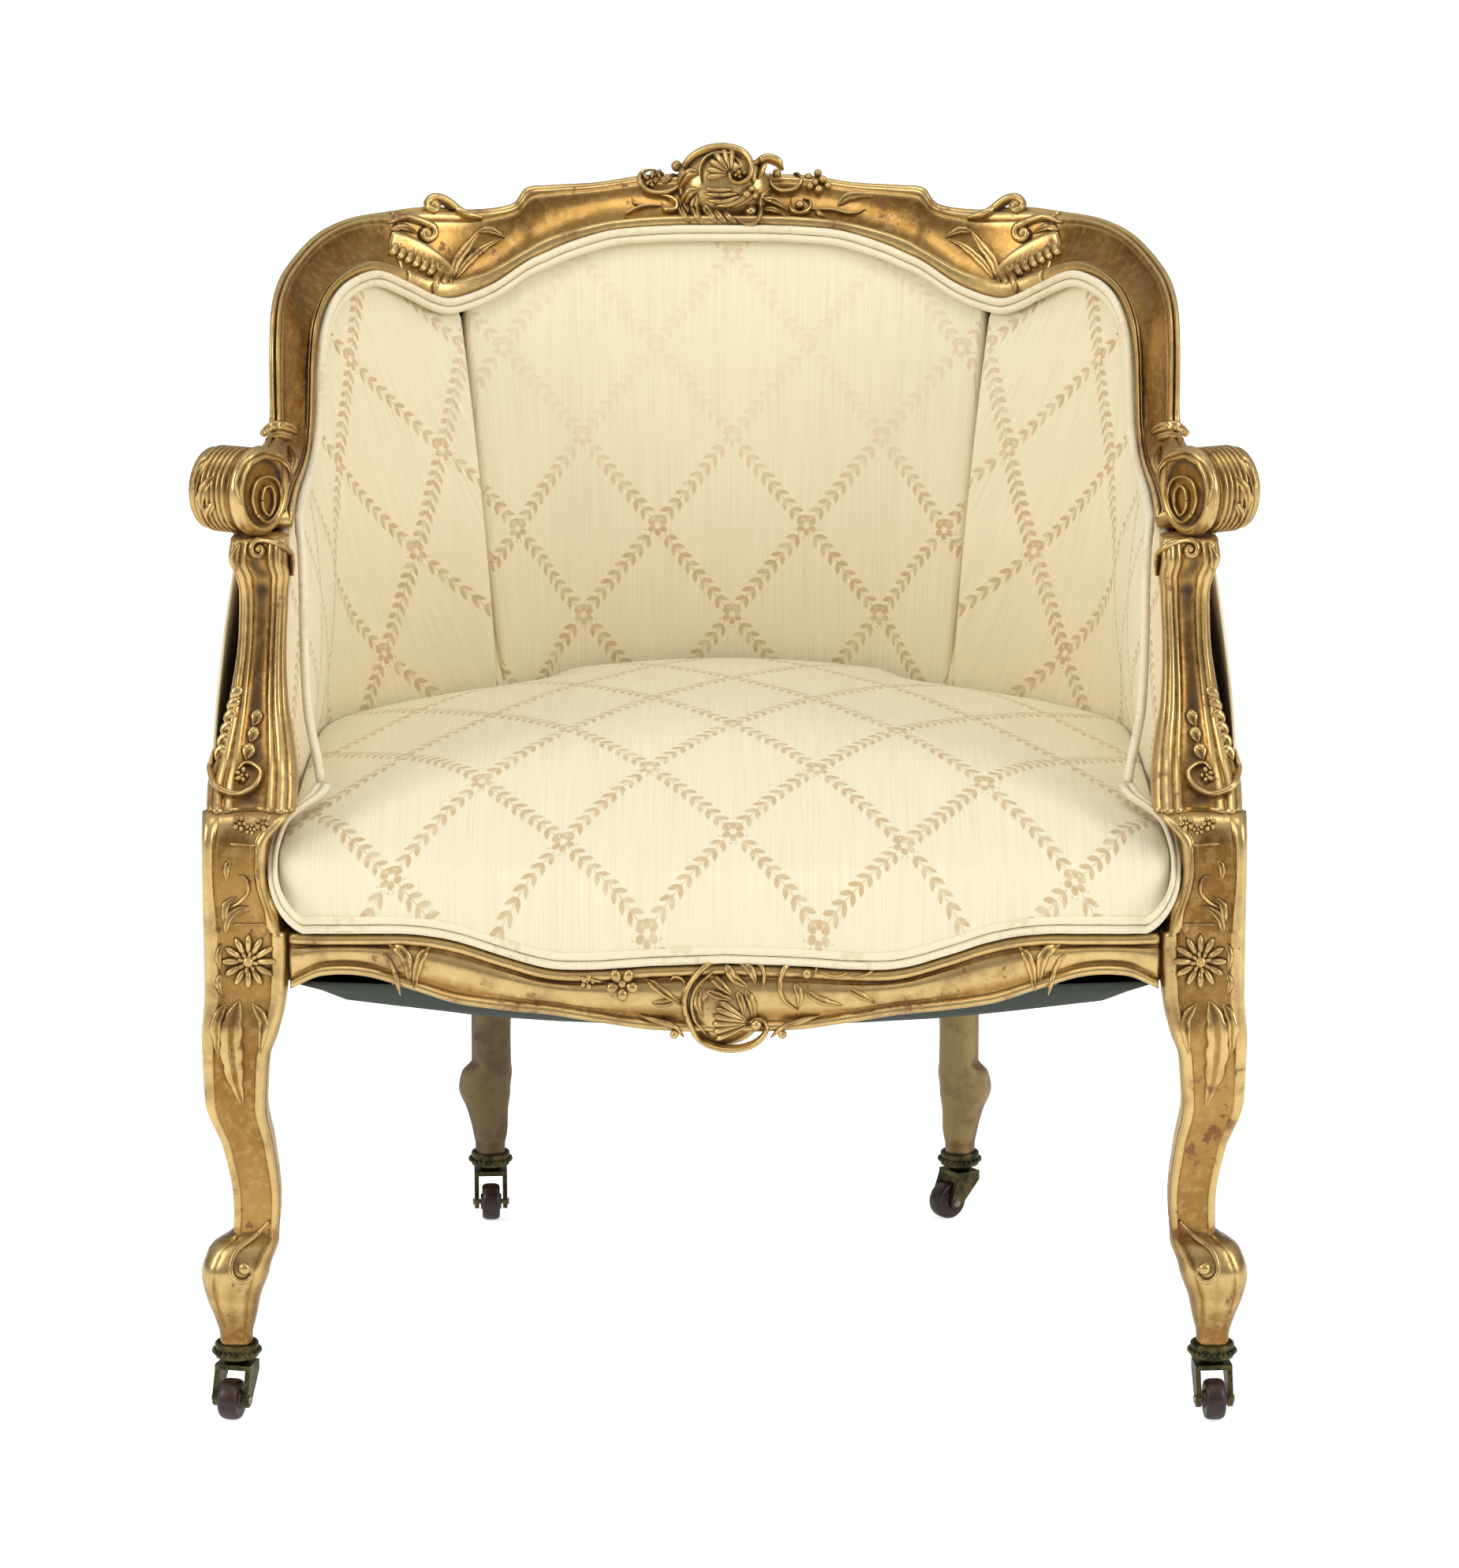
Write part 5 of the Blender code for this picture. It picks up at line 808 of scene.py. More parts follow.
def silk_look(name, tones, sizes, patterned=1.0):
    """Cream silk with fine upright streaks and a faded trellis of leaves and flowers."""
    graph = Graph(name)
    cloth = graph.nodes.new("ShaderNodeUVMap")
    cloth.uv_map = "cloth"
    across, down, _ = graph.axes(cloth.outputs[0])
    place = graph.coordinates()
    x, y, z = graph.axes(place)
    fine = graph.noise(graph.combine(across * 1150, down * 14), 1.0, detail=2.0)
    broad = graph.noise(graph.combine(across * 130, down * 5), 1.0, detail=2.0)
    cloud = graph.noise(place, 7.0, detail=4.0)
    wobble = (graph.noise(place, 16.0) - .5) * .0035
    waver = (graph.noise(graph.combine(y, z, x), 16.0) - .5) * .0035
    across, down = across + wobble, down + waver
    bands = leaf_band(across, down, sizes).most(leaf_band(across * -1.0, down, sizes))
    width, height = sizes.trellis_width, sizes.trellis_height
    first, second = across / width + down / height, across / width - down / height
    first, second = first - first.nearest(), second - second.nearest()
    right, rise = (first + second) * (width / 2), (first - second) * (height / 2)
    petals = None
    for index in range(6):
        angle = math.radians(30 + 60 * index)
        cosine, sine = math.cos(angle), math.sin(angle)
        out = (right * cosine + rise * sine - sizes.petal_reach) / sizes.petal_length
        side = (rise * cosine - right * sine) / sizes.petal_half_width
        shown = 1 - (out * out + side * side)
        petals = shown if petals is None else petals.most(shown)
    petals = petals.ramp(-.15, .25)
    print_share = bands.most(petals)
    # Sprigs paler and weaker in a band across the upper middle of the back
    pale_band = z.ramp(.56, .66) * (1 - z.ramp(.74, .80)) * (1 - x.size().ramp(.12, .26))
    patchy = graph.noise(place, 95.0, detail=2.0).ramp(.30, .62)
    strength = print_share * (.55 + .45 * patchy) * (1 - .45 * pale_band) * patterned
    streak = fine.ramp(.30, .72)
    ground = graph.mix(streak, tones.silk_shade, tones.silk)
    ground = graph.mix(broad.ramp(.35, .7) * .35, ground, tones.silk_warm)
    ground = graph.mix(cloud.ramp(.52, .75) * .30, ground, tones.silk_shade)
    ink = graph.mix(pale_band, tones.sprig, tones.sprig_paler)
    ground = graph.mix(strength, ground, ink)
    graph.set(base_color=ground, roughness=.62, sheen_weight=.25, sheen_roughness=.45)
    graph.bump(fine, .10, .0005)
    return graph.material


def gilt_look(tones, name="gilt_wood", wear=0.0, shade=0.0):
    """Water gilding with wear: red clay at rubbed edges, a painted highlight on high places, soiling
    and brown painted shade in hollows.
    """
    graph = Graph(name)
    place = graph.coordinates()
    hollow = graph.attribute("hollow")
    patches = graph.noise(place, 34.0, detail=5.0, roughness=.62)
    mottle = graph.noise(place, 160.0, detail=4.0, roughness=.6)
    drift = graph.noise(place, 9.0, detail=3.0)
    # Occlusion and the hollow attribute find the recesses that take soiling and painted shade
    near = graph.occlusion(.006)
    high = (.5 - hollow).ramp(.02, .34)
    low = (hollow - .5).ramp(.24, .50)
    gold = graph.mix(drift.ramp(.35, .68), tones.gold_deep, tones.gold)
    gold = graph.mix(mottle.ramp(.42, .72) * .4, gold, tones.gold_pale)
    # Painted highlight: raised places mixed towards a pale gold
    gold = graph.mix(high * .5, gold, tones.gold_painted_highlight)
    bole = (patches + (mottle - .5) * .7 + wear).ramp(.60, .72) * .7
    bole = bole.most((high * .7 + (patches - .5) * 1.4).ramp(.62, 1.0) * .5)
    # Soiling and painted shade in the hollows, plus an even painted shade over the whole piece set by
    # shade
    dirt_and_shade = low.most(1 - near.ramp(.05, .60)).limited()
    dirt_and_shade = (dirt_and_shade * (.5 + .8 * patches) + shade).limited()
    skin = graph.mix(bole, gold, tones.bole)
    skin = graph.mix(dirt_and_shade * .9, skin, tones.grime_and_shade)
    graph.feed(graph.shader.inputs["Base Color"], skin)
    graph.feed(graph.shader.inputs["Metallic"], (.96 - bole * .5 - dirt_and_shade * .6).limited())
    rough = (.21 + mottle * .16 + bole * .18 + dirt_and_shade * .3).limited()
    graph.feed(graph.shader.inputs["Roughness"], rough)
    graph.bump(mottle * .6 + patches * .8, .22, .0012)
    return graph.material


def plain_look(name, tone, second, scale=(1, 1, 1), roughness=.7, metallic=0.0, size=60.0):
    """Procedural look of the hidden and small pieces: two tones by stretched noise."""
    graph = Graph(name)
    place = graph.coordinates()
    mapping = graph.nodes.new("ShaderNodeMapping")
    mapping.inputs["Scale"].default_value = scale
    graph.links.new(place, mapping.inputs["Vector"])
    grain = graph.noise(mapping.outputs[0], size, detail=4.0)
    graph.set(base_color=graph.mix(grain.ramp(.3, .7), tone, second), roughness=roughness,
              metallic=metallic)
    graph.bump(grain, .1, .0008)
    return graph.material


def weave_look(name, tone, second, pitch, sheen=.1):
    """Plain weave of threads at a pitch, with dust on it."""
    graph = Graph(name)
    place = graph.coordinates()
    x, y, _ = graph.axes(place)
    warp = ((x / pitch).sum("MULTIPLY", 2 * math.pi)).sum("SINE")
    weft = ((y / pitch).sum("MULTIPLY", 2 * math.pi)).sum("SINE")
    threads = warp * weft * .5 + .5
    dust = graph.noise(place, 12.0, detail=4.0)
    colour = graph.mix(threads * .6 + dust.ramp(.4, .7) * .4, tone, second)
    graph.set(base_color=colour, roughness=.85, sheen_weight=sheen)
    graph.bump(threads, .3, .0006)
    return graph.material


# Properties

def length(label, default):
    return FloatProperty(name=label, description="Length of the piece", default=default,
                         unit="LENGTH", precision=4)


def number(label, default):
    return FloatProperty(name=label, description="Plain number", default=default, precision=4)


def tone(label, default):
    return FloatVectorProperty(name=label, description="Tone as it shows on screen",
                               default=default, size=3, min=0.0, max=1.0, subtype="COLOR_GAMMA")


class BergereSizes(bpy.types.PropertyGroup):
    """Sizes of the chair's visible pieces."""
    seat_half_width: length("Seat half width", .372)
    seat_depth: length("Seat depth behind the middle", .272)
    seat_exponent: number("Seat plan exponent", 2.4)
    top_half_width: length("Top half width", .335)
    top_depth: length("Top depth", .306)
    top_run_start: length("Start of the arm's run", .050)
    top_exponent: number("Top plan exponent", 2.5)
    opening_half_width: length("Opening half width", .306)
    opening_depth: length("Opening depth", .262)
    well_half_width: length("Well half width", .303)
    well_depth: length("Well depth", .228)
    arm_front: length("Arm front", .165)
    arm_top: length("Arm top", .655)
    crest_height: length("Crest height over the arm", .167)
    rail_depth: length("Rail depth", .035)
    front_rail_half: length("Front rail half", .297)
    seat_side_edge: length("Seat side edge", .428)
    seat_back_edge: length("Seat back edge", .455)
    seat_front_edge: length("Seat front edge", .402)
    seat_peak: length("Seat peak", .466)
    pad_base: length("Pad base", .3871)
    pad_crown: length("Pad crown", .012)
    seam_station: number("Station of the pad seam", 7.65)
    seam_lean: number("Lean of the pad seam", .040)
    welt_width: length("Welt width", .0125)
    welt_thickness: length("Welt thickness", .0062)
    trellis_width: length("Trellis width", .1165)
    trellis_height: length("Trellis height", .1380)
    trellis_margin: length("Bare stem by a flower", .0098)
    trellis_leaves: number("Leaves from flower to flower", 8.0)
    leaf_length: length("Leaf length", .0098)
    leaf_half_width: length("Leaf half width", .0019)
    leaf_lean: number("Lean of a leaf from its stem, in degrees", 37.0)
    petal_reach: length("Petal reach", .0053)
    petal_length: length("Petal half length", .0031)
    petal_half_width: length("Petal half width", .0025)


class BergereTones(bpy.types.PropertyGroup):
    """Tones of the chair's materials."""
    silk: tone("Silk", (.94, .90, .78))
    silk_shade: tone("Silk in its streaks", (.90, .85, .72))
    silk_warm: tone("Silk where it has yellowed", (.95, .905, .775))
    sprig: tone("Woven sprigs", (.80, .69, .52))
    # Sprig tone in the band across the upper middle of the back
    sprig_paler: tone("Paler sprigs", (.91, .81, .69))
    gold: tone("Gold", (.68, .53, .29))
    gold_deep: tone("Deep gold", (.53, .38, .18))
    gold_pale: tone("Pale gold", (.82, .69, .45))
    # Painted highlight laid on the raised places of the gilt
    gold_painted_highlight: tone("Painted highlight on the gold", (.98, .87, .60))
    bole: tone("Red clay under the gold", (.42, .19, .10))
    # Soiling and painted shade laid in the hollows of the gilt
    grime_and_shade: tone("Soiling and painted shade in the hollows", (.13, .085, .045))
    beech: tone("Beech", (.66, .49, .31))
    beech_dark: tone("Beech in its grain", (.52, .36, .21))
    jute: tone("Jute", (.62, .50, .33))
    jute_dark: tone("Jute in shadow", (.44, .34, .21))
    dust_cloth: tone("Dust cloth", (.23, .24, .20))
    dust_cloth_dark: tone("Dust cloth in shadow", (.14, .145, .12))
    steel: tone("Steel", (.45, .43, .40))
    rust: tone("Rusted steel", (.36, .27, .2))
    bronze: tone("Bronze", (.42, .37, .22))
    patina: tone("Bronze patina", (.16, .19, .13))
    wheel: tone("Wheel wood", (.24, .15, .11))
    wheel_dark: tone("Wheel wood in its grain", (.12, .075, .06))
    floor: tone("Floor", (.98, .98, .98))


def looks(context):
    """Materials of the chair, made once."""
    tones, sizes = context.scene.bergere_tones, context.scene.bergere_sizes
    if "gilt_wood" not in bpy.data.materials:
        gilt_look(tones)
        gilt_look(tones, "gilt_worn", wear=.03)
        # Copies of the gilt with an even painted shade, for the rear legs that stand in shadow; the
        # second is deeper
        gilt_look(tones, "gilt_dull", wear=-.04, shade=.55)
        gilt_look(tones, "gilt_dark", wear=-.04, shade=.82)
        silk_look("silk_trellis", tones, sizes)
        silk_look("silk_plain", tones, sizes, patterned=.35)
        plain_look("beech_wood", tones.beech, tones.beech_dark, (8, 8, 1), .6, size=24.0)
        weave_look("jute_web", tones.jute, tones.jute_dark, .0022)
        weave_look("hessian_cloth", tones.jute, tones.jute_dark, .0014)
        weave_look("dust_cloth", tones.dust_cloth_dark, tones.dust_cloth, .0012, sheen=.2)
        plain_look("spring_steel", tones.steel, tones.rust, roughness=.45, metallic=.9)
        plain_look("bronze_patina", tones.patina, tones.bronze, roughness=.42, metallic=.9,
                   size=120.0)
        plain_look("wheel_wood", tones.wheel_dark, tones.wheel, (1, 1, 6), .38, size=90.0)
    return bpy.data.materials


# Operators

class BergereOperator:
    """Common settings of the chair's operators."""
    bl_options = {"REGISTER", "UNDO"}

    def form(self, context):
        return Form(context.scene.bergere_sizes)


class BERGERE_OT_hidden_frame(BergereOperator, bpy.types.Operator):
    """Give the inner frame, webbing, deck and springs their materials"""
    bl_idname = "bergere.hidden_frame"
    bl_label = "Hidden frame"

    def execute(self, context):
        looks_by_prefix = {
            "side_seat_rail": "beech_wood", "rear_seat_rail": "beech_wood",
            "back_stile": "beech_wood", "corner_block": "beech_wood", "seat_webbing": "jute_web",
            "spring_deck": "hessian_cloth", "seat_spring": "spring_steel",
            "caster_fork": "bronze_patina", "caster_axle": "spring_steel"}
        materials = looks(context)
        for name, node in NODES.items():
            for prefix, look in looks_by_prefix.items():
                if name.startswith(prefix):
                    node.data.materials.clear()
                    node.data.materials.append(materials[look])
        return {"FINISHED"}


class BERGERE_OT_rails(BergereOperator, bpy.types.Operator):
    """Build the moulded crest rail and the two arm rails"""
    bl_idname = "bergere.rails"
    bl_label = "Rails"

    def execute(self, context):
        form, look = self.form(context), looks(context)["gilt_wood"]
        stations = np.linspace(-JOINT_STATION, JOINT_STATION, 201)
        add_piece("crest_rail_visual", sweep(form.rail_rings(stations, RAIL_PROFILE)), look,
                  nodes=["crest_rail"], carved=True)
        stations = np.linspace(JOINT_STATION, LAST_STATION, 131)
        rings = form.rail_rings(stations, RAIL_PROFILE)
        rings[0] += unit(rings[1] - rings[0]) * FIT
        right = sweep(rings)
        left = flipped(right)
        for side, bm in (("right", right), ("left", left)):
            add_piece("arm_rail_visual_" + side, bm, look, nodes=["arm_rail_" + side],
                      carved=True)
        return {"FINISHED"}


class BERGERE_OT_legs(BergereOperator, bpy.types.Operator):
    """Build the cabriole legs and the arm stumps"""
    bl_idname = "bergere.legs"
    bl_label = "Legs and stumps"

    def level_ring(self, section, row, height):
        """A section at one height, from its row of place and half sizes."""
        across, forward, wide, deep = row
        return np.stack((across + wide * section[:, 0], -forward + deep * section[:, 1],
                         np.full(len(section), height)), axis=-1)

    def front_leg(self):
        heights = np.concatenate((np.linspace(FRONT_LEG_TOP, BLOCK_STEP_TOP, 22),
                                  np.linspace(BLOCK_STEP_FOOT, LEG_FOOT, 110)))
        beaded, soft = mirrored(LEG_SECTION), mirrored(SOFT_SECTION)
        rings = []
        for height, row in zip(heights, flow(FRONT_LEG_ROWS, heights)):
            part = np.clip((height - SECTION_SOFT_TOP) / SECTION_CHANGE, 0, 1)
            rings.append(self.level_ring(soft + (beaded - soft) * part, row, height))
        return sweep(rings)

    def rear_leg(self, form):
        outward = form.seat.normal(REAR_LEG_SHARE)[0]
        along = np.array((outward[1], -outward[0], 0))
        centre = form.seat.at(REAR_LEG_SHARE)[0] - outward * REAR_LEG_INSET
        heights = np.linspace(RAIL_TOP, LEG_FOOT, 110)
        soft = mirrored(SOFT_SECTION)
        rings = []
        for height, (out, back, half_along, half_out) in zip(heights, flow(REAR_LEG_ROWS, heights)):
            middle = centre + np.array((out, back, height))
            rings.append(middle + along * (half_along * soft[:, :1])
                         - outward * (half_out * soft[:, 1:]))
        return sweep(rings)

    def stump(self):
        shares = np.linspace(1, 0, 70)
        section = np.asarray(STUMP_SECTION) * (-1, 1)
        return sweep([self.level_ring(section, row, STUMP_FOOT + share * STUMP_RISE)
                      for share, row in zip(shares, flow(STUMP_ROWS, shares))])

    def execute(self, context):
        form, gilt = self.form(context), looks(context)
        # The rear legs take the copies of the gilt with painted shade, the left one deeper
        for name, bm, pair in (("front_leg_", self.front_leg(), ("gilt_wood", "gilt_wood")),
                               ("rear_leg_", self.rear_leg(form), ("gilt_dark", "gilt_dull")),
                               ("arm_stump_", self.stump(), ("gilt_wood", "gilt_wood"))):
            for side, shape, look in zip(("left", "right"), (flipped(bm), bm), pair):
                add_piece(name + "visual_" + side, shape, gilt[look], nodes=[name + side],
                          carved=True)
        return {"FINISHED"}


class BERGERE_OT_front_rail(BergereOperator, bpy.types.Operator):
    """Build the serpentine front seat rail with its mouldings"""
    bl_idname = "bergere.front_rail"
    bl_label = "Front rail"

    def execute(self, context):
        form, look = self.form(context), looks(context)["gilt_wood"]
        reach = form.sizes.front_rail_half - FIT
        rebate, back = .0145, .030
        rings = []
        for across in np.linspace(-reach, reach, 221):
            face, lower, lip = (float(item[0]) for item in form.front_face(np.array([across])))
            high = lip - lower
            rings.append([(across, face + away, place) for away, place in (
                (back, lower), (.010, lower), (.0035, lower + .0002), (.0010, lower + .0014),
                (.0, lower + .0034), (.0010, lower + .0054), (.0030, lower + .0066),
                (.0038, lower + .0076), (.0034, lower + .009), (.0024, lower + high * .30),
                (.0010, lower + high * .45), (.0006, lower + high * .58), (.0016, lower + high * .7),
                (.0034, lip - .0105), (.0040, lip - .0088), (.0024, lip - .0080),
                (.0008, lip - .0066), (.0002, lip - .0048), (.0008, lip - .0028),
                (.0024, lip - .0012), (.0046, lip - .0004), (.008, lip), (rebate, lip),
                (rebate, RAIL_TOP), (back, RAIL_TOP))])
        add_piece("front_rail_visual", sweep(rings), look, nodes=["front_seat_rail"], carved=True)
        return {"FINISHED"}


def pad_shape(form, stations, rows_low, rows_high, recess=None, seams=()):
    """Rings of a pad, its run and its front's count: crowned front with seams, then its back."""
    sizes = form.sizes
    stations = np.asarray(stations, float)
    side = np.where(stations < 0, -1.0, 1.0)
    well = form.well_share(stations)
    low_inner = form.well.at(well, sizes.pad_base)
    outward = form.well.normal(well)
    share = form.shares(stations)[:, 2] * side
    low_outer = form.seat.at(share, sizes.pad_base) - form.seat.normal(share) * .0285
    top_inner = form.rail_point(stations, .09, -.12)
    top_outer = form.rail_point(stations, .37, -.22)
    edge = form.seat_edge(stations)
    crown_top = top_inner[:, 2].copy()
    wing_start, wing_end = 13.0, 18.0
    elbow = form.rail_point(np.array([wing_end]), .12, -.22)[0, 2]
    part = np.minimum((np.abs(stations) - wing_start) / 2, 1)
    wing = (np.abs(stations) > wing_start) & (np.abs(stations) < wing_end)
    crown_top = np.where(wing, crown_top + (elbow - crown_top) * part, crown_top)
    foot = (edge - sizes.pad_base) / (top_inner[:, 2] - sizes.pad_base)
    over = np.linspace(0, 1, rows_high)[None, 1:]
    parts = np.concatenate((np.linspace(0, 1, rows_low)[None] * foot[:, None],
                            foot[:, None] + (1 - foot[:, None]) * over), axis=1)
    front = low_inner[:, None] + (top_inner - low_inner)[:, None] * parts[..., None]
    above = (front[..., 2] - edge[:, None]) / (crown_top - edge)[:, None]
    swell = np.maximum(4 * above * (1 - above), 0) ** .85
    recess = np.zeros(len(stations)) if recess is None else recess
    front -= outward[:, None] * (sizes.pad_crown * swell * (1 - recess)[:, None])[..., None]
    front += outward[:, None] * (sizes.welt_thickness * recess[:, None]
                                 * np.maximum(1 - parts, 0) ** .5)[..., None]
    middle = front[:, rows_low + rows_high // 2]
    run = run_along(middle)
    for seam in seams:
        near = np.exp(-np.abs(run - np.interp(seam, stations, run)) / .0030)
        front += outward[:, None] * (.0016 * near)[:, None, None]
    backs = np.linspace(1, 0, 12)
    back = low_outer[:, None] + (top_outer - low_outer)[:, None] * backs[None, :, None]
    rings = np.concatenate((front, back), axis=1)
    return rings, run, rows_low + rows_high - 1


def pad_uvs(rings, run, start, height, lean=0.0, squeeze=1.0, side=1.0):
    """Cloth places: along the run of the pad, and up it, with the lean of its cut."""
    v = (rings[..., 2] - height) * squeeze
    u = ((run + start)[:, None] - lean * (rings[..., 2] - height)) * side
    u = np.concatenate((u, u[:, :1]), axis=1)
    v = np.concatenate((v, v[:, :1]), axis=1)
    return np.stack((u, v), axis=-1)


# Pressure that swells a pad, and the frames for which it acts
SWELL_PRESSURE = 4.0
SWELL_FRAMES = 20


def inflate(piece, pinned, cap):
    """Let the cloth of a pad swell by no more than a cap, and keep the result in its mesh."""
    mesh = piece.data
    group = piece.vertex_groups.new(name="sewn")
    group.add([int(index) for index in np.nonzero(pinned)[0]], 1.0, "REPLACE")
    before = vertex_places(mesh)
    cloth = piece.modifiers.new("swell", "CLOTH")
    settings = cloth.settings
    settings.use_pressure = True
    settings.uniform_pressure_force = SWELL_PRESSURE
    settings.effector_weights.gravity = 0.0
    settings.tension_stiffness = 18
    settings.compression_stiffness = 18
    settings.bending_stiffness = 1.2
    settings.mass = .3
    settings.vertex_group_mass = group.name
    cloth.collision_settings.use_collision = False
    scene = bpy.context.scene
    cloth.point_cache.frame_start, cloth.point_cache.frame_end = 1, SWELL_FRAMES
    for number_of_frame in range(1, SWELL_FRAMES + 1):
        scene.frame_set(number_of_frame)
    shaped = piece.evaluated_get(bpy.context.evaluated_depsgraph_get())
    moved = vertex_places(shaped.data) - before
    reach = np.linalg.norm(moved, axis=1)
    moved *= np.minimum(cap / np.maximum(reach, 1e-9), 1)[:, None]
    piece.modifiers.remove(cloth)
    piece.vertex_groups.clear()
    mesh.vertices.foreach_set("co", (before + moved).ravel())
    scene.frame_set(1)
    mesh.update()


def subdivided(piece):
    modifier = piece.modifiers.new("subdivision", "SUBSURF")
    modifier.levels = modifier.render_levels = 1


class BERGERE_OT_pads(BergereOperator, bpy.types.Operator):
    """Build the inside back pad and the inside arm pads"""
    bl_idname = "bergere.pads"
    bl_label = "Inside pads"

    def execute(self, context):
        form, look = self.form(context), looks(context)["silk_trellis"]
        sizes = form.sizes
        seam = sizes.seam_station
        stations = np.linspace(-seam, seam, 97)
        rings, run, front = pad_shape(form, stations, 6, 40, seams=(-seam, seam))
        uvs = pad_uvs(rings, run, -run[-1] / 2 - .0055, .7645)
        pad = add_piece("inside_back_pad_visual", sweep(rings, uvs=uvs), look,
                        nodes=["inside_back_pad"])
        self.swell(pad, rings, front)
        stations = np.linspace(seam, LAST_STATION, 120)
        recess = np.clip((stations - (LAST_STATION - 2)) / 2, 0, 1)
        rings, run, front = pad_shape(form, stations, 6, 40, recess, seams=(seam,))
        for side, sign in SIDES:
            shape = rings * (sign, 1, 1)
            uvs = pad_uvs(rings, run, .30 - .071, .7625 - .0654, lean=.39, squeeze=.911, side=sign)
            pad = add_piece("inside_arm_pad_visual_" + side, sweep(shape, uvs=uvs), look,
                            nodes=["inside_arm_pad_" + side])
            self.swell(pad, shape, front)
        return {"FINISHED"}

    def swell(self, pad, rings, front):
        """Swell the front of a pad, held at its foot, its top, its ends and its back."""
        rows, count = rings.shape[:2]
        places = vertex_places(pad.data)
        flat = rings.reshape(-1, 3)
        held = np.zeros((rows, count), bool)
        held[:, :7] = True
        held[:, front - 2:] = True
        held[:2] = held[-2:] = True
        holds = {tuple(np.round(point, 5)): hold for point, hold in zip(flat, held.ravel())}
        pinned = np.array([holds.get(tuple(np.round(place, 5)), True) for place in places])
        inflate(pad, pinned, cap=.0045)
        subdivided(pad)


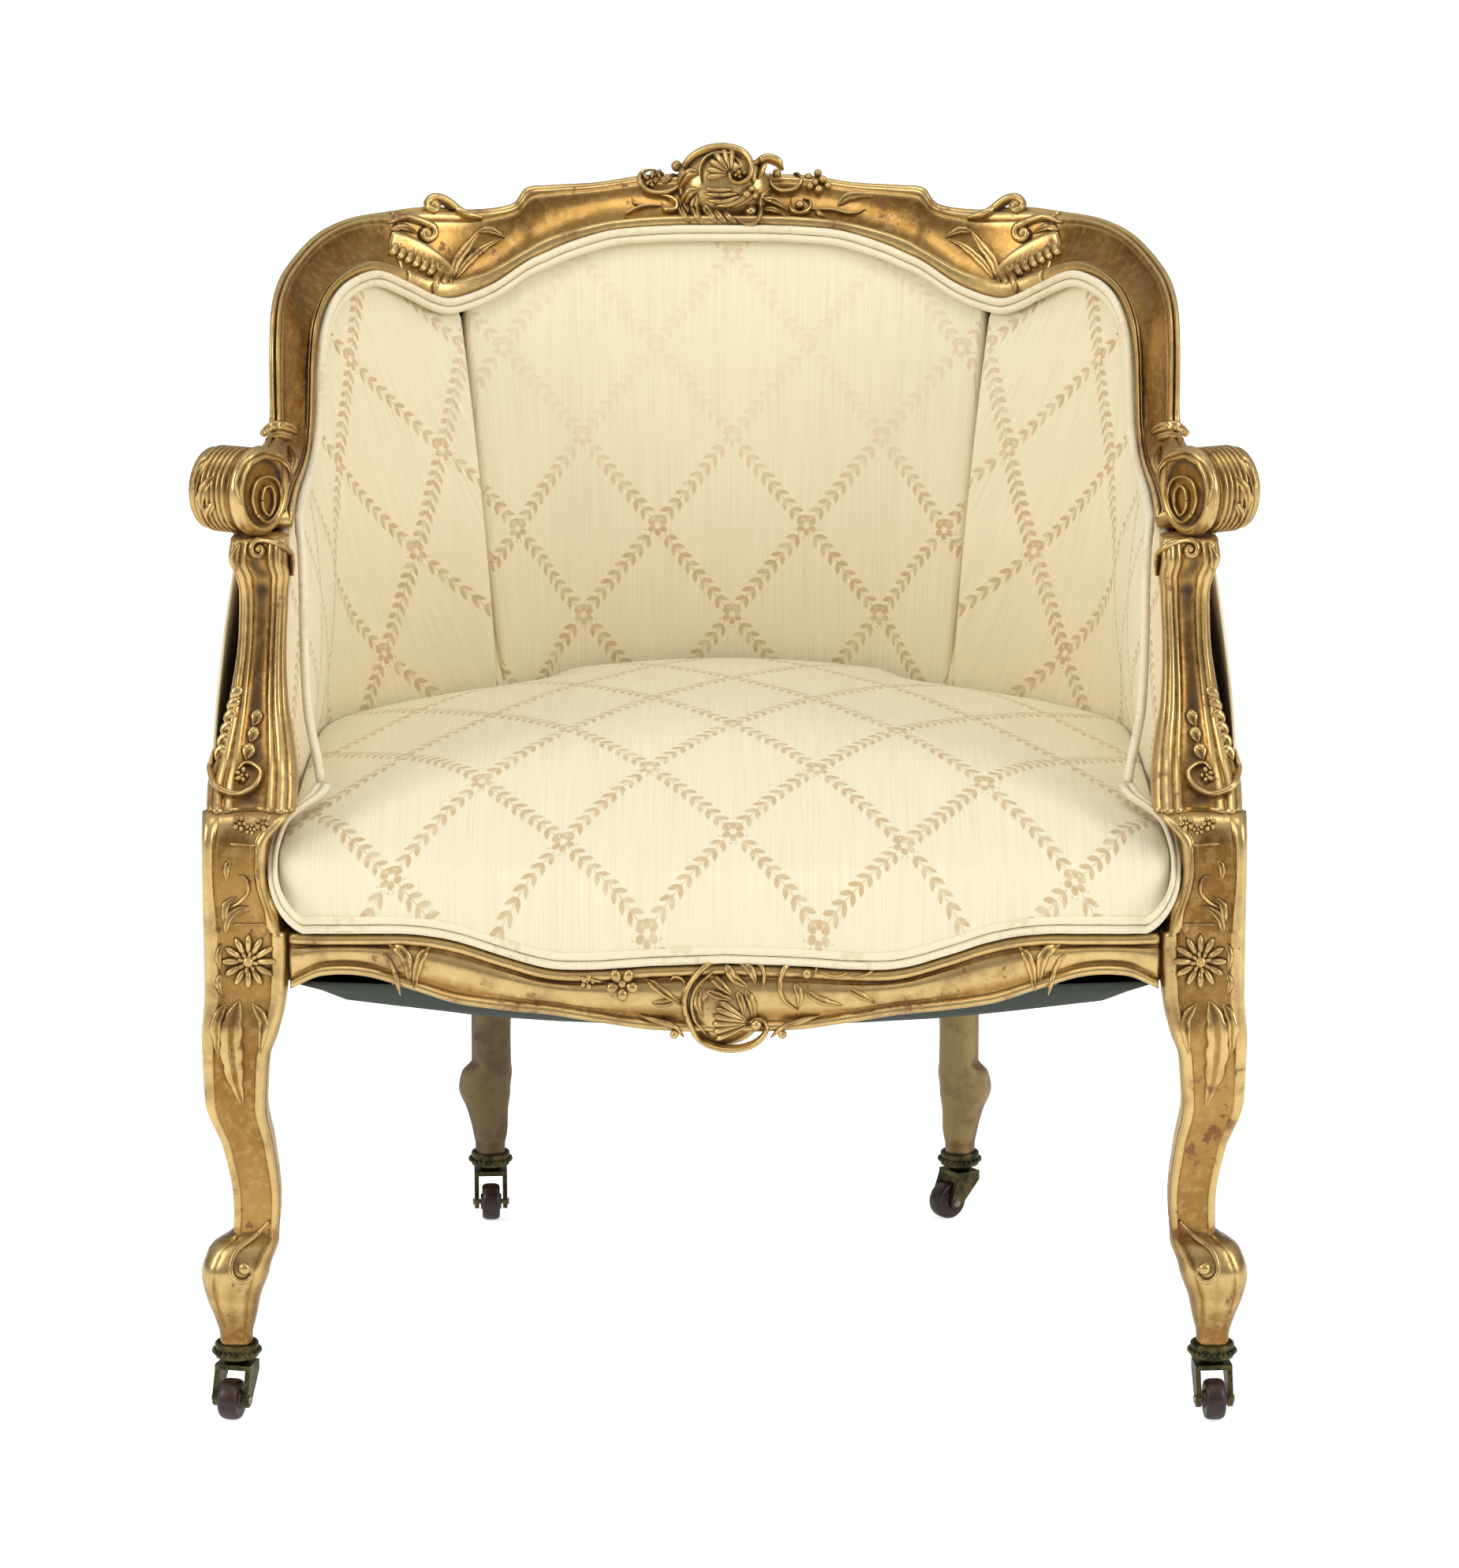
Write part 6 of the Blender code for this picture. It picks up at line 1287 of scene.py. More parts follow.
class BERGERE_OT_seat(BergereOperator, bpy.types.Operator):
    """Build the domed sprung seat"""
    bl_idname = "bergere.seat"
    bl_label = "Seat"

    def outline(self, form):
        """Half outline from back to front: place, top edge, lower edge, share of the front."""
        sizes = form.sizes
        stations = np.linspace(0, LAST_STATION - 1, 70)
        places = form.well.at(form.well_share(stations)) - form.well.normal(
            form.well_share(stations)) * .0006
        edge = form.seat_edge(stations)
        rows = [(place[0], place[1], top, sizes.pad_base, 0.0) for place, top in zip(places, edge)]
        count = len(SEAT_CORNER_ROWS)
        corner_foot = .3632
        corner = []
        for index, (across, forward, low_share) in enumerate(SEAT_CORNER_ROWS):
            part = (index + 1) / (count + 1)
            low = corner_foot + (sizes.pad_base - corner_foot) * (1 - low_share)
            top = sizes.seat_side_edge + (sizes.seat_front_edge - sizes.seat_side_edge) * part
            corner.append((across, -forward, top, low, part))
        corner = np.array([rows[-1]] + corner)
        rows += list(read_rows(corner, np.linspace(0, len(corner) - 1, 22))[1:])
        across = np.linspace(sizes.front_rail_half - FIT, 0, 60)[1:]
        face, _, lip = form.front_face(across)
        rows += [(x, y + .0052, sizes.seat_front_edge, z + FIT, 1.0)
                 for x, y, z in zip(across, face, lip)]
        return np.array(rows)

    def execute(self, context):
        form, look = self.form(context), looks(context)["silk_trellis"]
        sizes = form.sizes
        half = self.outline(form)
        loop = np.concatenate((mirrored(half), half[:1]))
        run = summed(np.hypot(*np.diff(loop[:, :2], axis=0).T))
        middle = np.array((0, -.030))
        profile_y = np.linspace(.24, -.32, 80)
        span = np.where(profile_y > -.03, .258, .282)
        rise = sizes.seat_peak - .045 * np.minimum(np.abs(profile_y + .03) / span, 1.1) ** 2.3
        lengths = summed(np.hypot(np.diff(profile_y), np.diff(rise)))

        def edge_at(part):
            return np.stack([np.interp(part * run[-1], run, column) for column in loop.T], axis=-1)

        def cloth_at(places, down):
            v = .4764 - np.interp(-places[..., 1], -profile_y, lengths) - down + .04
            v = (v + .62 * np.minimum(places[..., 0] ** 2, .07)) * .789
            return np.stack((places[..., 0] - .006, v), axis=-1)

        rows = 32
        steps = np.arange(-rows, rows + 1)
        column, row = np.meshgrid(steps, steps)
        ring = np.maximum(np.abs(column), np.abs(row))
        place = np.select(
            ((row == ring), (column == ring), (row == -ring)),
            (ring + column, 3 * ring - row, 5 * ring - column), 7 * ring + row)
        part = np.mod(place / np.maximum(8 * ring, 1) - .125, 1.0)
        edge = edge_at(part.ravel()).reshape(*part.shape, 5)
        radius = (ring / rows)[..., None]
        plan = middle + (edge[..., :2] - middle) * radius
        height = edge[..., 2] + (sizes.seat_peak - edge[..., 2]) * (1 - radius[..., 0] ** 2.3)
        top = np.concatenate((plan, height[..., None]), axis=-1)
        bm = sweep(top, around=False, uvs=cloth_at(top, 0))
        floor_places = np.concatenate((middle + (edge[..., :2] - middle) * radius * .99,
                                       np.full_like(radius, sizes.pad_base)), axis=-1)
        join(bm, sweep(floor_places, around=False, uvs=cloth_at(floor_places, 0)))
        count = 8 * rows
        rim = edge_at(np.arange(count) / count)
        outward = unit(rim[:, :2] - middle)
        sides, down = [], []
        for share in np.linspace(0, 1, 15):
            bulge = max(math.sin(share * math.pi), 0) ** .7 * .0072
            plan = rim[:, :2] + outward * (bulge * rim[:, 4])[:, None]
            height = rim[:, 2] + (rim[:, 3] - rim[:, 2]) * share
            sides.append(np.column_stack((plan, height)))
            down.append(rim[:, 2] - height)
        sides.append(np.column_stack((rim[:, :2] - outward * .003, rim[:, 3])))
        down.append(rim[:, 2] - rim[:, 3])
        sides.append(np.column_stack((middle + (rim[:, :2] - middle) * .99,
                                      np.full(count, sizes.pad_base))))
        down.append(rim[:, 2] - sizes.pad_base)
        sides, down = np.array(sides), np.array(down)
        cloth = cloth_at(sides, down)
        join(bm, sweep(sides, ends=False, uvs=np.concatenate((cloth, cloth[:, :1]), axis=1)))
        bmesh.ops.remove_doubles(bm, verts=bm.verts, dist=1e-5)
        bmesh.ops.recalc_face_normals(bm, faces=bm.faces)
        seat = add_piece("seat_visual", bm, look, nodes=["seat_cushion"])
        places = np.array([vert.co[:] for vert in seat.data.vertices])
        held = {tuple(np.round(point, 4)) for row in (0, 13, 14, 15, 16) for point in sides[row]}
        pinned = np.array([tuple(np.round(place, 4)) in held or place[2] < sizes.pad_base + .001
                           for place in places])
        inflate(seat, pinned, cap=.006)
        subdivided(seat)
        return {"FINISHED"}


def cords(path, radius, spacing):
    """Two round cords side by side along a path of centre, side and out."""
    points = 10
    bm = bmesh.new()
    angle = np.linspace(0, 2 * math.pi, points, endpoint=False)
    along = np.arange(len(path))
    centre, wood, out = (np.array([step[item] for step in path]) for item in range(3))
    for shift in (-spacing / 2, spacing / 2):
        uneven = 1 + .02 * np.sin(along * .9 + shift * 900)
        rings = (centre[:, None] + (wood * shift + out * radius)[:, None]
                 + wood[:, None] * (np.cos(angle)[None, :, None] * radius * uneven[:, None, None])
                 + out[:, None] * (np.sin(angle)[None, :, None] * radius * uneven[:, None, None]))
        run = run_along(centre)
        around = np.linspace(0, 2 * math.pi * radius, points + 1)
        uvs = np.stack((np.broadcast_to(run[:, None], (len(run), points + 1)),
                        np.broadcast_to(around[None], (len(run), points + 1)) + shift), axis=-1)
        join(bm, sweep(rings, uvs=uvs))
    return bm


def resampled(path):
    """The same path in even short steps."""
    spacing = .004
    flat = np.array([np.concatenate(step) for step in path])
    fine = read_rows(flat, np.linspace(0, len(flat) - 1, len(flat) * 8))
    run = run_along(fine[:, :3])
    want = np.linspace(0, run[-1], int(run[-1] / spacing))
    fine = np.stack([np.interp(want, run, column) for column in fine.T], axis=-1)
    return [(row[:3], unit(row[3:6]), unit(row[6:9])) for row in fine]


class BERGERE_OT_welts(BergereOperator, bpy.types.Operator):
    """Build the double welts of the back opening and of the seat front"""
    bl_idname = "bergere.welts"
    bl_label = "Welts"

    def execute(self, context):
        form, look = self.form(context), looks(context)["silk_plain"]
        sizes = form.sizes
        width, thickness = sizes.welt_width, sizes.welt_thickness
        stations = np.linspace(0, 22.6, 90)
        inner, across, up = form.rail_frame(stations)
        wood, out = unit(up), -unit(across)
        centre = inner - wood * width / 2 + out * FIT
        half = list(zip(centre, wood, out))
        start_wood, start_out = half[-1][1], half[-1][2]
        for index, (x, forward, height) in enumerate(BACK_WELT_TAIL):
            part = min((index + 1) / 2, 1.0)
            half.append((np.array((x, -forward, height)),
                         unit(start_wood * (1 - part) - Y_AXIS * part),
                         unit(start_out * (1 - part) - X_AXIS * part)))
        flip = np.array((-1, 1, 1))
        path = [tuple(item * flip for item in step) for step in half[:0:-1]] + half
        radius = thickness / 2
        add_piece("back_welt_visual", cords(resampled(path), radius, width - thickness), look,
                  nodes=["back_welt"])
        half = []
        count = len(SEAT_WELT_HEAD)
        for index, (x, forward, height) in enumerate(SEAT_WELT_HEAD):
            part = index / count
            half.append((np.array((x, -forward, height)),
                         unit(np.array((1 - part, -part * (1 - part), -part))),
                         unit(np.array((part * (1 - part), -part - .3, 1 - part)))))
        across = np.linspace(sizes.front_rail_half - FIT, 0, 40)[1:]
        face, _, lip = form.front_face(across)
        for x, y, z in zip(across, face, lip):
            half.append((np.array((x, y + .0015 + thickness / 2, z + FIT + width / 2)),
                         -Z_AXIS, -Y_AXIS))
        path = half + [tuple(item * flip for item in step) for step in half[-2::-1]]
        add_piece("seat_welt_visual", cords(resampled(path), radius, width - thickness), look,
                  nodes=["seat_welt"])
        return {"FINISHED"}


class BERGERE_OT_covers(BergereOperator, bpy.types.Operator):
    """Build the outside covers of the back and the arms"""
    bl_idname = "bergere.covers"
    bl_label = "Outside covers"

    def cover(self, form, stations):
        """Rings of a cover from its hem under the rail up to its tacked edge at the top."""
        hem_height, rail_height = .315, .385
        share = form.shares(stations)[:, 2] * np.where(np.asarray(stations) < 0, -1, 1)
        outward = form.seat.normal(share)
        low = form.seat.at(share) + outward * .0027
        hem = low + Z_AXIS * hem_height
        low = low + Z_AXIS * rail_height
        top = form.rail_point(stations, .96, -.54)
        faces = [hem, hem * .5 + low * .5]
        for part in np.linspace(0, 1, 22):
            faces.append(low + (top - low) * part + outward * (.006 * 4 * part * (1 - part)))
        faces = np.array(faces).transpose(1, 0, 2)
        backs = faces[:, ::-1] - outward[:, None] * .0024
        return np.concatenate((faces, backs), axis=1)

    def execute(self, context):
        form, look = self.form(context), looks(context)["silk_trellis"]
        stations = np.linspace(-11, 11, 121)
        rings = self.cover(form, stations)
        run = run_along(rings[:, 20])
        uvs = pad_uvs(rings, run, -run[-1] / 2, .7625)
        back = add_piece("outside_back_visual", sweep(rings, uvs=uvs), look,
                         nodes=["outside_back_cover"])
        stations = np.linspace(11, LAST_STATION, 90)
        rings = self.cover(form, stations)
        rings[0] += unit(rings[1] - rings[0]) * FIT
        run = run_along(rings[:, 20])
        for side, sign in SIDES:
            uvs = pad_uvs(rings, run, .45, .7625, squeeze=sign)
            arm = add_piece("outside_arm_visual_" + side, sweep(rings * (sign, 1, 1), uvs=uvs), look,
                            nodes=["outside_arm_cover_" + side])
        return {"FINISHED"}


class BERGERE_OT_dust_cover(BergereOperator, bpy.types.Operator):
    """Build the sagging dust cover under the seat"""
    bl_idname = "bergere.dust_cover"
    bl_label = "Dust cover"

    def execute(self, context):
        rim, hung = .3115, .3095
        lowest, spread, half_width, sag = -.19, .08, .3, .025
        bm = bmesh.new()
        bm.from_mesh(NODES["dust_cover"].data)
        bmesh.ops.remove_doubles(bm, verts=bm.verts, dist=1e-5)
        bmesh.ops.subdivide_edges(bm, edges=bm.edges, cuts=1, use_grid_fill=True)
        bmesh.ops.smooth_vert(bm, verts=[vert for vert in bm.verts if vert.co.z < rim], factor=.5,
                              use_axis_z=True)
        for vert in bm.verts:
            if vert.co.z < hung:
                near = (math.exp(-((vert.co.y - lowest) / spread) ** 2)
                        * (1 - (vert.co.x / half_width) ** 2))
                vert.co.z -= sag * max(near, 0) * min((hung - vert.co.z) / .01, 1)
        for _ in range(3):
            bmesh.ops.smooth_vert(bm, verts=[vert for vert in bm.verts if vert.co.z < hung],
                                  factor=.5, use_axis_z=True)
        piece = add_piece("dust_cover_visual", bm, looks(context)["dust_cloth"],
                          nodes=["dust_cover"])
        return {"FINISHED"}


WHEEL_RADIUS = .0145
CASTERS = {
    # stem place, wheel centre, wheel axle
    "front_left": ((-.342, -.25001), (-.344903, -.261654), (.970296, -.241922)),
    "front_right": ((.342, -.25001), (.342837, -.261981), (.997564, .069756)),
    "rear_left": ((-.186586, .249288), (-.185958, .237305), (.99863, .052336)),
    "rear_right": ((.186586, .249288), (.176756, .242405), (.573576, -.819152)),
}


class BERGERE_OT_casters(BergereOperator, bpy.types.Operator):
    """Build the beaded collars and the turned wheels"""
    bl_idname = "bergere.casters"
    bl_label = "Casters"

    def collar(self):
        bm = lathe(((.0034, .0385), (.0070, .0385), (.0080, .0388), (.0092, .0398), (.0108, .0412),
                    (.0132, .0420), (.0150, .0426), (.0152, .0436), (.0150, .0444), (.0152, .0452),
                    (.0154, .0468), (.0152, .0484), (.0150, .0492), (.0152, .0500), (.0154, .0512),
                    (.0152, .0524), (.0146, .0530), (.0136, .0530), (.0136, .0448), (.0034, .0448),
                    (.0034, .0385)), 48)
        beads, bead_radius, reach, height = 24, .0019, .0158, .0468
        for index in range(beads):
            angle = 2 * math.pi * index / beads
            bead = bmesh.new()
            bmesh.ops.create_icosphere(bead, subdivisions=2, radius=bead_radius)
            join(bm, bead, Matrix.Translation((reach * math.cos(angle), reach * math.sin(angle),
                                               height)))
        return bm

    def wheel(self):
        half = ((.0023, .0082), (.0058, .0082), (.0062, .0078), (.0062, .0070), (.0090, .0066),
                (.0116, .0070), (.0128, .0066), (.0138, .0054), (.0144, .0034))
        other = [(radius, -height) for radius, height in reversed(half)]
        return lathe((*half, (WHEEL_RADIUS, .0), *other, half[0]), 56)

    def execute(self, context):
        materials = looks(context)
        for name, (stem, wheel, axle) in CASTERS.items():
            collar = self.collar()
            bmesh.ops.translate(collar, verts=collar.verts, vec=(*stem, 0))
            add_piece("collar_visual_" + name, collar, materials["bronze_patina"],
                      nodes=["caster_collar_" + name])
            turned = self.wheel()
            turn = Vector((*axle, 0)).to_track_quat("Z", "Y").to_matrix().to_4x4()
            bmesh.ops.transform(turned, verts=turned.verts,
                                matrix=Matrix.Translation((*wheel, WHEEL_RADIUS)) @ turn)
            add_piece("wheel_visual_" + name, turned, materials["wheel_wood"],
                      body=NODES["caster_wheel_" + name]["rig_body"],
                      nodes=["caster_wheel_" + name])
        return {"FINISHED"}


class BERGERE_OT_arm_scrolls(BergereOperator, bpy.types.Operator):
    """Build the reeded scrolls at the ends of the arms"""
    bl_idname = "bergere.arm_scrolls"
    bl_label = "Arm scrolls"

    def execute(self, context):
        look = looks(context)["gilt_wood"]
        width, radius, steps = .046, .031, 64
        across, along_seat, height, turn = .336, -.187, .646, 30
        profile = [(-.5, .30), (-.5, .74), (-.49, .86), (-.46, .92), (-.42, .90), (-.38, .93)]
        reeds = 6
        for index in range(reeds * 8 + 1):
            part = index / (reeds * 8)
            reed = abs(math.sin(part * reeds * math.pi)) ** .7
            profile.append((-.36 + .56 * part, .90 + .07 * reed))
        profile += [(.22, .88), (.26, .90), (.30, .98), (.36, 1.02), (.43, 1.0), (.48, .93),
                    (.5, .86), (.49, .80), (.46, .76), (.44, .70), (.44, .50), (.45, .30)]
        rings = []
        for along, reach in profile:
            angle = np.linspace(0, 2 * math.pi, steps, endpoint=False)
            rings.append(np.stack((np.full(steps, along * width), np.cos(angle) * reach * radius,
                                   np.sin(angle) * reach * radius), axis=-1))
        base = sweep(rings)
        # x runs along the drum, towards the inner face
        for side, sign in SIDES:
            bm = base.copy()
            place = (Matrix.Translation((across * sign, along_seat, height))
                     @ Matrix.Rotation(math.radians(turn) * sign, 4, "Z")
                     @ Matrix.Diagonal((-sign, 1, 1, 1)))
            bmesh.ops.transform(bm, matrix=place, verts=bm.verts)
            bmesh.ops.recalc_face_normals(bm, faces=bm.faces)
            add_piece("arm_scroll_visual_" + side, bm, look, carved=True)
        base.free()
        return {"FINISHED"}


class BERGERE_OT_crest_carving(BergereOperator, bpy.types.Operator):
    """Carve the shell cartouche in the middle of the crest"""
    bl_idname = "bergere.crest_carving"
    bl_label = "Crest carving"

    def execute(self, context):
        mass = backing(centre=(.001, .286, .812), radii=(.034, .018, .029))
        carving = Carving([bpy.data.objects["crest_rail_visual"], mass])
        join(carving.bm, mass)
        carving.carve(CREST_CARVING)
        add_piece("crest_carving", carving.bm, looks(context)["gilt_worn"], carved=True)
        return {"FINISHED"}


class BERGERE_OT_side_carving(BergereOperator, bpy.types.Operator):
    """Carve the shoulders, arms, stumps, blocks, knees and toes of both sides"""
    bl_idname = "bergere.side_carving"
    bl_label = "Side carving"

    def execute(self, context):
        grounds = [bpy.data.objects[name] for name in (
            "crest_rail_visual", "arm_rail_visual_left", "arm_scroll_visual_left",
            "arm_stump_visual_left", "front_leg_visual_left", "front_rail_visual")]
        carving = Carving(grounds)
        carving.carve(SIDE_CARVING)
        # the shoulder's two rows of short strokes, then the scales down the stump
        for index in range(8):
            x, y = 495 + 9.5 * index, 322 + 5.2 * index
            carving.ridge([(x + 7, y - 13), (x + 4, y - 4), (x - 1, y + 1)], 11, 6, start=.2,
                          end=.3, blunt=.4)
        for index in range(7):
            x, y = 522 + 6.2 * index, 309 + 3 * index
            carving.ridge([(x, y), (x + 1, y + 12), (x + 1, y + 22)], 5, 5, start=.3, end=.3)
        for index in range(6):
            x, y = 308 - 4.2 * index, 872 + 15 * index
            carving.ridge([(x, y), (x - 9, y + 6), (x - 13, y + 17)], 14, 5, start=.2, end=.5)
        other = flipped(carving.bm)
        look = looks(context)["gilt_worn"]
        add_piece("side_carving_left", carving.bm, look, carved=True)
        add_piece("side_carving_right", other, look, carved=True)
        return {"FINISHED"}


class BERGERE_OT_front_carving(BergereOperator, bpy.types.Operator):
    """Carve the shell, sprig and scroll on the front rail"""
    bl_idname = "bergere.front_carving"
    bl_label = "Front rail carving"

    def execute(self, context):
        mass = backing(centre=(0, -.3015, .307), radii=(.028, .0115, .027))
        carving = Carving([bpy.data.objects["front_rail_visual"], mass])
        join(carving.bm, mass)
        carving.carve(FRONT_CARVING)
        add_piece("front_carving", carving.bm, looks(context)["gilt_worn"], carved=True)
        return {"FINISHED"}


def backing(centre, radii):
    """Rounded mass under a carving."""
    bm = bmesh.new()
    bmesh.ops.create_uvsphere(bm, u_segments=32, v_segments=20, radius=1)
    bmesh.ops.transform(bm, matrix=Matrix.Translation(centre) @ Matrix.Diagonal((*radii, 1)),
                        verts=bm.verts)
    return bm


# Carvings: kind, place in points of the photograph, then the settings of its method
CREST_CARVING = (
    # the great scroll and its shell
    ("ridge", [(864, 250), (865, 224), (875, 205), (893, 193), (915, 189), (936, 193), (948, 203),
               (952, 215), (947, 227), (936, 232), (927, 228), (925, 220)], 12, 15, .15, .5, .5),
    ("ridge", [(890, 234), (888, 216), (895, 202), (909, 196), (927, 197), (938, 208)], 4.5, 10),
    ("fan", (927, 221), 31, 172, 272, 6, 10, 9), ("flower", (936, 220), 8, 5, 14),
    ("ball", (936, 220), 4, 19),
    # the wing below it
    ("ridge", [(891, 238), (910, 241), (930, 240)], 7, 9),
    ("ridge", [(892, 245), (914, 247), (937, 245)], 7, 9),
    ("ridge", [(894, 253), (918, 255), (942, 247)], 8, 10),
    ("ridge", [(905, 261), (932, 257), (955, 241)], 9, 11),
    ("ridge", [(925, 265), (946, 254), (962, 240)], 8, 11),
    ("ball", (946, 246), 6.5, 13), ("ball", (956, 248), 5.5, 13), ("ball", (952, 239), 5, 12),
    ("ball", (951, 267), 8.5, 13),
    ("ridge", [(976, 238), (964, 249), (963, 262), (964, 272), (958, 282), (946, 284),
               (932, 276)], 6.5, 11),
    # leaves on the left
    ("leaf", [(889, 219), (876, 220), (867, 231), (864, 248)], 14, 12),
    ("leaf", [(888, 240), (877, 243), (870, 256), (873, 272)], 15, 12),
    ("leaf", [(884, 246), (881, 260), (884, 275), (893, 285)], 14, 11),
    ("leaf", [(893, 258), (899, 270), (909, 283)], 13, 9),
    ("leaf", [(905, 266), (912, 274), (922, 284)], 10, 8),
    ("leaf", [(918, 269), (926, 277), (936, 284)], 9, 8),
    ("leaf", [(862, 262), (866, 272), (876, 283)], 10, 8),
    # scroll with flowers on the left
    ("ridge", [(865, 221), (861, 235), (849, 243), (835, 245), (820, 241), (812, 231), (812, 221),
               (820, 216), (831, 215)], 7.5, 10),
    ("ball", (858, 212), 7.5, 11), ("flower", (825, 230), 9, 5, 9), ("flower", (835, 221), 7, 5, 8),
    ("leaf", [(840, 232), (850, 224), (857, 222)], 9, 7),
    ("ridge", [(837, 248), (849, 250), (858, 258), (855, 267), (843, 266), (839, 257)], 7, 10),
    ("ridge", [(838, 261), (818, 261), (801, 267), (793, 274), (798, 277)], 4.5, 7),
    ("ridge", [(824, 262), (806, 258), (801, 251)], 4.5, 6),
    # leaf, scroll and berries on the right
    ("ridge", [(951, 211), (962, 205), (972, 201), (985, 205), (993, 216)], 11, 11),
    ("ridge", [(972, 204), (966, 215), (961, 228)], 8, 10),
    ("ridge", [(958, 210), (955, 222), (956, 234)], 8, 9),
    ("ball", (985, 220), 6, 13),
    ("ridge", [(976, 218), (978, 234), (990, 242), (1007, 240), (1016, 230), (1013, 222),
               (1006, 220)], 6.5, 10),
    ("ball", (1025, 225), 5.5, 10), ("ball", (1037, 221), 5.5, 10), ("ball", (1043, 229), 5.5, 10),
    ("ball", (1050, 235), 5, 9), ("ball", (1038, 240), 6, 10), ("ball", (1027, 236), 5.5, 10),
    ("ball", (1034, 231), 5, 12),
    ("ridge", [(1003, 251), (1002, 265), (1013, 272), (1026, 266), (1027, 255), (1018, 252)], 5.5, 9),
    ("ball", (1014, 260), 6, 9), ("leaf", [(965, 250), (985, 257), (1001, 268)], 11, 8),
    ("leaf", [(966, 266), (980, 267), (996, 274)], 9, 7),
    ("leaf", [(1062, 261), (1074, 250), (1092, 247), (1106, 250)], 12, 8),
    ("ridge", [(1028, 266), (1054, 266), (1079, 271), (1098, 265)], 4.5, 6),
    ("leaf", [(1034, 267), (1040, 272), (1048, 276)], 7, 6),
)
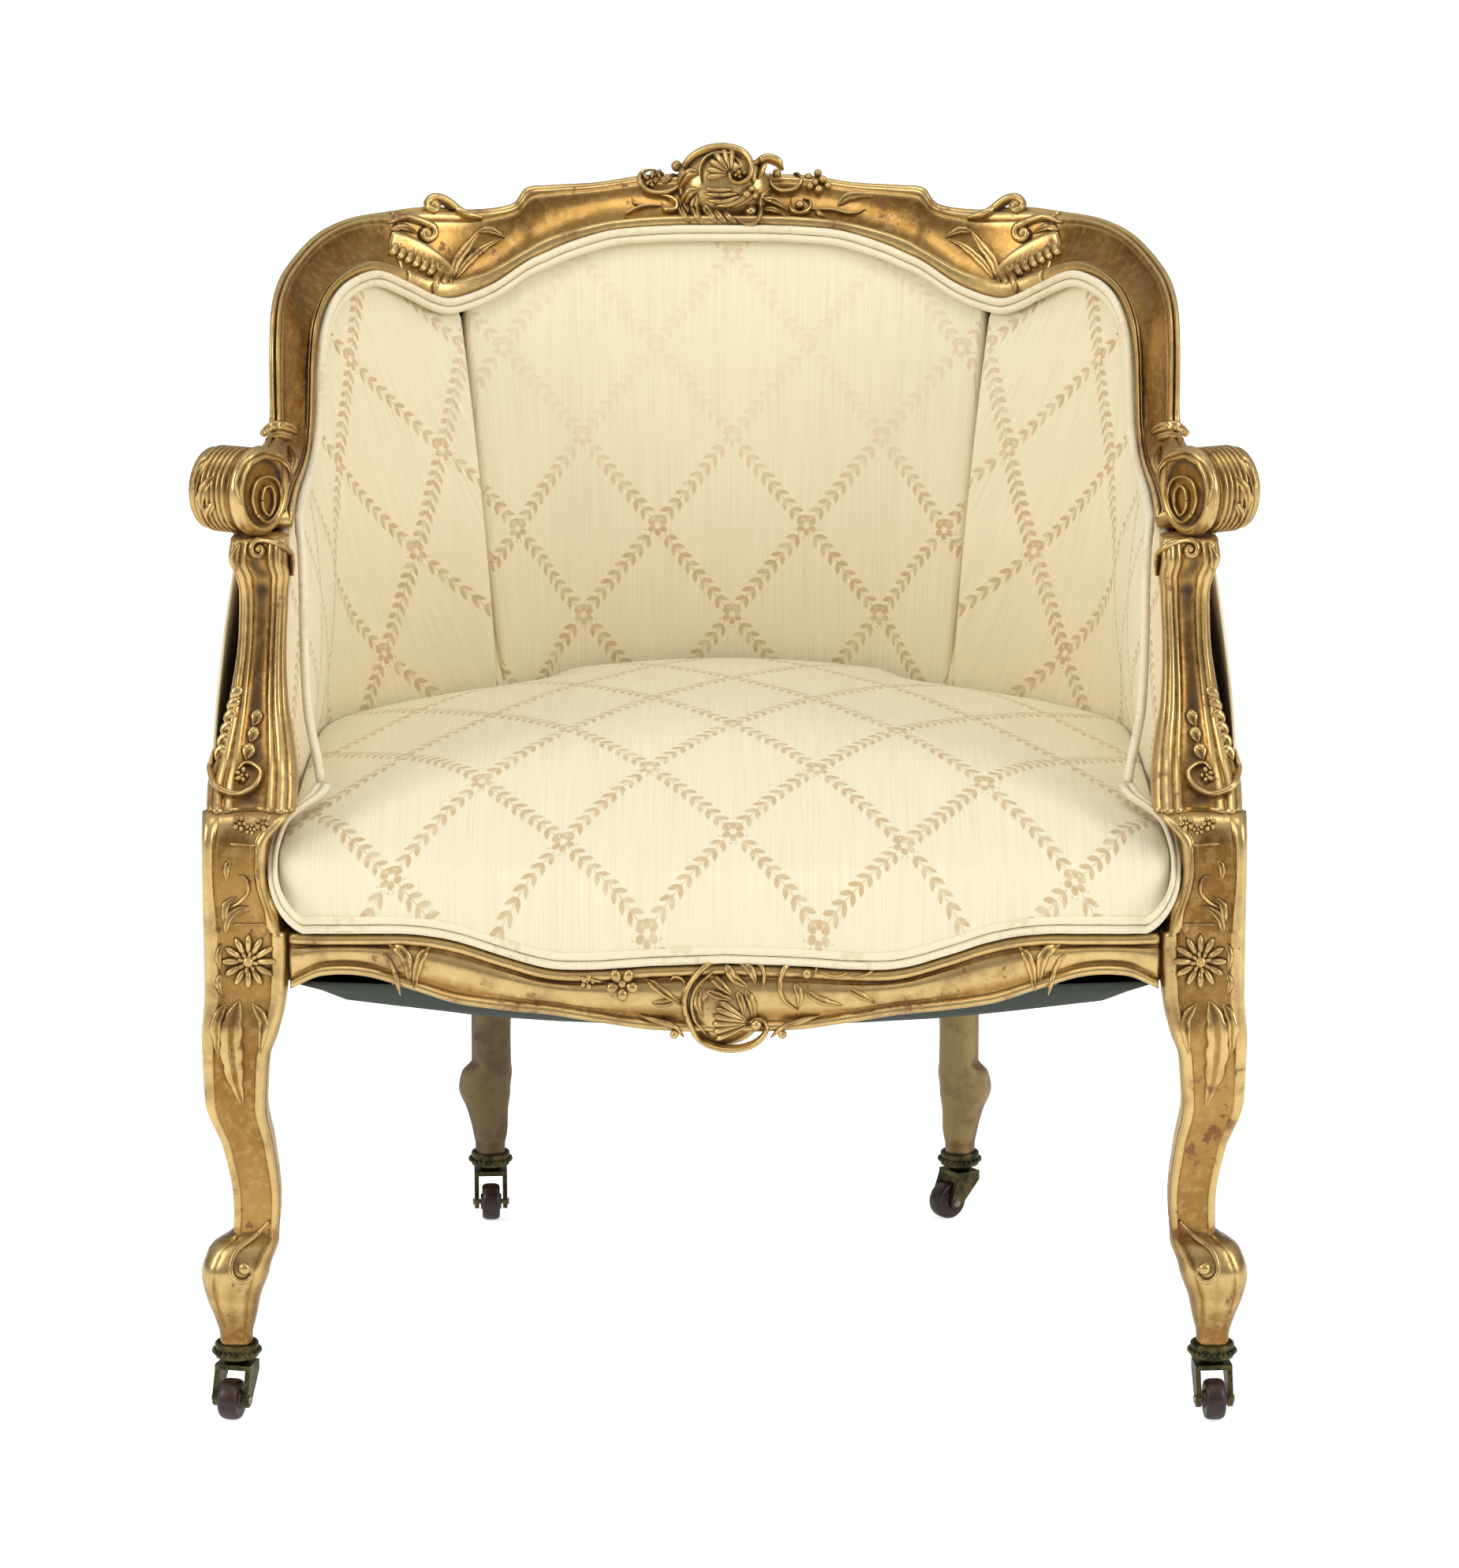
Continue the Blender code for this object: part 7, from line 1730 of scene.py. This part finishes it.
SIDE_CARVING = (
    # shoulder
    ("scroll", [(612, 276), (586, 270), (566, 256), (555, 251.5)], 11, 1.0, -1, 12, 12, 8),
    ("scroll", [(491, 283), (515, 275), (545, 285)], 11, 1.2, 1, 11, 10, 6),
    ("ridge", [(494, 307), (518, 316), (545, 332), (568, 352)], 34, 3, .1, .3, .8),
    ("leaf", [(571, 358), (579, 332), (594, 311), (608, 291)], 15, 9, 4),
    ("leaf", [(605, 293), (622, 292), (640, 301)], 11, 8),
    ("leaf", [(578, 354), (592, 334), (614, 314), (636, 303)], 12, 7, 4),
    ("ridge", [(556, 346), (553, 358), (549, 372)], 9, 7),
    ("leaf", [(494, 292), (510, 288), (530, 296)], 11, 7),
    # arm top
    ("leaf", [(378, 549), (360, 541), (342, 542), (331, 550)], 16, 8, 4),
    ("leaf", [(372, 557), (354, 552), (337, 556)], 12, 7), ("ball", (345, 545), 5, 9),
    ("ball", (335, 550), 5, 8), ("ball", (357, 542), 4.5, 9),
    ("leaf", [(362, 612), (371, 588), (366, 566)], 12, 8), ("ball", (373, 584), 5, 4),
    # handhold
    ("leaf", [(268, 576), (254, 592), (248, 616)], 14, 6, 4),
    ("leaf", [(270, 604), (256, 624), (256, 648)], 14, 6, 4),
    ("leaf", [(262, 584), (250, 604), (247, 630)], 12, 6, 4),
    ("leaf", [(272, 636), (264, 650), (266, 664)], 12, 6),
    ("leaf", [(306, 640), (303, 612), (313, 588), (332, 576), (352, 580), (366, 594), (368, 612)],
     15, 8, 7),
    ("ridge", [(324, 652), (319, 632), (324, 612), (337, 604), (350, 610), (356, 630), (350, 652),
               (337, 662), (324, 652)], 5, 5, 0, 0),
    ("ridge", [(331, 634), (333, 622), (339, 616), (345, 622), (347, 634), (345, 646), (339, 653),
               (333, 646), (331, 634)], 5, 6, 0, 0),
    # scroll on the stump's head
    ("scroll", [(371, 730), (368, 704), (352, 689), (330, 685)], 12, 1.2, -1, 8, 8, 5),
    ("leaf", [(300, 724), (297, 706), (304, 688)], 12, 7),
    # husks
    ("leaf", [(327, 899), (325, 912), (320, 921)], 17, 7, 1), ("ball", (325, 905), 5, 6),
    ("leaf", [(323, 921), (321, 932), (317, 942)], 17, 7, 1), ("ball", (321, 926), 5, 6),
    ("leaf", [(318, 942), (315, 953), (311, 964)], 19, 7, 1), ("ball", (316, 948), 5, 6),
    # shoulder of the block
    ("ridge", [(272, 950), (268, 972), (271, 992), (283, 1003), (302, 1007), (322, 998), (331, 981),
               (322, 970), (309, 968), (301, 976)], 9, 10, .2, .4, .4),
    ("flower", (306, 984), 10, 5, 8),
    ("flower", (304, 1045), 10, 5, 6), ("flower", (318, 1052), 8, 5, 5),
    ("flower", (333, 1045), 10, 5, 6),
    ("ridge", [(291, 1070), (309, 1071), (325, 1072)], 3.5, 3, .1, .1),
    ("ridge", [(325, 1072), (326, 1098), (331, 1130), (345, 1172)], 3.5, 3, .1, .1),
    ("ridge", [(295, 1172), (315, 1172), (337, 1172)], 3.5, 3, .1, .1),
    ("leaf", [(285, 1184), (290, 1164), (302, 1153), (315, 1149)], 12, 7),
    ("leaf", [(284, 1170), (286, 1148), (300, 1137)], 12, 7),
    ("ridge", [(288, 1152), (305, 1143), (315, 1129), (311, 1113), (300, 1110)], 5.5, 6),
    ("leaf", [(292, 1090), (287, 1102), (288, 1118)], 11, 6),
    # daisy of the block
    ("flower", (315, 1219), 35, 12, 9, 0.0, .24), ("flower", (315, 1219), 15, 8, 11, .2, .3),
    ("leaf", [(282, 1196), (276, 1212), (280, 1232)], 10, 6),
    ("leaf", [(280, 1234), (276, 1248), (282, 1262)], 10, 6),
    # knee
    ("leaf", [(303, 1268), (293, 1308), (297, 1360), (308, 1402)], 34, 10, 5),
    ("leaf", [(286, 1272), (273, 1298), (277, 1340)], 16, 8, 3),
    ("leaf", [(320, 1272), (334, 1296), (330, 1336)], 16, 8, 3),
    # toe
    ("ball", (310, 1608), 9, 10),
    ("scroll", [(342, 1548), (322, 1568), (300, 1586), (293, 1606)], 17, .9, -1, 8, 8),
    # clasp at the end of the front rail
    ("leaf", [(493, 1197), (514, 1212), (520, 1248)], 17, 8),
    ("leaf", [(545, 1200), (532, 1218), (524, 1256)], 15, 8),
    ("ridge", [(482, 1204), (498, 1226), (508, 1262)], 7, 5),
)
FRONT_CARVING = (
    ("ridge", [(967, 1252), (969, 1234), (960, 1221), (942, 1215), (918, 1217), (896, 1225),
               (880, 1240), (870, 1258), (868, 1277), (875, 1299), (888, 1317), (912, 1328),
               (937, 1329), (958, 1322), (971, 1309), (971, 1298), (960, 1291), (950, 1296)],
     9, 12, .12, .2, .5),
    ("ridge", [(912, 1226), (894, 1240), (880, 1258), (877, 1277), (884, 1298), (900, 1314)], 6, 9),
    ("ball", (959, 1300), 8, 12),
    ("leaf", [(920, 1223), (931, 1240), (949, 1252)], 15, 10),
    ("leaf", [(938, 1220), (953, 1232), (959, 1250)], 13, 10),
    ("leaf", [(899, 1235), (913, 1248), (929, 1262)], 15, 10),
    ("leaf", [(894, 1256), (912, 1263), (930, 1268)], 12, 9),
    ("leaf", [(945, 1255), (954, 1274), (955, 1294)], 14, 9),
    ("leaf", [(934, 1256), (941, 1274), (943, 1290)], 12, 9),
    ("leaf", [(888, 1252), (884, 1270), (891, 1290)], 13, 9),
    ("fan", (955, 1298), 52, 158, 214, 6, 10, 9),
    ("ridge", [(812, 1287), (836, 1296), (856, 1302), (867, 1315)], 8, 8),
    ("ball", (855, 1311), 6, 8),
    ("ridge", [(1040, 1287), (1014, 1296), (992, 1303), (977, 1316)], 8, 8),
    ("ball", (992, 1311), 6, 8),
    ("flower", (789, 1248), 21, 5, 7, .3, .28), ("flower", (745, 1245), 10, 5, 6),
    ("ridge", [(717, 1237), (738, 1240), (770, 1245)], 4.5, 5),
    ("leaf", [(818, 1240), (840, 1257), (866, 1275)], 13, 7),
    ("ridge", [(864, 1262), (868, 1246), (856, 1237), (848, 1246)], 4.5, 6),
    ("leaf", [(826, 1272), (846, 1271), (868, 1264)], 11, 6),
    ("ridge", [(1029, 1241), (1035, 1229), (1025, 1221), (1006, 1221), (993, 1231), (989, 1250),
               (995, 1269), (1012, 1281)], 8, 9),
    ("ball", (1023, 1235), 6.5, 8), ("leaf", [(1007, 1246), (1014, 1262), (1012, 1279)], 12, 8),
    ("leaf", [(1020, 1256), (1041, 1268), (1068, 1275)], 12, 7),
    ("ridge", [(1036, 1231), (1060, 1238), (1076, 1233)], 4.5, 5),
    ("ridge", [(1080, 1239), (1096, 1237), (1110, 1229)], 4.5, 5),
    ("leaf", [(1074, 1254), (1090, 1261), (1110, 1272)], 11, 6),
)


def camera_object(context):
    """The photograph's camera, made the scene's own."""
    data = bpy.data.cameras.new("photo_camera")
    data.sensor_width = 36.0
    data.lens = PICTURE_FOCUS / max(PICTURE_SIZE) * data.sensor_width
    data.clip_end = 100.0
    camera = bpy.data.objects.new("photo_camera", data)
    camera.location = CAMERA_PLACE
    camera.rotation_euler = (math.pi / 2 - CAMERA_PITCH, 0, 0)
    context.scene.collection.objects.link(camera)
    context.scene.camera = camera


class BERGERE_OT_stage(BergereOperator, bpy.types.Operator):
    """Set the white floor, the lamps, the world and the camera"""
    bl_idname = "bergere.stage"
    bl_label = "Stage"

    def lamp(self, context, name, place, aim, size, power):
        data = bpy.data.lights.new(name, "AREA")
        data.shape = "RECTANGLE"
        data.size, data.size_y = size
        data.energy = power
        lamp = bpy.data.objects.new(name, data)
        lamp.location = place
        lamp.rotation_euler = (Vector(aim) - Vector(place)).to_track_quat("-Z", "Y").to_euler()
        context.scene.collection.objects.link(lamp)

    def execute(self, context):
        scene = context.scene
        bm = bmesh.new()
        bmesh.ops.create_grid(bm, x_segments=2, y_segments=2, size=60)
        mesh = bpy.data.meshes.new("floor")
        bm.to_mesh(mesh)
        bm.free()
        floor = bpy.data.objects.new("floor", mesh)
        graph = Graph("white_floor")
        tones = scene.bergere_tones
        graph.set(base_color=tones.floor, roughness=1.0, specular_ior_level=0.0)
        graph.feed(graph.shader.inputs["Emission Color"], (1, 1, 1))
        x, y, _ = graph.axes(graph.coordinates())
        far = (x * x + y * y).root().ramp(.9, 3.2)
        seen = Value(graph, graph.nodes.new("ShaderNodeLightPath").outputs["Is Camera Ray"])
        graph.feed(graph.shader.inputs["Emission Strength"], (far * .30 + .66) * (seen * .6 + .4))
        mesh.materials.append(graph.material)
        scene.collection.objects.link(floor)
        self.lamp(context, "key", place=(-2.65, -1.35, 1.9), aim=(0, 0, .45), size=(1.1, 1.6),
                  power=31)
        self.lamp(context, "fill", place=(2.65, -1.35, 1.7), aim=(0, 0, .45), size=(1.1, 1.6),
                  power=31)
        self.lamp(context, "top", place=(0, -.6, 2.9), aim=(0, 0, .4), size=(1.6, .8), power=11)
        world = bpy.data.worlds.new("studio")
        scene.world = world
        world.use_nodes = True
        nodes, links = world.node_tree.nodes, world.node_tree.links
        background = nodes["Background"]
        coordinates = nodes.new("ShaderNodeTexCoord")
        axes = nodes.new("ShaderNodeSeparateXYZ")
        links.new(coordinates.outputs["Generated"], axes.inputs[0])
        ramp = nodes.new("ShaderNodeMapRange")
        links.new(axes.outputs["Z"], ramp.inputs["Value"])
        for name, item in (("From Min", -.1), ("From Max", .9), ("To Min", .12), ("To Max", .70)):
            ramp.inputs[name].default_value = item
        paths = nodes.new("ShaderNodeLightPath")
        shiny = nodes.new("ShaderNodeMix")
        links.new(paths.outputs["Is Glossy Ray"], shiny.inputs["Factor"])
        shiny.inputs[2].default_value = .66
        links.new(ramp.outputs[0], shiny.inputs[3])
        mix = nodes.new("ShaderNodeMix")
        links.new(paths.outputs["Is Camera Ray"], mix.inputs["Factor"])
        links.new(shiny.outputs[0], mix.inputs[2])
        mix.inputs[3].default_value = 1.0
        links.new(mix.outputs[0], background.inputs["Strength"])
        background.inputs["Color"].default_value = (1, 1, 1, 1)
        scene.view_settings.view_transform = "Standard"
        camera_object(context)
        return {"FINISHED"}


OPERATORS = (
    BERGERE_OT_hidden_frame, BERGERE_OT_rails, BERGERE_OT_legs, BERGERE_OT_front_rail,
    BERGERE_OT_arm_scrolls, BERGERE_OT_crest_carving, BERGERE_OT_side_carving,
    BERGERE_OT_front_carving, BERGERE_OT_pads, BERGERE_OT_seat, BERGERE_OT_welts,
    BERGERE_OT_covers, BERGERE_OT_dust_cover, BERGERE_OT_casters, BERGERE_OT_stage,
)


class BERGERE_PT_panel(bpy.types.Panel):
    """Lists the chair's operators in the sidebar"""
    bl_idname = "BERGERE_PT_panel"
    bl_label = "Bergere armchair"
    bl_space_type = "VIEW_3D"
    bl_region_type = "UI"
    bl_category = "Bergere"

    def draw(self, context):
        for operator in OPERATORS:
            self.layout.operator(operator.bl_idname)


CLASSES = (BergereSizes, BergereTones, *OPERATORS, BERGERE_PT_panel)


def register():
    for item in CLASSES:
        bpy.utils.register_class(item)
    bpy.types.Scene.bergere_sizes = PointerProperty(type=BergereSizes)
    bpy.types.Scene.bergere_tones = PointerProperty(type=BergereTones)


def unregister():
    del bpy.types.Scene.bergere_sizes
    del bpy.types.Scene.bergere_tones
    for item in reversed(CLASSES):
        bpy.utils.unregister_class(item)


def main():
    register()
    for operator in OPERATORS:
        group, name = operator.bl_idname.split(".")
        getattr(getattr(bpy.ops, group), name)()


if __name__ == "__main__":
    main()
